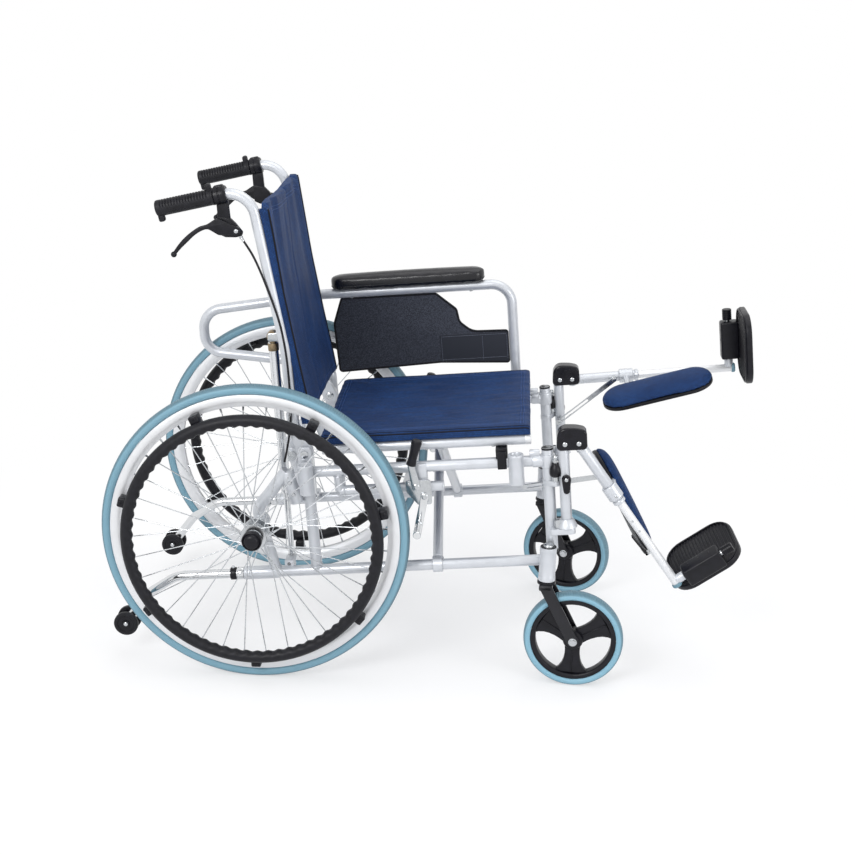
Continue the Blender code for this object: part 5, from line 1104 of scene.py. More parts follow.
def cross_arm(side, letter):
    """One arm of the X with its sleeve on the lower rail and its seat rail."""
    other = "left" if side == "right" else "right"
    s = BRACE_S + SIDES[side] * BRACE_PITCH / 2
    foot, head = at(side, s, FRAME_OUT, LOWER_T), at(other, s, CANE_OUT, SEAT_RAIL_T)
    along = (head - foot).normalized()
    piece = Piece(f"brace_{letter}")
    piece.add(rod(foot + along * 0.0135, head, 0.01), "paint")
    piece.add(turned(ring(*SLEEVE_RADII, -0.0096, 0.0096, 0.0008), 32, facing(foot, AHEAD)), "paint")
    piece.add(weld(foot + along * 0.016, along, 0.0106), "paint")
    piece.add(weld(head - along * 0.0115, along, 0.0108), "paint")
    rail = run(other, (SEAT_S[0], SEAT_RAIL_T), (SEAT_S[1], SEAT_RAIL_T), CANE_OUT)
    piece.add(rod(*rail, RAIL_RADIUS, 28, edge=0.001), "paint")
    for end, way in zip(rail, (-1, 1)):
        inner, outer = end - AHEAD * way * 0.012, end + AHEAD * way * 0.0006
        piece.add(rod(inner, outer, 0.0113, 28, edge=0.0016), "alloy")
    for share in (0.18, 0.5, 0.82):
        spot = at(other, SEAT_S[0] + share * (SEAT_S[1] - SEAT_S[0]), CANE_OUT, SEAT_RAIL_T - 0.0104)
        piece.add(screw(spot, -ABOVE, 0.0042, 0.0022), "zinc")
    piece.place(f"cross_arm_{letter}", [f"cross_arm_{letter}"], "silver_paint")


def cross_pin():
    """The bolt through the middle of the X, with its head and nut."""
    t = LOWER_T + FRAME_OUT * (SEAT_RAIL_T - LOWER_T) / (FRAME_OUT + CANE_OUT)
    centre = at("left", BRACE_S, 0, t)
    half = BRACE_PITCH / 2 + 0.01
    piece = Piece("brace_bolt")
    piece.add(rod(centre - AHEAD * (half + 0.002), centre + AHEAD * (half + 0.002), 0.005, 20), "zinc")
    piece.add(hex_nut(centre + AHEAD * (half + 0.0006), AHEAD, 0.0088, 0.003), "zinc")
    piece.add(screw(centre - AHEAD * (half + 0.0006), -AHEAD, 0.0088, 0.0028), "zinc")
    piece.place("cross_arm_a", ["cross_pin"], "zinc")


def cloth_slab(columns, rows, top, under, size, wall):
    """A closed cloth pad over a grid of shares from 0 to 1, with a map of its cut size in metres.

    top and under give the places of its two faces, and wall is the height of the side between them.
    """
    shape = bmesh.new()
    bmesh.ops.create_grid(shape, x_segments=columns, y_segments=rows, size=0.5)
    upper = list(shape.verts)
    grown = bmesh.ops.extrude_face_region(shape, geom=list(shape.faces), use_keep_orig=True)["geom"]
    lower = set(kind_of(grown, bmesh.types.BMVert))
    shares = {vert: (vert.co.x + 0.5, vert.co.y + 0.5) for vert in shape.verts}
    weave = shape.loops.layers.uv.new("weave")
    for face in shape.faces:
        side = any(vert in lower for vert in face.verts) and any(vert not in lower for vert in face.verts)
        for loop in face.loops:
            drop = wall if side and loop.vert in lower else 0.0
            sizes = zip(shares[loop.vert], size)
            loop[weave].uv = [a * cut + drop * ((a > 0.999) - (a < 0.001)) for a, cut in sizes]
    for verts, place in ((upper, top), (lower, under)):
        for vert in verts:
            vert.co = place(*shares[vert])
    return ready(shape)


def wrapped(b, half, radius, share):
    """How far across a cloth is at b, and how far it has fallen where it turns down over its edge."""
    flat = half - radius
    near = min(b, 1 - b)
    side = -1 if b < 0.5 else 1
    if near >= share:
        return side * flat * (0.5 - near) / (0.5 - share), 0.0
    turn = (1 - near / share) * math.pi / 2
    return side * (flat + radius * math.sin(turn)), radius * (1 - math.cos(turn))


def swelled(shape, stand, foot, pressure, cap):
    """The closed shape blown up a little as cloth over foam; what lies below the foot in its stand is held.

    No point moves further than the cap.
    """
    scene = bpy.context.scene
    mesh = bpy.data.meshes.new("foam")
    shape.to_mesh(mesh)
    shape.free()
    obj = bpy.data.objects.new("foam", mesh)
    scene.collection.objects.link(obj)
    even = obj.modifiers.new("even", "REMESH")
    even.mode = "VOXEL"
    even.voxel_size = 0.004
    obj.data = bpy.data.meshes.new_from_object(obj.evaluated_get(bpy.context.evaluated_depsgraph_get()))
    obj.modifiers.clear()
    into = stand.inverted()
    starts = [vert.co.copy() for vert in obj.data.vertices]
    held = obj.vertex_groups.new(name="held")
    held.add([i for i, co in enumerate(starts) if (into @ co).z < foot], 1.0, "REPLACE")
    cloth = obj.modifiers.new("cloth", "CLOTH")
    cloth.settings.quality = 6
    cloth.settings.mass = 0.3
    cloth.settings.tension_stiffness = 8.0
    cloth.settings.compression_stiffness = 8.0
    cloth.settings.vertex_group_mass = "held"
    cloth.settings.use_pressure = True
    cloth.settings.uniform_pressure_force = pressure
    cloth.settings.effector_weights.gravity = 0.0
    cloth.point_cache.frame_start = 1
    cloth.point_cache.frame_end = SWELL_FRAMES
    for number in range(1, SWELL_FRAMES + 1):
        scene.frame_set(number)
    blown = bpy.data.meshes.new_from_object(obj.evaluated_get(bpy.context.evaluated_depsgraph_get()))
    obj.modifiers.clear()
    scene.frame_set(1)
    for vert, start in zip(blown.vertices, starts):
        step = vert.co - start
        if step.length > cap:
            vert.co = start + step * (cap / step.length)
    shape = bmesh.new()
    shape.from_mesh(blown)
    for _ in range(4):
        bmesh.ops.smooth_vert(
            shape, verts=shape.verts, factor=0.5, use_axis_x=True, use_axis_y=True, use_axis_z=True
        )
    bpy.data.objects.remove(obj)
    return ready(shape)


def drawn_finer(made):
    """The cushion with its faces divided once."""
    finer = made.modifiers.new("finer", "SUBSURF")
    finer.levels = finer.render_levels = 1
    return made


def ripple(place, size, height):
    """A smooth bump or hollow of the cloth, the same on every run."""
    return noise.noise(Vector(place) / size) * height


def stitches(points, pitch, radius):
    """A row of raised stitches along a line of places."""
    lengths = [0.0]
    for a, b in zip(points, points[1:]):
        lengths.append(lengths[-1] + (b - a).length)

    def along(distance):
        k = 1
        while k < len(lengths) - 1 and lengths[k] < distance:
            k += 1
        span = lengths[k] - lengths[k - 1]
        share = (distance - lengths[k - 1]) / span if span else 0.0
        return points[k - 1].lerp(points[k], min(1.0, share))

    shape = bmesh.new()
    for i in range(int(lengths[-1] / pitch)):
        start, end = along(i * pitch), along((i + 0.68) * pitch)
        spot = facing((start + end) / 2, end - start)
        bmesh.ops.create_cone(
            shape, cap_ends=True, segments=4, radius1=radius, radius2=radius, depth=(end - start).length,
            matrix=spot,
        )
    return ready(shape)


def sewing(piece, face, lift, count, upright_rows, level_rows, margin):
    """Rows of stitches on a cloth's face, some at a share across it and some at a share along it."""
    pitch = bpy.context.scene.wheelchair_sizes.stitch_pitch
    shares = [i / count for i in range(count + 1)]
    rows = [[face(0.01 + 0.98 * share, b) + lift for share in shares] for b in upright_rows]
    rows += [[face(a, margin + (1 - 2 * margin) * share) + lift for share in shares] for a in level_rows]
    for row in rows:
        piece.add(stitches(row, pitch, STITCH_RADIUS), "thread")


def piping(piece, face, count, b, radius, sides):
    """A bound edge along a cloth's face at a share across it."""
    line = [face(0.004 + 0.992 * i / count, b) for i in range(count + 1)]
    piece.add(tube(line, radius, sides), "binding")


def seat_top(a, b):
    """The seat cloth's upper face: a runs from the back to the front, b from the right to the left."""
    low, high = SEAT_S
    y, fall = wrapped(b, SEAT_EDGE, *SEAT_HEM)
    across = y / SEAT_EDGE
    inner = 1 - min(1.0, abs(across)) ** 4
    s = low + (high - low) * a
    t = SEAT_TOP_T - 0.0012 - 0.009 * (1 - abs(across) ** 2.2) * (0.55 + 0.45 * math.sin(math.pi * a)) - fall
    t += ripple((s, y * 4.0, 0.3), 0.075, 0.0026) * inner
    # Soft creases fan out from the two rear corners.
    for corner in (-1, 1):
        apart = y - corner * SEAT_EDGE
        reach = math.hypot(s - low, apart * 0.9)
        spread = math.atan2(abs(apart), s - low + 0.01)
        t += 0.003 * math.exp(-reach / 0.13) * math.cos(spread * 9) * inner * min(1.0, reach / 0.03)
    end = min(a, 1 - a)
    t -= 0.003 * max(0.0, 1 - end / 0.022) ** 2
    s += ripple((0.7, y, 0.1), 0.045, 0.0022) * max(0.0, 1 - end / 0.08)
    return RAILS @ Vector((min(max(s, low - MM), high + MM), y, t))


def seat_under(a, b):
    """The face that lies on the seat rails."""
    low, high = SEAT_S
    y, _ = wrapped(b, SEAT_EDGE, *SEAT_HEM)
    return RAILS @ Vector((low + (high - low) * a, y, SEAT_UNDER_T + MM * abs(math.sin(math.pi * a))))


def seat_sling():
    """The seat cloth over its two rails, with sewn hems, side stitching and bound side edges."""
    piece = Piece("seat_cloth")
    piece.add(cloth_slab(110, 120, seat_top, seat_under, (0.413, 0.44), 0.005), "cloth")
    sides, ends = (0.072, 0.092, 0.908, 0.928), (0.03, 0.044, 0.956, 0.97)
    sewing(piece, seat_top, ABOVE * THREAD_LIFT, 60, sides, ends, 0.06)
    for b, radius in ((0.034, 0.0009), (0.02, 0.0014), (0.98, 0.0014), (0.966, 0.0009)):
        piping(piece, seat_top, 60, b, radius, 8)
    made = piece.place(None, ["seat_sling"], "navy_cloth", crease=60)
    middle = seat_top(0.5, 0.5)
    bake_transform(made)


# Reclining back

CANE_RADIUS = 0.0105
CANE_FOOT = (0.083, 0.188)
CANE_WAIST = (0.083, 0.345)
CANE_SHOULDER = (0.0455, 0.6625)
HANDLE_END = (-0.132, 0.637)
BACK_HALF_WIDTH = 0.205
BACK_TOP_T = 0.627
BACK_HEM = (0.009, 0.035)
BACK_FRONT = ((0.124, 0.195), (0.117, 0.256), (0.106, 0.342), (0.093, 0.457), (0.079, 0.627))
LEVER_PIVOT = (0.014, 0.586)
LEVER_OUT = CANE_OUT + 0.0092
LEVER_BACK, LEVER_FACE = LEVER_OUT - 0.0036, LEVER_OUT + 0.0034
LEVER_UPPER = (
    (0.014, 0.594), (-0.006, 0.606), (-0.019, 0.612), (-0.029, 0.6085), (-0.041, 0.602), (-0.056, 0.5985),
    (-0.071, 0.5905), (-0.086, 0.58), (-0.099, 0.568), (-0.112, 0.553),
)
LEVER_LOWER = (
    (-0.109, 0.5465), (-0.096, 0.559), (-0.082, 0.5705), (-0.067, 0.5825), (-0.052, 0.5905),
    (-0.04, 0.5925), (-0.029, 0.586), (-0.019, 0.58), (-0.005, 0.5795), (0.014, 0.578),
)
HOUSING_NOSE = (0.0234, 0.5767)
CABLE_ROUTE = (
    (0.0205, 0.2, 0.5712), (0.042, 0.204, 0.53), (0.0624, 0.2112, 0.47), (0.08, 0.2155, 0.4),
    (0.086, 0.2155, 0.33), (0.085, 0.2155, 0.26), (0.08, 0.2155, 0.2), (0.07, 0.2165, 0.155),
    (0.0605, 0.217, 0.1225),
)
STRUT_LENGTH = 0.325
STRUT_BORE = 0.19
ROD_LENGTH = 0.178
GRIP_RINGS = 110


def handle_frame(side):
    """z runs forwards along the handle from its rear end, and x stands off it upwards."""
    start, end = (at(side, s, CANE_OUT, t) for s, t in (HANDLE_END, CANE_SHOULDER))
    ahead = (end - start).normalized()
    above = Vector((-ahead.z, 0, ahead.x))
    turn = Matrix((above, ahead.cross(above), ahead)).transposed().to_4x4()
    return Matrix.Translation(start) @ turn


def line_at(place, line):
    """The value at a place along a line of (value, place) points."""
    for (v0, p0), (v1, p1) in zip(line, line[1:]):
        if place <= p1 or (v1, p1) == line[-1]:
            return v0 + (v1 - v0) * (place - p0) / (p1 - p0)


def back_cane(side):
    """The bent cane with its cast knuckle and the lug that carries the strut's head."""
    corners = [at(side, s, CANE_OUT, t) for s, t in (HANDLE_END, CANE_SHOULDER, CANE_WAIST, CANE_FOOT)]
    piece = Piece(f"cane_{side}")
    piece.add(tube(rounded_path(corners, (0.049, 0.15), 14), CANE_RADIUS, 28), "paint")
    s, t = CANE_FOOT
    knuckle = link_outline(RECLINE, 0.016, (s, t + 0.004), 0.0115, 12)
    piece.add(upright(knuckle, side, 0.1935, 0.208, 0.002, 3), "paint")
    piece.add(rod(*run(side, (s, t + 0.002), (s, t + 0.03), CANE_OUT), 0.0122, 28, edge=0.0012), "paint")
    s, t = STRUT_HEAD
    centre = line_at(t, (CANE_WAIST, CANE_SHOULDER))
    lug = [(s - 0.007, t - 0.008), (centre, t - 0.008), (centre, t + 0.008), (s - 0.007, t + 0.008)]
    piece.add(upright(rounded(lug, 0.004, 4), side, 0.1862, 0.1948, 0.001), "zinc")
    piece.add(pin(side, s, t, 0.1676, 0.19, 0.004), "zinc")
    piece.add(screw(at(side, s, 0.1682, t), outward(side, -1), 0.0064, 0.0022), "zinc")
    piece.place(f"{side}_cane", [f"back_cane_{side}"], "silver_paint")


def hand_grip(side):
    """The moulded grip: rings on its upper half, a thumb guard in front and a hooked lip behind."""
    line = [(0, -0.0044), (0.013, -0.0044), (0.015, -0.003), (0.0157, -0.0008)]
    line += [(0.0157, 0.002 + 0.00095 * i) for i in range(GRIP_RINGS)]
    line += [(0.0164, 0.1068), (0.0164, 0.1096), (0.015, 0.111), (0.0112, 0.111)]
    line += [(0.0112, 0.0004), (0, 0.0004)]
    shape = turned(line, 40, None, closed=False)
    for vert in shape.verts:
        reach = math.hypot(vert.co.x, vert.co.y)
        if reach > 0.0155 and 0.006 < vert.co.z < 0.1:
            upper = min(1.0, max(0.0, vert.co.x / reach * 2.2 + 0.35))
            groove = max(0.0, math.sin(2 * math.pi * vert.co.z / 0.0057)) * 0.0016 * upper
            vert.co.x *= 1 - groove / reach
            vert.co.y *= 1 - groove / reach
    spot = handle_frame(side)
    piece = Piece(f"grip_{side}")
    piece.add(shape, "rubber", spot)
    piece.add(block((0.008, -0.009, 0.0985), (0.0262, 0.009, 0.1085), 0.0042, spot, 4), "rubber")
    piece.add(block((-0.0262, -0.0072, -0.0042), (-0.009, 0.0072, 0.008), 0.004, spot, 4), "rubber")
    piece.place(f"{side}_cane", [f"hand_grip_{side}"], "black_rubber")


def lever_housing(side):
    """The ringed clamp on the handle, its neck and body, the cable's ferrule and the lever's screw."""
    spot = handle_frame(side)
    low, high = 0.1114, 0.1352
    clamp = [
        (0.0109, low), (0.016, low), (0.0174, low + 0.0012), (0.0176, low + 0.0086),
        (0.0164, low + 0.0096), (0.0164, low + 0.0108), (0.0176, low + 0.0118), (0.0174, high - 0.003),
        (0.0158, high), (0.0109, high),
    ]
    piece = Piece(f"lever_clamp_{side}")
    piece.add(turned(clamp, 36, spot), "plastic")
    piece.add(block((0.01, -0.0074, low + 0.002), (0.0196, 0.0074, high - 0.003), 0.0032, spot, 3), "plastic")
    s, t = HOUSING_NOSE
    neck = [(-0.0195, 0.64), (0.003, 0.643), (0.0035, 0.606), (-0.02, 0.606)]
    body = [
        (-0.0205, 0.616), (0.003, 0.61), (0.012, 0.6), (s + 0.0012, t + 0.005), (s - 0.001, t - 0.002),
        (0.011, 0.5725), (-0.009, 0.574), (-0.0205, 0.58),
    ]
    for outline, corner, low, high, edge in (
        (neck, 0.0022, -0.0068, 0.0046, 0.0018),
        (body, 0.0036, -0.0074, 0.0048, 0.0022),
    ):
        plate = upright(rounded(outline, corner, 3), side, CANE_OUT + low, CANE_OUT + high, edge, 3)
        piece.add(plate, "plastic")
    piece.add(pin(side, *LEVER_PIVOT, 0.2, 0.213, 0.0025), "zinc")
    piece.add(screw(at(side, LEVER_PIVOT[0], 0.2126, LEVER_PIVOT[1]), outward(side), 0.004, 0.002), "zinc")
    start = at(side, s - 0.006, CANE_OUT, t)
    toward = (at(side, *CABLE_ROUTE[1]) - start).normalized()
    for first, last, radius, finish in ((0.0, 0.008, 0.0036, "zinc"), (0.007, 0.015, 0.0029, "chrome")):
        piece.add(rod(start + toward * first, start + toward * last, radius, 16, edge=0.0005), finish)
    piece.place(f"{side}_cane", [f"lever_housing_{side}"], "black_plastic")


def recline_lever(side):
    """The cast blade: broad where it leaves the housing, thin and curved to its ball end."""
    upper, lower = (
        smooth_path([at(side, s, LEVER_BACK, t) for s, t in line], 36) for line in (LEVER_UPPER, LEVER_LOWER)
    )
    piece = Piece(f"lever_{side}")
    piece.add(slab(upper + lower, outward(side, LEVER_FACE - LEVER_BACK), 0.002, 3), "plastic")
    piece.add(ball(at(side, -0.1112, LEVER_OUT, 0.5485), 0.0058, 18), "plastic")
    eye = [
        (0.003, LEVER_OUT - 0.0042), (0.0076, LEVER_OUT - 0.0042), (0.0084, LEVER_OUT - 0.0034),
        (0.0084, LEVER_OUT + 0.0028), (0.0074, LEVER_OUT + 0.0036), (0.003, LEVER_OUT + 0.0036),
    ]
    pivot = at(side, LEVER_PIVOT[0], 0, LEVER_PIVOT[1])
    piece.add(turned(eye, 28, facing(pivot, outward(side))), "plastic")
    piece.place(f"{side}_recline_lever", [f"recline_lever_{side}"], "black_plastic")


def release_cable(side):
    """The release cable from the housing along the cane to the axle carrier."""
    path = smooth_path([at(side, *place) for place in CABLE_ROUTE], 64)
    piece = Piece(f"cable_{side}")
    piece.add(tube(path, 0.0022, 14), "rubber")
    made = piece.place(None, [f"release_cable_{side}"], "black_plastic")
    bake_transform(made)


def strut(side):
    """The locking strut: a chrome cylinder hung from the cane, and the rod that slides in it."""
    head = at(side, STRUT_HEAD[0], STRUT_OUT, STRUT_HEAD[1])
    s, t = strut_foot()
    foot = at(side, s, STRUT_OUT, t)
    down = (foot - head).normalized()
    end = STRUT_LENGTH
    barrel = [
        (0, 0.013), (0.008, 0.013), (0.0102, 0.0145), (0.0105, 0.016), (0.0105, 0.029), (0.0095, 0.0305),
        (0.0095, end - 0.001), (0.0088, end), (0.0068, end), (0.0068, end - STRUT_BORE),
        (0, end - STRUT_BORE),
    ]
    piece = Piece(f"strut_{side}")
    piece.add(turned(barrel, 32, facing(head, down), closed=False), "chrome")
    piece.add(rod(head + down * 0.0142, head + down * 0.03, 0.01065, 28, edge=0.001), "bronze")
    eye = ring(0.0046, 0.0105, -0.0085, 0.0085, 0.0008, 0.0009)
    piece.add(turned(eye, 28, facing(head, outward(side))), "bronze")
    piece.add(rod(head + down * 0.0085, head + down * 0.0145, 0.0078, 20), "bronze")
    piece.place(f"{side}_strut_cylinder", [f"strut_cylinder_{side}"], "chrome")
    piece = Piece(f"strut_piston_{side}")
    piece.add(rod(foot - down * 0.007, foot - down * ROD_LENGTH, 0.0062, 24, edge=0.0006), "chrome")
    eye = ring(0.0046, 0.0095, -0.0085, 0.0085, 0.0008)
    piece.add(turned(eye, 28, facing(foot, outward(side))), "zinc")
    piece.place(f"{side}_strut_rod", [f"strut_rod_{side}"], "chrome")


# Heights of the top edge over its mean at shares across it.
BACK_TOP_EDGE = (
    (-0.002, 0.0), (-0.004, 0.035), (-0.006, 0.065), (0.003, 0.1), (0.004, 0.2), (0.001, 0.38),
    (0.000, 0.55), (0.003, 0.75), (0.004, 0.88), (-0.002, 0.925), (0.004, 0.95), (0.005, 1.0),
)
# Soft upright folds: place across at the top, drift towards the foot, width and height, in shares and metres.
BACK_FOLDS = (
    (0.2, -0.02, 0.045, -0.0032),
    (0.34, -0.06, 0.07, 0.0042),
    (0.5, -0.1, 0.06, 0.005),
    (0.585, -0.12, 0.03, -0.006),
    (0.72, -0.06, 0.07, 0.003),
    (0.86, 0.00, 0.04, -0.0026),
)


def back_height(a, b):
    """The height of the back cloth at (a up, b across), under a top edge that isn't quite straight."""
    foot = BACK_FRONT[0][1]
    return foot + (BACK_TOP_T - foot + line_at(b, BACK_TOP_EDGE)) * a


def back_face(a, b):
    """The back cloth's front face, with its upright folds, turned down over the canes at both edges."""
    y, fall = wrapped(b, BACK_HALF_WIDTH, *BACK_HEM)
    across = y / BACK_HALF_WIDTH
    t = back_height(a, b)
    s = line_at(min(t, BACK_TOP_T), BACK_FRONT) - 0.0006
    inner = 1 - min(1.0, abs(across)) ** 6
    fold = ripple((0.4, across * 2.4, a * 1.6), 0.55, 0.004) * (0.5 + 0.5 * a)
    for place, drift, width, height in BACK_FOLDS:
        apart = (b - place - drift * (1 - a)) / width
        fold += height * math.exp(-apart * apart) * (0.25 + 0.75 * a)
    fold += ripple((a * 5.0, b * 1.2, 0.8), 0.6, 0.0022) * (1 - 0.5 * a)
    hollow = 0.0075 * (1 - abs(across) ** 2.4) * math.sin(math.pi * min(1.0, 0.15 + 0.85 * a))
    s += (min(fold, 0.0035) - 0.0035) * inner - hollow - fall
    s -= 0.0022 * max(0.0, 1 - min(a, 1 - a) / 0.012) ** 2
    return RAILS @ Vector((s, y, t))


def back_rear(a, b):
    """The face that lies on the canes."""
    y, _ = wrapped(b, BACK_HALF_WIDTH, *BACK_HEM)
    t = back_height(a, b)
    front = line_at(min(t, BACK_TOP_T), BACK_FRONT)
    cane = CANE_WAIST[0] if t <= CANE_WAIST[1] else line_at(t, (CANE_WAIST, CANE_SHOULDER))
    s = max(cane + CANE_RADIUS + 0.0008, front - 0.0226)
    return RAILS @ Vector((min(s, front - 0.016), y, t))


def back_sling():
    """The back cloth with its sewn hems, its piped sides and its loose top edge."""
    piece = Piece("back_cloth")
    piece.add(cloth_slab(120, 130, back_face, back_rear, (0.432, 0.425), 0.01), "cloth")
    sides, ends = (0.064, 0.084, 0.916, 0.936), (0.035, 0.946, 0.962)
    sewing(piece, back_face, AHEAD * THREAD_LIFT, 70, sides, ends, 0.05)
    for b in (0.026, 0.974):
        piping(piece, back_face, 70, b, 0.0022, 10)
    made = piece.place("right_cane", ["back_sling"], "navy_cloth", crease=60)
    # The canes end 0.122 m apart in the folded chair, from 0.4 m.
    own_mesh(made)


# Wheel locks

LOCK_OUTS = (0.2406, 0.2446)
LOCK_GRIP = ((0.313, 0.111), (0.33, 0.163))
LOCK_GAP = 0.0064
SHOE_RADIUS = 0.008
SHOE_T = -0.016


def lock_lever(side):
    """The flat steel lever and its black grip."""
    piece = Piece(f"lock_handle_{side}")
    blade = link_outline(LOCK_LEVER_PIVOT, 0.009, LOCK_GRIP[0], 0.0065, 12)
    piece.add(upright(blade, side, *LOCK_OUTS, 0.0008), "zinc")
    start, end = run(side, *LOCK_GRIP, out=sum(LOCK_OUTS) / 2)
    length = (end - start).length
    grip = [
        (0, 0), (0.0085, 0), (0.0098, 0.001), (0.0096, 0.006), (0.0086, 0.012), (0.0086, 0.024),
        (0.0094, 0.036), (0.0104, 0.045), (0.0105, 0.049), (0.0096, 0.0525), (0.007, length - 0.0006),
        (0, length),
    ]
    piece.add(turned(grip, 32, facing(start, end - start), closed=False), "plastic")
    piece.place(f"{side}_lock_lever", [f"lock_lever_{side}"], "black_plastic")


def lock_shoe(side):
    """The swinging arm and the ribbed peg that presses on the tyre."""
    s = math.sqrt((WHEEL_RADIUS + LOCK_GAP + SHOE_RADIUS) ** 2 - SHOE_T**2)
    piece = Piece(f"lock_pad_{side}")
    arm = link_outline(SHOE_PIVOT, 0.0075, (s, SHOE_T), SHOE_RADIUS, 12)
    piece.add(upright(arm, side, *LOCK_OUTS, 0.0008), "chrome")
    line = [(0, 0.2446), (0.0072, 0.2446)]
    for i in range(9):
        start = 0.247 + i * 0.0054
        line += [(0.008, start), (0.008, start + 0.0034), (0.0074, start + 0.004), (0.0074, start + 0.0048)]
    line += [(0.008, 0.2956), (0.0072, 0.297), (0, 0.297)]
    piece.add(turned(line, 28, facing(at(side, s, 0, SHOE_T), outward(side)), closed=False), "chrome")
    piece.place(f"{side}_lock_shoe", [f"lock_shoe_{side}"], "chrome")


# Armrest

ARM_RADIUS = 0.011
ARM_TOP_T = 0.358
PAD_S = (0.12, 0.464)
PAD_HALF_WIDTH = 0.026
PAD_THICKNESS = 0.03
PANEL_OUTLINE = (
    (0.14, 0.3466), (0.352, 0.3466), (0.396, 0.308), (0.401, 0.278), (0.428, 0.254), (0.506, 0.252),
    (0.506, 0.18), (0.354, 0.187), (0.123, 0.179), (0.119, 0.29),
)
PANEL_RADII = (0.004, 0.01, 0.012, 0.024, 0.04, 0.004, 0.004, 0.012, 0.006, 0.03)


def armrest_tube():
    """The armrest's one bent tube, with the screws of its pad."""
    corners = [
        (SOCKET_FRONT_S, 0.066), (SOCKET_FRONT_S, ARM_TOP_T), (0.1, ARM_TOP_T), (-0.172, 0.336),
        (-0.176, 0.244), (REAR_POST_S, 0.196), (REAR_POST_S, 0.066),
    ]
    corners = [at("left", s, SOCKET_OUT, t) for s, t in corners]
    piece = Piece("arm_tube")
    piece.add(tube(rounded_path(corners, (0.045, 0.3, 0.045, 0.043, 0.034), 14), ARM_RADIUS, 28), "paint")
    for s in (0.165, 0.43):
        piece.add(screw(at("left", s, SOCKET_OUT, ARM_TOP_T - 0.0104), -ABOVE, 0.0042, 0.0024), "zinc")
    piece.place("armrest", ["armrest_tube"], "silver_paint")


def pad_place(a, b, lift):
    """A place on the arm pad before it swells, between its base and its crown."""
    low, high = PAD_S
    x, y = 2 * a - 1, 2 * b - 1
    length = (high - low) / 2 - 0.002
    corner = max(0.0, abs(x) * length - (length - 0.024)) / 0.024
    half = max(0.002, (PAD_HALF_WIDTH - 0.0015) * math.sqrt(max(0.0, 1 - corner**2.2)))
    base = ARM_TOP_T + ARM_RADIUS + 0.0006
    crown = PAD_THICKNESS + 0.0005 - 0.008 * abs(y) ** 3 - 0.005 * max(0.0, (abs(x) - 0.82) / 0.18) ** 2
    return RAILS @ Vector(((low + high) / 2 + x * length, SOCKET_OUT + half * y, base + crown * lift))


def pad_crown(a, b):
    """The arm pad's upper face."""
    return pad_place(a, b, 1.0)


def pad_base(a, b):
    """The arm pad's lower face."""
    return pad_place(a, b, 0.0)


def arm_pad():
    """The vinyl pad, swelled over its foam, with the welt round its foot."""
    foot = ARM_TOP_T + ARM_RADIUS
    shape = cloth_slab(120, 28, pad_crown, pad_base, (0.344, 0.052), 0.02)
    shape = swelled(shape, RAILS, foot + 0.008, 1.8, 0.004)
    skin = BVHTree.FromBMesh(shape)
    piece = Piece("arm_cushion")
    piece.add(shape, "vinyl")
    made = drawn_finer(piece.place("armrest", ["arm_pad"], "black_vinyl", crease=70))
    welt = Piece("arm_cushion_welt")
    corners = [(PAD_S[0], -0.03), (PAD_S[1], -0.03), (PAD_S[1], 0.03), (PAD_S[0], 0.03)]
    loop = [Vector((s, SOCKET_OUT + y, foot + 0.007)) for s, y in rounded(corners, 0.026, 10)]
    # The long sides get as many points as they need to follow the skin.
    line = []
    for p, q in zip(loop, loop[1:] + loop[:1]):
        count = 8 if (q - p).length > 0.05 else 1
        line += [skin.find_nearest(RAILS @ p.lerp(q, i / 8))[0] for i in range(count)]
    welt.add(tube(line, 0.0011, 8, closed=True), "vinyl")
    welt.place("armrest", [], "black_vinyl")


def side_panel():
    """The panel with its bound edge, and the plain strap that closes it round the front post."""
    piece = Piece("arm_panel")
    outline = rounded(PANEL_OUTLINE, PANEL_RADII, 8)
    piece.add(upright(outline, "left", SOCKET_OUT - 0.0022, SOCKET_OUT + 0.0022, 0.0006), "panel")
    places = [Vector(place) for place in outline]
    inset = [place + (Vector((0.32, 0.26)) - place).normalized() * 0.0024 for place in places]
    piece.add(tube([at("left", p.x, SOCKET_OUT, p.y) for p in inset], 0.003, 10, closed=True), "binding")
    strap = [(0.354, 0.1895), (0.354, 0.25), (0.5055, 0.25), (0.5055, 0.183)]
    strap = rounded(strap, 0.003, 3)
    piece.add(upright(strap, "left", SOCKET_OUT - 0.003, SOCKET_OUT + 0.003, 0.0007), "webbing")
    rows = [((s, 0.19), (s, 0.247), 12) for s in (0.357, 0.448, 0.502)]
    rows += [((0.357, t), (0.502, t), 20) for t in (0.1935, 0.246)]
    for first, last, count in rows:
        start, end = run("left", first, last, SOCKET_OUT - 0.0031)
        points = [start.lerp(end, i / count) for i in range(count + 1)]
        piece.add(stitches(points, 0.0036, 0.0006), "pale_thread")
    piece.place("armrest", ["side_panel"], "black_vinyl", crease=50)


# Leg rests

HANGER_RADIUS = 0.011
CAP = (0.5975, 0.658, 0.125, 0.172)
CAP_STEP = (0.6275, 0.152)
BAR_Y = (HANGER_OUT - 0.2045, HANGER_OUT - 0.201)
STUD = (HANGER_S, 0.048)
LATCH = (0.614, 0.0675)
LATCH_Y = HANGER_OUT - 0.2475
LEG_TRAVEL = math.radians(60)
FOOT_AXIS_U = 0.345
FOOT_TURNS = {"right": math.radians(13), "left": 0.0}
FOOT_CORNER = 0.042
CALF_TURNS = {"right": math.radians(10), "left": math.radians(9)}
CALF_TILTS = {"right": math.radians(-8), "left": math.radians(10.5)}
CALF_SIZE = (0.24, 0.096, 0.021)
CALF_CENTRE = (0.179, 0.097, 0.009)
CALF_CLAMP_U = 0.119
CALF_SPINE = 0.073
CALF_REACH = 0.0485
CALF_BOARD_TOP = -0.003
CALF_HEIGHT = 0.0205


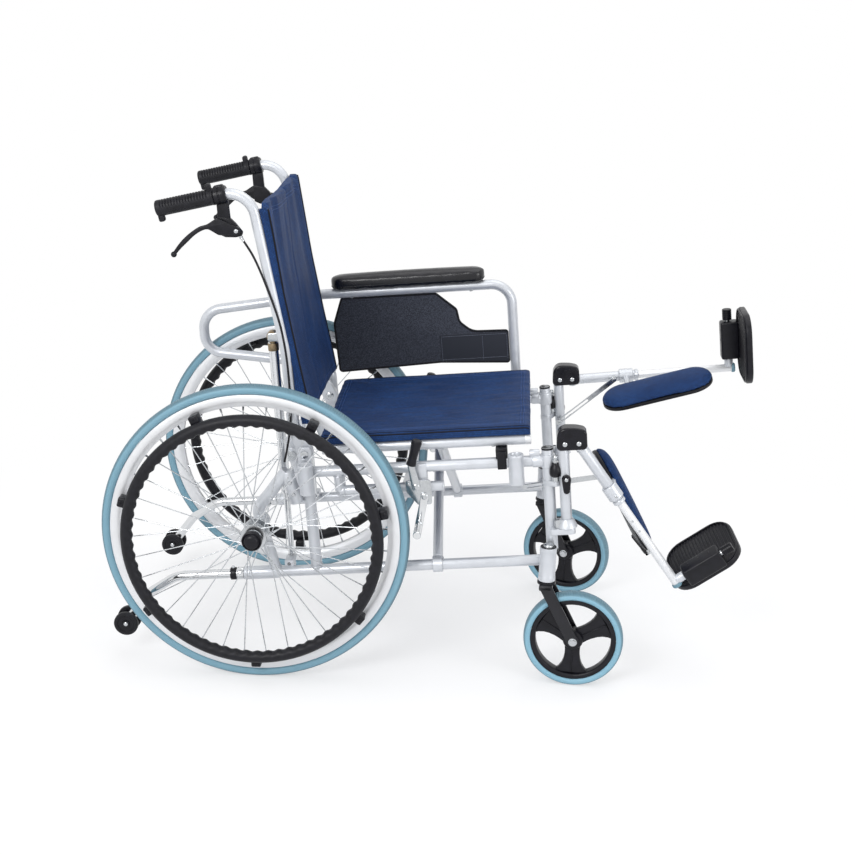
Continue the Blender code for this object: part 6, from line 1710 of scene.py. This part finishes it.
def stud_parts(piece, matrix, s, t, root):
    """A boss with a headed pin for the elevation bar, in a frame whose y points inwards."""
    low, high = BAR_Y
    for first, last, radius, sides, edge in (
        (root, low - 0.0004, 0.006, 20, 0.0006),
        (low - 0.001, high + 0.0006, 0.0021, 16, 0.0),
        (high + 0.0004, high + 0.0024, 0.0048, 20, 0.0007),
    ):
        piece.add(rod((s, first, t), (s, last, t), radius, sides, edge=edge), "zinc", matrix)


def hanger_cap(piece, m):
    """The moulded cap over the knee: a core, and a rounded cheek on each side of it."""
    low_s, high_s, low_t, high_t = CAP
    top = [(high_s, high_t - 0.0075), (high_s - 0.02, high_t - 0.0022), (low_s + 0.004, high_t)]
    top_radii = [0.012, 0.05, 0.019]
    cheek = rounded([(low_s, low_t), (high_s, low_t), *top], [0.009, 0.009, *top_radii], 7)
    for low, high in ((-0.0116, -0.0165), (0.0116, 0.0165)):
        piece.add(inset_plate(cheek, low, high, 0.0044, 5, far_only=True), "gloss", m)
    step_s, step_t = CAP_STEP
    core = [(low_s, low_t), (step_s, low_t), (step_s, step_t), (high_s, step_t), *top]
    core = rounded(core, [0.009, 0.002, 0.002, 0.002, *top_radii], 6)
    piece.add(inset_plate(core, -0.012, 0.012), "gloss", m)
    for s in (0.6145, 0.6415):
        for way in (-1, 1):
            piece.add(screw((s, way * 0.0162, 0.1385), (0, way, 0), 0.0046, 0.002), "zinc", m)


def hanger(side):
    """The upright tube, its moulded pivot cap, and the eyes that drop on the frame's pegs."""
    m = hanger_matrix(side)
    s = HANGER_S
    piece = Piece(f"hanger_{side}")
    piece.add(rod((s, 0, -0.029), (s, 0, 0.136), HANGER_RADIUS, 28, edge=0.001), "paint", m)
    piece.add(rod((s, 0, -0.03), (s, 0, -0.0245), HANGER_RADIUS + 0.0006, 28, edge=0.001), "plastic", m)
    hanger_cap(piece, m)
    piece.add(rod((KNEE[0], -0.0145, KNEE[1]), (KNEE[0], 0.0145, KNEE[1]), 0.004, 16), "zinc", m)
    cup = [
        (0.0113, -0.0366), (0.0196, -0.0366), (0.0205, -0.0356), (0.0192, -0.031), (0.015, -0.0225),
        (0.0126, -0.019), (0.0113, -0.019),
    ]
    piece.add(turned(cup, 36, Matrix.Translation((s, 0, 0))), "paint", m)
    upper_eye = [
        (0.0049, 0.0609), (0.0078, 0.0609), (0.0085, 0.0617), (0.0085, 0.07), (0.0072, 0.0712),
        (0, 0.0712), (0, 0.069), (0.0049, 0.069),
    ]
    knob = [
        (0, 0.07), (0.009, 0.0702), (0.0112, 0.0722), (0.0121, 0.077), (0.0119, 0.083), (0.0104, 0.089),
        (0.0078, 0.0936), (0.0068, 0.0952), (0.0064, 0.0975), (0, 0.0976),
    ]
    stem = [
        (0, 0.097), (0.0044, 0.0972), (0.0048, 0.101), (0.007, 0.1022), (0.007, 0.1044), (0.0046, 0.1056),
        (0.0052, 0.1092), (0.0038, 0.1118), (0, 0.1124),
    ]
    peg = Matrix.Translation((SWING[0], HANGER_OUT - SWING[1], 0))
    for line, steps, closed, finish in (
        (ring(0.0049, 0.0085, -0.0366, -0.0198, 0.0007, 0.0008), 24, True, "zinc"),
        (upper_eye, 24, True, "zinc"),
        (knob, 28, False, "plastic"),
        (stem, 24, False, "zinc"),
    ):
        piece.add(turned(line, steps, peg, closed), finish, m)
    piece.add(weld((SWING[0] + 0.0085, (HANGER_OUT - SWING[1]) * 0.5, 0.073), (1, 0, 0), 0.0062), "paint", m)
    stud_parts(piece, m, *STUD, 0.0)
    piece.add(rod((LATCH[0], -0.008, 0.068), (LATCH[0], -0.0236, 0.068), 0.0022, 16), "zinc", m)
    piece.place(f"{side}_hanger", [f"leg_hanger_{side}"], "silver_paint")


def hanger_latch(side):
    """The teardrop lever that frees the hanger, turning on a pin in its round head."""
    m = hanger_matrix(side)
    s, t = LATCH
    outline = link_outline((s, t - 0.0007), 0.0092, (0.6135, 0.044), 0.0064, 14)
    piece = Piece(f"latch_{side}")
    plate = inset_plate(outline, LATCH_Y + 0.005, LATCH_Y - 0.0045, 0.0036, 4, far_only=True)
    piece.add(plate, "gloss", m)
    rim = [(0.004, 0.0038), (0.0068, 0.0038), (0.0074, 0.0046), (0.0068, 0.006), (0.0046, 0.006)]
    rim.append((0.004, 0.0052))
    piece.add(turned(rim, 28, facing((s, LATCH_Y, t), (0, -1, 0))), "gloss", m)
    piece.add(screw((s, LATCH_Y - 0.0044, t), (0, -1, 0), 0.0038, 0.0014), "zinc", m)
    piece.place(f"{side}_latch", [f"hanger_latch_{side}"], "black_plastic")


def leg_tube(side):
    """The outer tube, open at its lower end, with its knee eye, clamp collar and stud."""
    m = leg_matrix(side)
    line = [
        (0, 0.004), (0.0102, 0.004), (0.011, 0.005), (0.011, 0.144), (0.0105, 0.145), (0.0089, 0.145),
        (0.0089, 0.05), (0, 0.05),
    ]
    collar = [
        (0.0112, 0.1385), (0.0122, 0.1385), (0.0128, 0.1395), (0.0128, 0.1445), (0.0122, 0.1452),
        (0.0112, 0.1452),
    ]
    eye = both_sides([(0.0045, 0.0114), (0.0118, 0.0114), (0.0125, 0.0106)])
    piece = Piece(f"leg_{side}")
    piece.add(turned(line, 32, DOWN_LEG, closed=False), "paint", m)
    piece.add(turned(eye, 32, OUTWARDS), "paint", m)
    piece.add(weld((0.012, 0, 0), (1, 0, 0), 0.0112), "paint", m)
    piece.add(turned(collar, 32, DOWN_LEG), "paint", m)
    stud_parts(piece, m, math.dist(STUD, KNEE), 0.0, HANGER_RADIUS - 0.003)
    piece.place(f"{side}_leg", [f"leg_tube_{side}"], "silver_paint")


def bar_loop(start, along, first, last, half):
    """A long round-ended loop beside a line in the leg's plane."""
    square = Vector((-along.z, 0, along.x)) * half
    near, far = start + along * first, start + along * last
    corners = [(p.x, p.z) for p in (near + square, far + square, far - square, near - square)]
    return [(u, start.y, v) for u, v in rounded(corners, half * 0.98, 6)]


def ring_slab(outer, inner, depth):
    """A flat ring between two loops of the same count, pushed along a depth."""
    shape = bmesh.new()
    edges = []
    for loop in (outer, inner):
        verts = [shape.verts.new(point) for point in loop]
        edges += [shape.edges.new(pair) for pair in zip(verts, verts[1:] + verts[:1])]
    bmesh.ops.bridge_loops(shape, edges=edges)
    grown = bmesh.ops.extrude_face_region(shape, geom=list(shape.faces), use_keep_orig=True)["geom"]
    bmesh.ops.translate(shape, verts=kind_of(grown, bmesh.types.BMVert), vec=Vector(depth))
    return ready(shape)


def elevation_bar(side):
    """The slotted zinc bar that holds the leg at its height."""
    reach = math.dist(STUD, KNEE)
    stud_angle = math.atan2(STUD[1] - KNEE[1], STUD[0] - KNEE[0])
    rest = LEG_ANGLES[side]
    other = rest + LEG_TRAVEL if side == "right" else rest - LEG_TRAVEL
    near, far = sorted(2 * reach * math.sin((angle - stud_angle) / 2) for angle in (rest, other))
    turn = stud_angle - rest
    low, high = BAR_Y
    start = Vector((reach, low, 0))
    along = (Vector((reach * math.cos(turn), low, reach * math.sin(turn))) - start).normalized()
    outer = bar_loop(start, along, -0.005, far + 0.012, 0.005)
    inner = bar_loop(start, along, near - 0.006, far + 0.006, 0.0026)
    piece = Piece(f"ratchet_bar_{side}")
    piece.add(ring_slab(outer, inner, (0, high - low, 0)), "zinc", leg_matrix(side))
    piece.place(f"{side}_bar", [f"elevation_bar_{side}"], "zinc")


def leg_slider(side):
    """The inner tube with its end plug, the foot plate's pin and the release lever's lug."""
    m = leg_matrix(side)
    u, v = 0.264, -0.0145
    plug = [(0, 0.3505), (0.0098, 0.3505), (0.0105, 0.3515), (0.0105, 0.356), (0.0088, 0.358), (0, 0.358)]
    knob = [(0, 0.109), (0.0085, 0.109)]
    for i in range(5):
        start = 0.11 + i * 0.0042
        knob += [(0.0102, start), (0.0102, start + 0.0026), (0.0094, start + 0.003), (0.0094, start + 0.0038)]
    knob += [(0.0102, 0.1312), (0.009, 0.1328), (0, 0.133)]
    piece = Piece(f"slide_tube_{side}")
    piece.add(rod((0.095, 0, 0), (0.353, 0, 0), 0.0085, 28, edge=0.0006), "alloy", m)
    piece.add(turned(plug, 28, DOWN_LEG, closed=False), "heel", m)
    piece.add(turned(knob, 28, Matrix.Translation((FOOT_AXIS_U, 0, 0)), closed=False), "plastic", m)
    piece.add(rod((FOOT_AXIS_U, 0, 0.004), (FOOT_AXIS_U, 0, 0.0215), 0.0095, edge=0.001), "paint", m)
    piece.add(block((u - 0.005, -0.003, v - 0.003), (u + 0.005, 0.003, -0.004), 0.0008), "zinc", m)
    for start, end, radius, sides in (
        ((FOOT_AXIS_U, 0, 0), (FOOT_AXIS_U, 0, 0.112), 0.0055, 20),
        ((0.19, -0.0081, 0), (0.19, -0.0088, 0), 0.0024, 14),
        ((0.215, -0.0081, 0), (0.215, -0.0088, 0), 0.0024, 14), ((u, -0.007, v), (u, 0.007, v), 0.002, 14),
    ):
        piece.add(rod(start, end, radius, sides), "zinc", m)
    piece.place(f"{side}_slider", [f"leg_slider_{side}"], "silver_paint")


def leg_release(side):
    """The small wedge lever behind the slider."""
    cheek = [(0.218, -0.0205), (0.267, -0.0169), (0.267, -0.0121), (0.218, -0.0176)]
    web = [(0.218, -0.0205), (0.2565, -0.01765), (0.2565, -0.01295), (0.218, -0.0176)]
    piece = Piece(f"release_hook_{side}")
    for outline, low, high, edge in (
        (cheek, -0.007, -0.0035, 0.0006),
        (cheek, 0.0035, 0.007, 0.0006),
        (web, -0.004, 0.004, 0.0004),
    ):
        piece.add(inset_plate(outline, low, high, edge), "plastic", leg_matrix(side))
    piece.place(f"{side}_leg_release", [f"leg_release_{side}"], "black_plastic")


def foot_plate(side):
    """The moulded foot plate: a finely ribbed tread with a rim, under its hinge block."""
    m = leg_matrix(side) @ Matrix.Translation((FOOT_AXIS_U, 0, 0)) @ Matrix.Rotation(FOOT_TURNS[side], 4, "Z")
    near, far, heel, toe = -0.01, 0.142, -0.008, 0.138
    outline = rounded([(heel, near), (toe, near), (toe, far), (heel, far)], FOOT_CORNER, 8)
    piece = Piece(f"foot_board_{side}")
    piece.add(slab([(0.023, y, v) for y, v in outline], (0.013, 0, 0), 0.0028, 3), "plastic", m)
    middle = Vector((0.0215, (heel + toe) / 2, (near + far) / 2))
    rim = [Vector((0.0215, y, v)) for y, v in outline]
    rim = [p + (middle - p).normalized() * 0.0044 for p in rim]
    piece.add(tube(rim, 0.0019, 10, closed=True), "plastic", m)
    for i in range(20):
        v = near + 0.01 + i * 0.007
        depth = max(0.0, FOOT_CORNER - min(v - near, far - v))
        inset = 0.0085 + FOOT_CORNER - math.sqrt(FOOT_CORNER**2 - depth**2)
        first = heel + (0.028 if 0.01 < v < 0.118 else inset)
        piece.add(rod((0.0228, first, v), (0.0228, toe - inset, v), 0.0016, 8), "rubber", m)
    piece.add(block((-0.016, -0.0165, 0.0222), (0.0236, 0.0165, 0.1058), 0.0045, None, 4), "plastic", m)
    for v in (0.04, 0.064, 0.088):
        piece.add(block((-0.0166, -0.006, v - 0.0007), (-0.015, 0.006, v + 0.0007), 0.0003), "plastic", m)
    piece.place(f"{side}_foot_plate", [f"foot_plate_{side}"], "black_plastic")


def calf_spread(x, y):
    """How far a place lies from the cushion's spine, which runs between the centres of its round ends."""
    spine = max(-CALF_SPINE, min(CALF_SPINE, x))
    return Vector((x - spine, y)), spine


def calf_place(a, b, lift):
    """A place on the calf cushion before it swells, between its base and its crown, from its own centre."""
    x, y = 2 * a - 1, 2 * b - 1
    length = CALF_SPINE + CALF_REACH
    round_end = max(0.0, abs(x) * length - CALF_SPINE) / CALF_REACH
    half = max(0.002, CALF_REACH * math.sqrt(max(0.0, 1 - round_end**2)))
    away = min(1.0, calf_spread(x * length, half * y)[0].length / CALF_REACH)
    crown = CALF_HEIGHT * (1 - away**3.4) ** 0.5
    return Vector((x * length, half * y, CALF_BOARD_TOP + max(0.003, crown) * lift))


def calf_crown(a, b):
    """The calf cushion's upper face."""
    return calf_place(a, b, 1.0)


def calf_base(a, b):
    """The calf cushion's lower face."""
    return calf_place(a, b, 0.0)


def calf_map(cushion, pad):
    """The weave's map, laid over the cushion from its spine outwards and down its sides, unstretched."""
    into = pad.inverted()
    maps = cushion.loops.layers.uv
    layer = maps.get("weave") or maps.new("weave")
    for face in cushion.faces:
        for loop in face.loops:
            place = into @ loop.vert.co
            away, spine = calf_spread(place.x, place.y)
            drop = max(0.0, CALF_BOARD_TOP + CALF_HEIGHT - place.z)
            away += away.normalized() * drop
            loop[layer].uv = (spine + away.x, away.y)


def calf_pad(side):
    """The cushion swelled on its board, with the clamp that turns on the leg."""
    m = leg_matrix(side) @ Matrix.Rotation(-CALF_TURNS[side], 4, "X")
    pad = m @ Matrix.Translation(CALF_CENTRE) @ Matrix.Rotation(-CALF_TILTS[side], 4, "Y")
    cushion = moved(cloth_slab(72, 36, calf_crown, calf_base, (0.24, 0.1), 0.02), pad)
    cushion = swelled(cushion, pad, CALF_BOARD_TOP + 0.002, 2.5, 0.0045)
    calf_map(cushion, pad)
    piece = Piece(f"calf_cushion_{side}")
    piece.add(cushion, "cloth")
    made = drawn_finer(piece.place(f"{side}_calf_pad", [], "navy_cloth", crease=60))
    piece = Piece(f"calf_board_{side}")
    length, width, thick = (size / 2 for size in CALF_SIZE)
    corners = [(-length, -width), (length, -width), (length, width), (-length, width)]
    board = rounded(corners, width - 0.0005, 12)
    piece.add(slab([(x, y, -thick) for x, y in board], (0, 0, 0.0076), 0.0012), "plastic", pad)
    piece.add(turned(ring(*SLEEVE_RADII, 0.104, 0.134, 0.0008, 0.001), 32, DOWN_LEG), "paint", m)
    pad_v = CALF_CENTRE[2] + (CALF_CLAMP_U - CALF_CENTRE[0]) * math.tan(CALF_TILTS[side])
    hold = (CALF_CLAMP_U, CALF_CENTRE[1] - width + 0.014, pad_v)
    piece.add(rod((CALF_CLAMP_U, 0.013, 0), hold, 0.006, 20), "paint", m)
    piece.add(screw((CALF_CLAMP_U + 0.008, -0.0153, 0), (0, -1, 0), 0.0032, 0.0014), "zinc", m)
    piece.place(f"{side}_calf_pad", [f"calf_pad_{side}"], "black_plastic")


# Stage

CAMERA_SPOT = (0.475 + CHAIR_X, -3.058, 1.422)
CAMERA_TURN = (2.95, 17.61, -1.87)
CAMERA_LENS = 64.3


def camera_matrix():
    """The photograph's camera, from its yaw, pitch and roll."""
    yaw, pitch, roll = (math.radians(angle) for angle in CAMERA_TURN)
    forward = Vector((-math.sin(yaw) * math.cos(pitch), math.cos(yaw) * math.cos(pitch), -math.sin(pitch)))
    level = Vector((math.cos(yaw), math.sin(yaw), 0))
    below = forward.cross(level)
    right = level * math.cos(roll) + below * math.sin(roll)
    down = below * math.cos(roll) - level * math.sin(roll)
    turn = Matrix((right, -down, -forward)).transposed().to_4x4()
    return Matrix.Translation(CAMERA_SPOT) @ turn


def lamp(name, place, target, size, power):
    """A soft rectangular lamp that looks at a place."""
    light = bpy.data.lights.new(name, "AREA")
    light.shape = "RECTANGLE"
    light.size, light.size_y = size
    light.energy = power
    obj = bpy.data.objects.new(name, light)
    turn = (Vector(target) - Vector(place)).to_track_quat("-Z", "Y").to_matrix().to_4x4()
    obj.matrix_world = Matrix.Translation(place) @ turn
    bpy.context.scene.collection.objects.link(obj)
    return obj


def seen_directly(tree):
    """One where the camera looks, in a mirror or through glass too, and nothing where light only falls."""
    rays = node(tree, "ShaderNodeLightPath")
    links = {0: rays.outputs["Is Camera Ray"], 1: rays.outputs["Is Glossy Ray"]}
    plain = node(tree, "ShaderNodeMath", links, operation="MAXIMUM")
    links = {0: plain.outputs[0], 1: rays.outputs["Is Transmission Ray"]}
    return node(tree, "ShaderNodeMath", links, operation="MAXIMUM").outputs[0]


def white_room():
    """A white surround that lights the chair softly and shows as white behind it and in its metal.

    The light comes from a bright ceiling and falls off towards the walls, so that tubes have a darker side.
    """
    world = bpy.context.scene.world or bpy.data.worlds.new("room")
    bpy.context.scene.world = world
    world.use_nodes = True
    tree = world.node_tree
    tree.nodes.clear()
    spot = node(tree, "ShaderNodeTexCoord")
    height = node(tree, "ShaderNodeSeparateXYZ", {"Vector": spot.outputs["Generated"]})
    stops = ((0.02, (0.46, 0.48, 0.51)), (0.75, (0.97, 0.98, 1.0)))
    fall = node(tree, "ShaderNodeValToRGB", {"Fac": height.outputs["Z"]}, stops=stops)
    light = node(tree, "ShaderNodeBackground", {"Color": fall.outputs[0]}, {"Strength": 0.95})
    seen = node(tree, "ShaderNodeBackground", None, {"Color": (1, 1, 1, 1), "Strength": 1.0})
    links = {0: seen_directly(tree), 1: light.outputs[0], 2: seen.outputs[0]}
    mixed = node(tree, "ShaderNodeMixShader", links)
    node(tree, "ShaderNodeOutputWorld", {"Surface": mixed.outputs[0]})


def paper_floor():
    """White paper: dull, and plain white to the camera away from the chair, where its soft shadow ends."""
    material, tree, shader = new_finish("white_paper_floor", (0.9, 0.9, 0.91), 0.0, 0.85)
    spot = node(tree, "ShaderNodeTexCoord")
    away = node(tree, "ShaderNodeVectorMath", {0: spot.outputs["Object"]}, operation="LENGTH")
    values = {"From Min": 0.5, "From Max": 1.5, "To Min": 0.5, "To Max": 1.0}
    fade = node(tree, "ShaderNodeMapRange", {"Value": away.outputs["Value"]}, values)
    half = node(tree, "ShaderNodeMath", {0: seen_directly(tree), 1: fade.outputs[0]}, operation="MULTIPLY")
    white = node(tree, "ShaderNodeEmission", None, {"Color": (1, 1, 1, 1), "Strength": 1.0})
    links = {0: half.outputs[0], 1: shader.outputs[0], 2: white.outputs[0]}
    node(tree, "ShaderNodeMixShader", links, None, tree.nodes["Material Output"].inputs["Surface"])
    return material


def stage():
    """The floor, the lamps, the room and the photograph's camera."""
    shape = bmesh.new()
    bmesh.ops.create_grid(shape, x_segments=1, y_segments=1, size=9)
    mesh = bpy.data.meshes.new("floor")
    shape.to_mesh(mesh)
    shape.free()
    mesh.materials.append(paper_floor())
    floor = bpy.data.objects.new("floor", mesh)
    data = bpy.data.cameras.new("photo_camera")
    data.sensor_width = 36
    data.lens = CAMERA_LENS
    camera = bpy.data.objects.new("photo_camera", data)
    camera.matrix_world = camera_matrix()
    for obj in (floor, camera):
        bpy.context.scene.collection.objects.link(obj)
    made = [
        floor,
        lamp("key", (-1.6, -3.4, 2.6), (0, 0, 0.4), (1.8, 1.4), 85),
        lamp("overhead", (0.6, 0.2, 3.4), (0, 0, 0.3), (3.2, 2.6), 30),
        lamp("fill", (2.8, -2.2, 1.4), (0, 0, 0.4), (1.2, 1.2), 24),
    ]
    bpy.context.scene.camera = camera
    bpy.context.scene.view_settings.view_transform = "Standard"
    white_room()


# Add-on


def colour(name, description, code):
    """A colour property from a hex value."""
    return FloatVectorProperty(
        name=name, description=description, subtype="COLOR", size=3, min=0, max=1, default=linear(code)
    )


class WheelchairColours(bpy.types.PropertyGroup):
    """Colours of the chair's materials."""

    silver_paint: colour("Silver paint", "Powder coat of the tubes", "C6C9CE")
    alloy: colour("Rim alloy", "Anodised rims and hubs", "DFE0E2")
    zinc: colour("Zinc plate", "Screws, bolts, bars and spokes", "C3C6C9")
    chrome: colour("Chrome", "Plated tubes and strut", "DADCDE")
    bronze: colour("Bronze", "Clevis at the strut's head", "8C7B62")
    black: colour("Black plastic", "Mouldings and enamelled forks", "101016")
    rubber: colour("Black rubber", "Grips, hand rings and rollers", "141419")
    tyre: colour("Tyre", "Cast tyres", "6E94A4")
    cloth: colour("Navy cloth", "Seat, back and calf pads", "17335F")
    panel: colour("Panel cloth", "Side panel's mesh cloth", "33363F")


class WheelchairSizes(bpy.types.PropertyGroup):
    """Sizes of the finished surfaces that the CAD part doesn't hold."""

    weave_cell: FloatProperty(
        name="Weave cell", description="Block of the cloth's weave", unit="LENGTH",
        default=0.0052, min=0.001, max=0.02,
    )
    stitch_pitch: FloatProperty(
        name="Stitch pitch", description="Distance between stitches", unit="LENGTH",
        default=0.0038, min=0.001, max=0.02,
    )
    scallop_depth: FloatProperty(
        name="Scallop depth", description="Finger hollows of the hand ring", unit="LENGTH",
        default=0.0032, max=0.006,
    )
    spoke_radius: FloatProperty(
        name="Spoke radius", description="Radius of the drawn wire", unit="LENGTH",
        default=0.0011, min=0.0005, max=0.002,
    )


def dress(*makers):
    """Runs each maker for both sides."""
    for maker in makers:
        for side in SIDES:
            maker(side)


class WHEELCHAIR_OT_side_frames(bpy.types.Operator):
    """The two welded side frames"""

    bl_idname = "wheelchair.side_frames"
    bl_label = "Side frames"

    def execute(self, context):
        dress(side_frame)
        return {"FINISHED"}


class WHEELCHAIR_OT_anti_tippers(bpy.types.Operator):
    """The anti-tip tubes and their rollers"""

    bl_idname = "wheelchair.anti_tippers"
    bl_label = "Anti-tippers"

    def execute(self, context):
        dress(anti_tip_tube, anti_tip_roller)
        return {"FINISHED"}


class WHEELCHAIR_OT_rear_wheels(bpy.types.Operator):
    """The rear tyres, spoked wheels and hand rings"""

    bl_idname = "wheelchair.rear_wheels"
    bl_label = "Rear wheels"

    def execute(self, context):
        dress(rear_tyre, rear_wheel, push_rim)
        return {"FINISHED"}


class WHEELCHAIR_OT_casters(bpy.types.Operator):
    """The caster forks, wheels and tyres"""

    bl_idname = "wheelchair.casters"
    bl_label = "Casters"

    def execute(self, context):
        dress(caster_fork, caster_hub, caster_tyre)
        return {"FINISHED"}


class WHEELCHAIR_OT_cross_brace(bpy.types.Operator):
    """The folding X with its seat rails and bolt"""

    bl_idname = "wheelchair.cross_brace"
    bl_label = "Cross brace"

    def execute(self, context):
        cross_arm("right", "a")
        cross_arm("left", "b")
        cross_pin()
        return {"FINISHED"}


class WHEELCHAIR_OT_seat(bpy.types.Operator):
    """The seat cloth"""

    bl_idname = "wheelchair.seat"
    bl_label = "Seat"

    def execute(self, context):
        seat_sling()
        return {"FINISHED"}


class WHEELCHAIR_OT_canes(bpy.types.Operator):
    """The back canes, grips, release levers and cables"""

    bl_idname = "wheelchair.canes"
    bl_label = "Back canes"

    def execute(self, context):
        dress(back_cane, hand_grip, lever_housing, recline_lever, release_cable)
        return {"FINISHED"}


class WHEELCHAIR_OT_struts(bpy.types.Operator):
    """The locking struts of the back"""

    bl_idname = "wheelchair.struts"
    bl_label = "Struts"

    def execute(self, context):
        dress(strut)
        return {"FINISHED"}


class WHEELCHAIR_OT_back(bpy.types.Operator):
    """The back cloth"""

    bl_idname = "wheelchair.back"
    bl_label = "Back"

    def execute(self, context):
        back_sling()
        return {"FINISHED"}


class WHEELCHAIR_OT_wheel_locks(bpy.types.Operator):
    """The wheel locks' levers and shoes"""

    bl_idname = "wheelchair.wheel_locks"
    bl_label = "Wheel locks"

    def execute(self, context):
        dress(lock_lever, lock_shoe)
        return {"FINISHED"}


class WHEELCHAIR_OT_armrest(bpy.types.Operator):
    """The left armrest: tube, pad and side panel"""

    bl_idname = "wheelchair.armrest"
    bl_label = "Armrest"

    def execute(self, context):
        armrest_tube()
        arm_pad()
        side_panel()
        return {"FINISHED"}


class WHEELCHAIR_OT_leg_rests(bpy.types.Operator):
    """The leg rests with their hangers, sliders and foot plates"""

    bl_idname = "wheelchair.leg_rests"
    bl_label = "Leg rests"

    def execute(self, context):
        dress(hanger, hanger_latch, leg_tube, elevation_bar, leg_slider, leg_release, foot_plate)
        return {"FINISHED"}


class WHEELCHAIR_OT_calf_pads(bpy.types.Operator):
    """The calf pads"""

    bl_idname = "wheelchair.calf_pads"
    bl_label = "Calf pads"

    def execute(self, context):
        dress(calf_pad)
        return {"FINISHED"}


class WHEELCHAIR_OT_stage(bpy.types.Operator):
    """The floor, lamps and camera"""

    bl_idname = "wheelchair.stage"
    bl_label = "Stage"

    def execute(self, context):
        stage()
        return {"FINISHED"}


STEPS = (
    WHEELCHAIR_OT_side_frames,
    WHEELCHAIR_OT_anti_tippers,
    WHEELCHAIR_OT_rear_wheels,
    WHEELCHAIR_OT_casters,
    WHEELCHAIR_OT_cross_brace,
    WHEELCHAIR_OT_seat,
    WHEELCHAIR_OT_canes,
    WHEELCHAIR_OT_struts,
    WHEELCHAIR_OT_back,
    WHEELCHAIR_OT_wheel_locks,
    WHEELCHAIR_OT_armrest,
    WHEELCHAIR_OT_leg_rests,
    WHEELCHAIR_OT_calf_pads,
    WHEELCHAIR_OT_stage,
)


class WHEELCHAIR_PT_looks(bpy.types.Panel):
    """Colours, sizes and the steps in their order"""

    bl_idname = "WHEELCHAIR_PT_looks"
    bl_label = "Wheelchair"
    bl_space_type = "VIEW_3D"
    bl_region_type = "UI"
    bl_category = "Wheelchair"

    def draw(self, context):
        for group in (context.scene.wheelchair_colours, context.scene.wheelchair_sizes):
            for name in group.__annotations__:
                self.layout.prop(group, name)
        for step in STEPS:
            self.layout.operator(step.bl_idname)


CLASSES = (WheelchairColours, WheelchairSizes, *STEPS, WHEELCHAIR_PT_looks)


def register():
    """Adds the classes and the two groups of properties."""
    for made in CLASSES:
        bpy.utils.register_class(made)
    bpy.types.Scene.wheelchair_colours = PointerProperty(type=WheelchairColours)
    bpy.types.Scene.wheelchair_sizes = PointerProperty(type=WheelchairSizes)


def unregister():
    """Takes them away again."""
    del bpy.types.Scene.wheelchair_sizes
    del bpy.types.Scene.wheelchair_colours
    for made in reversed(CLASSES):
        bpy.utils.unregister_class(made)


def main():
    """Makes every piece through its operator."""
    register()
    for step in STEPS:
        group, name = step.bl_idname.split(".")
        getattr(getattr(bpy.ops, group), name)()


if __name__ == "__main__":
    main()
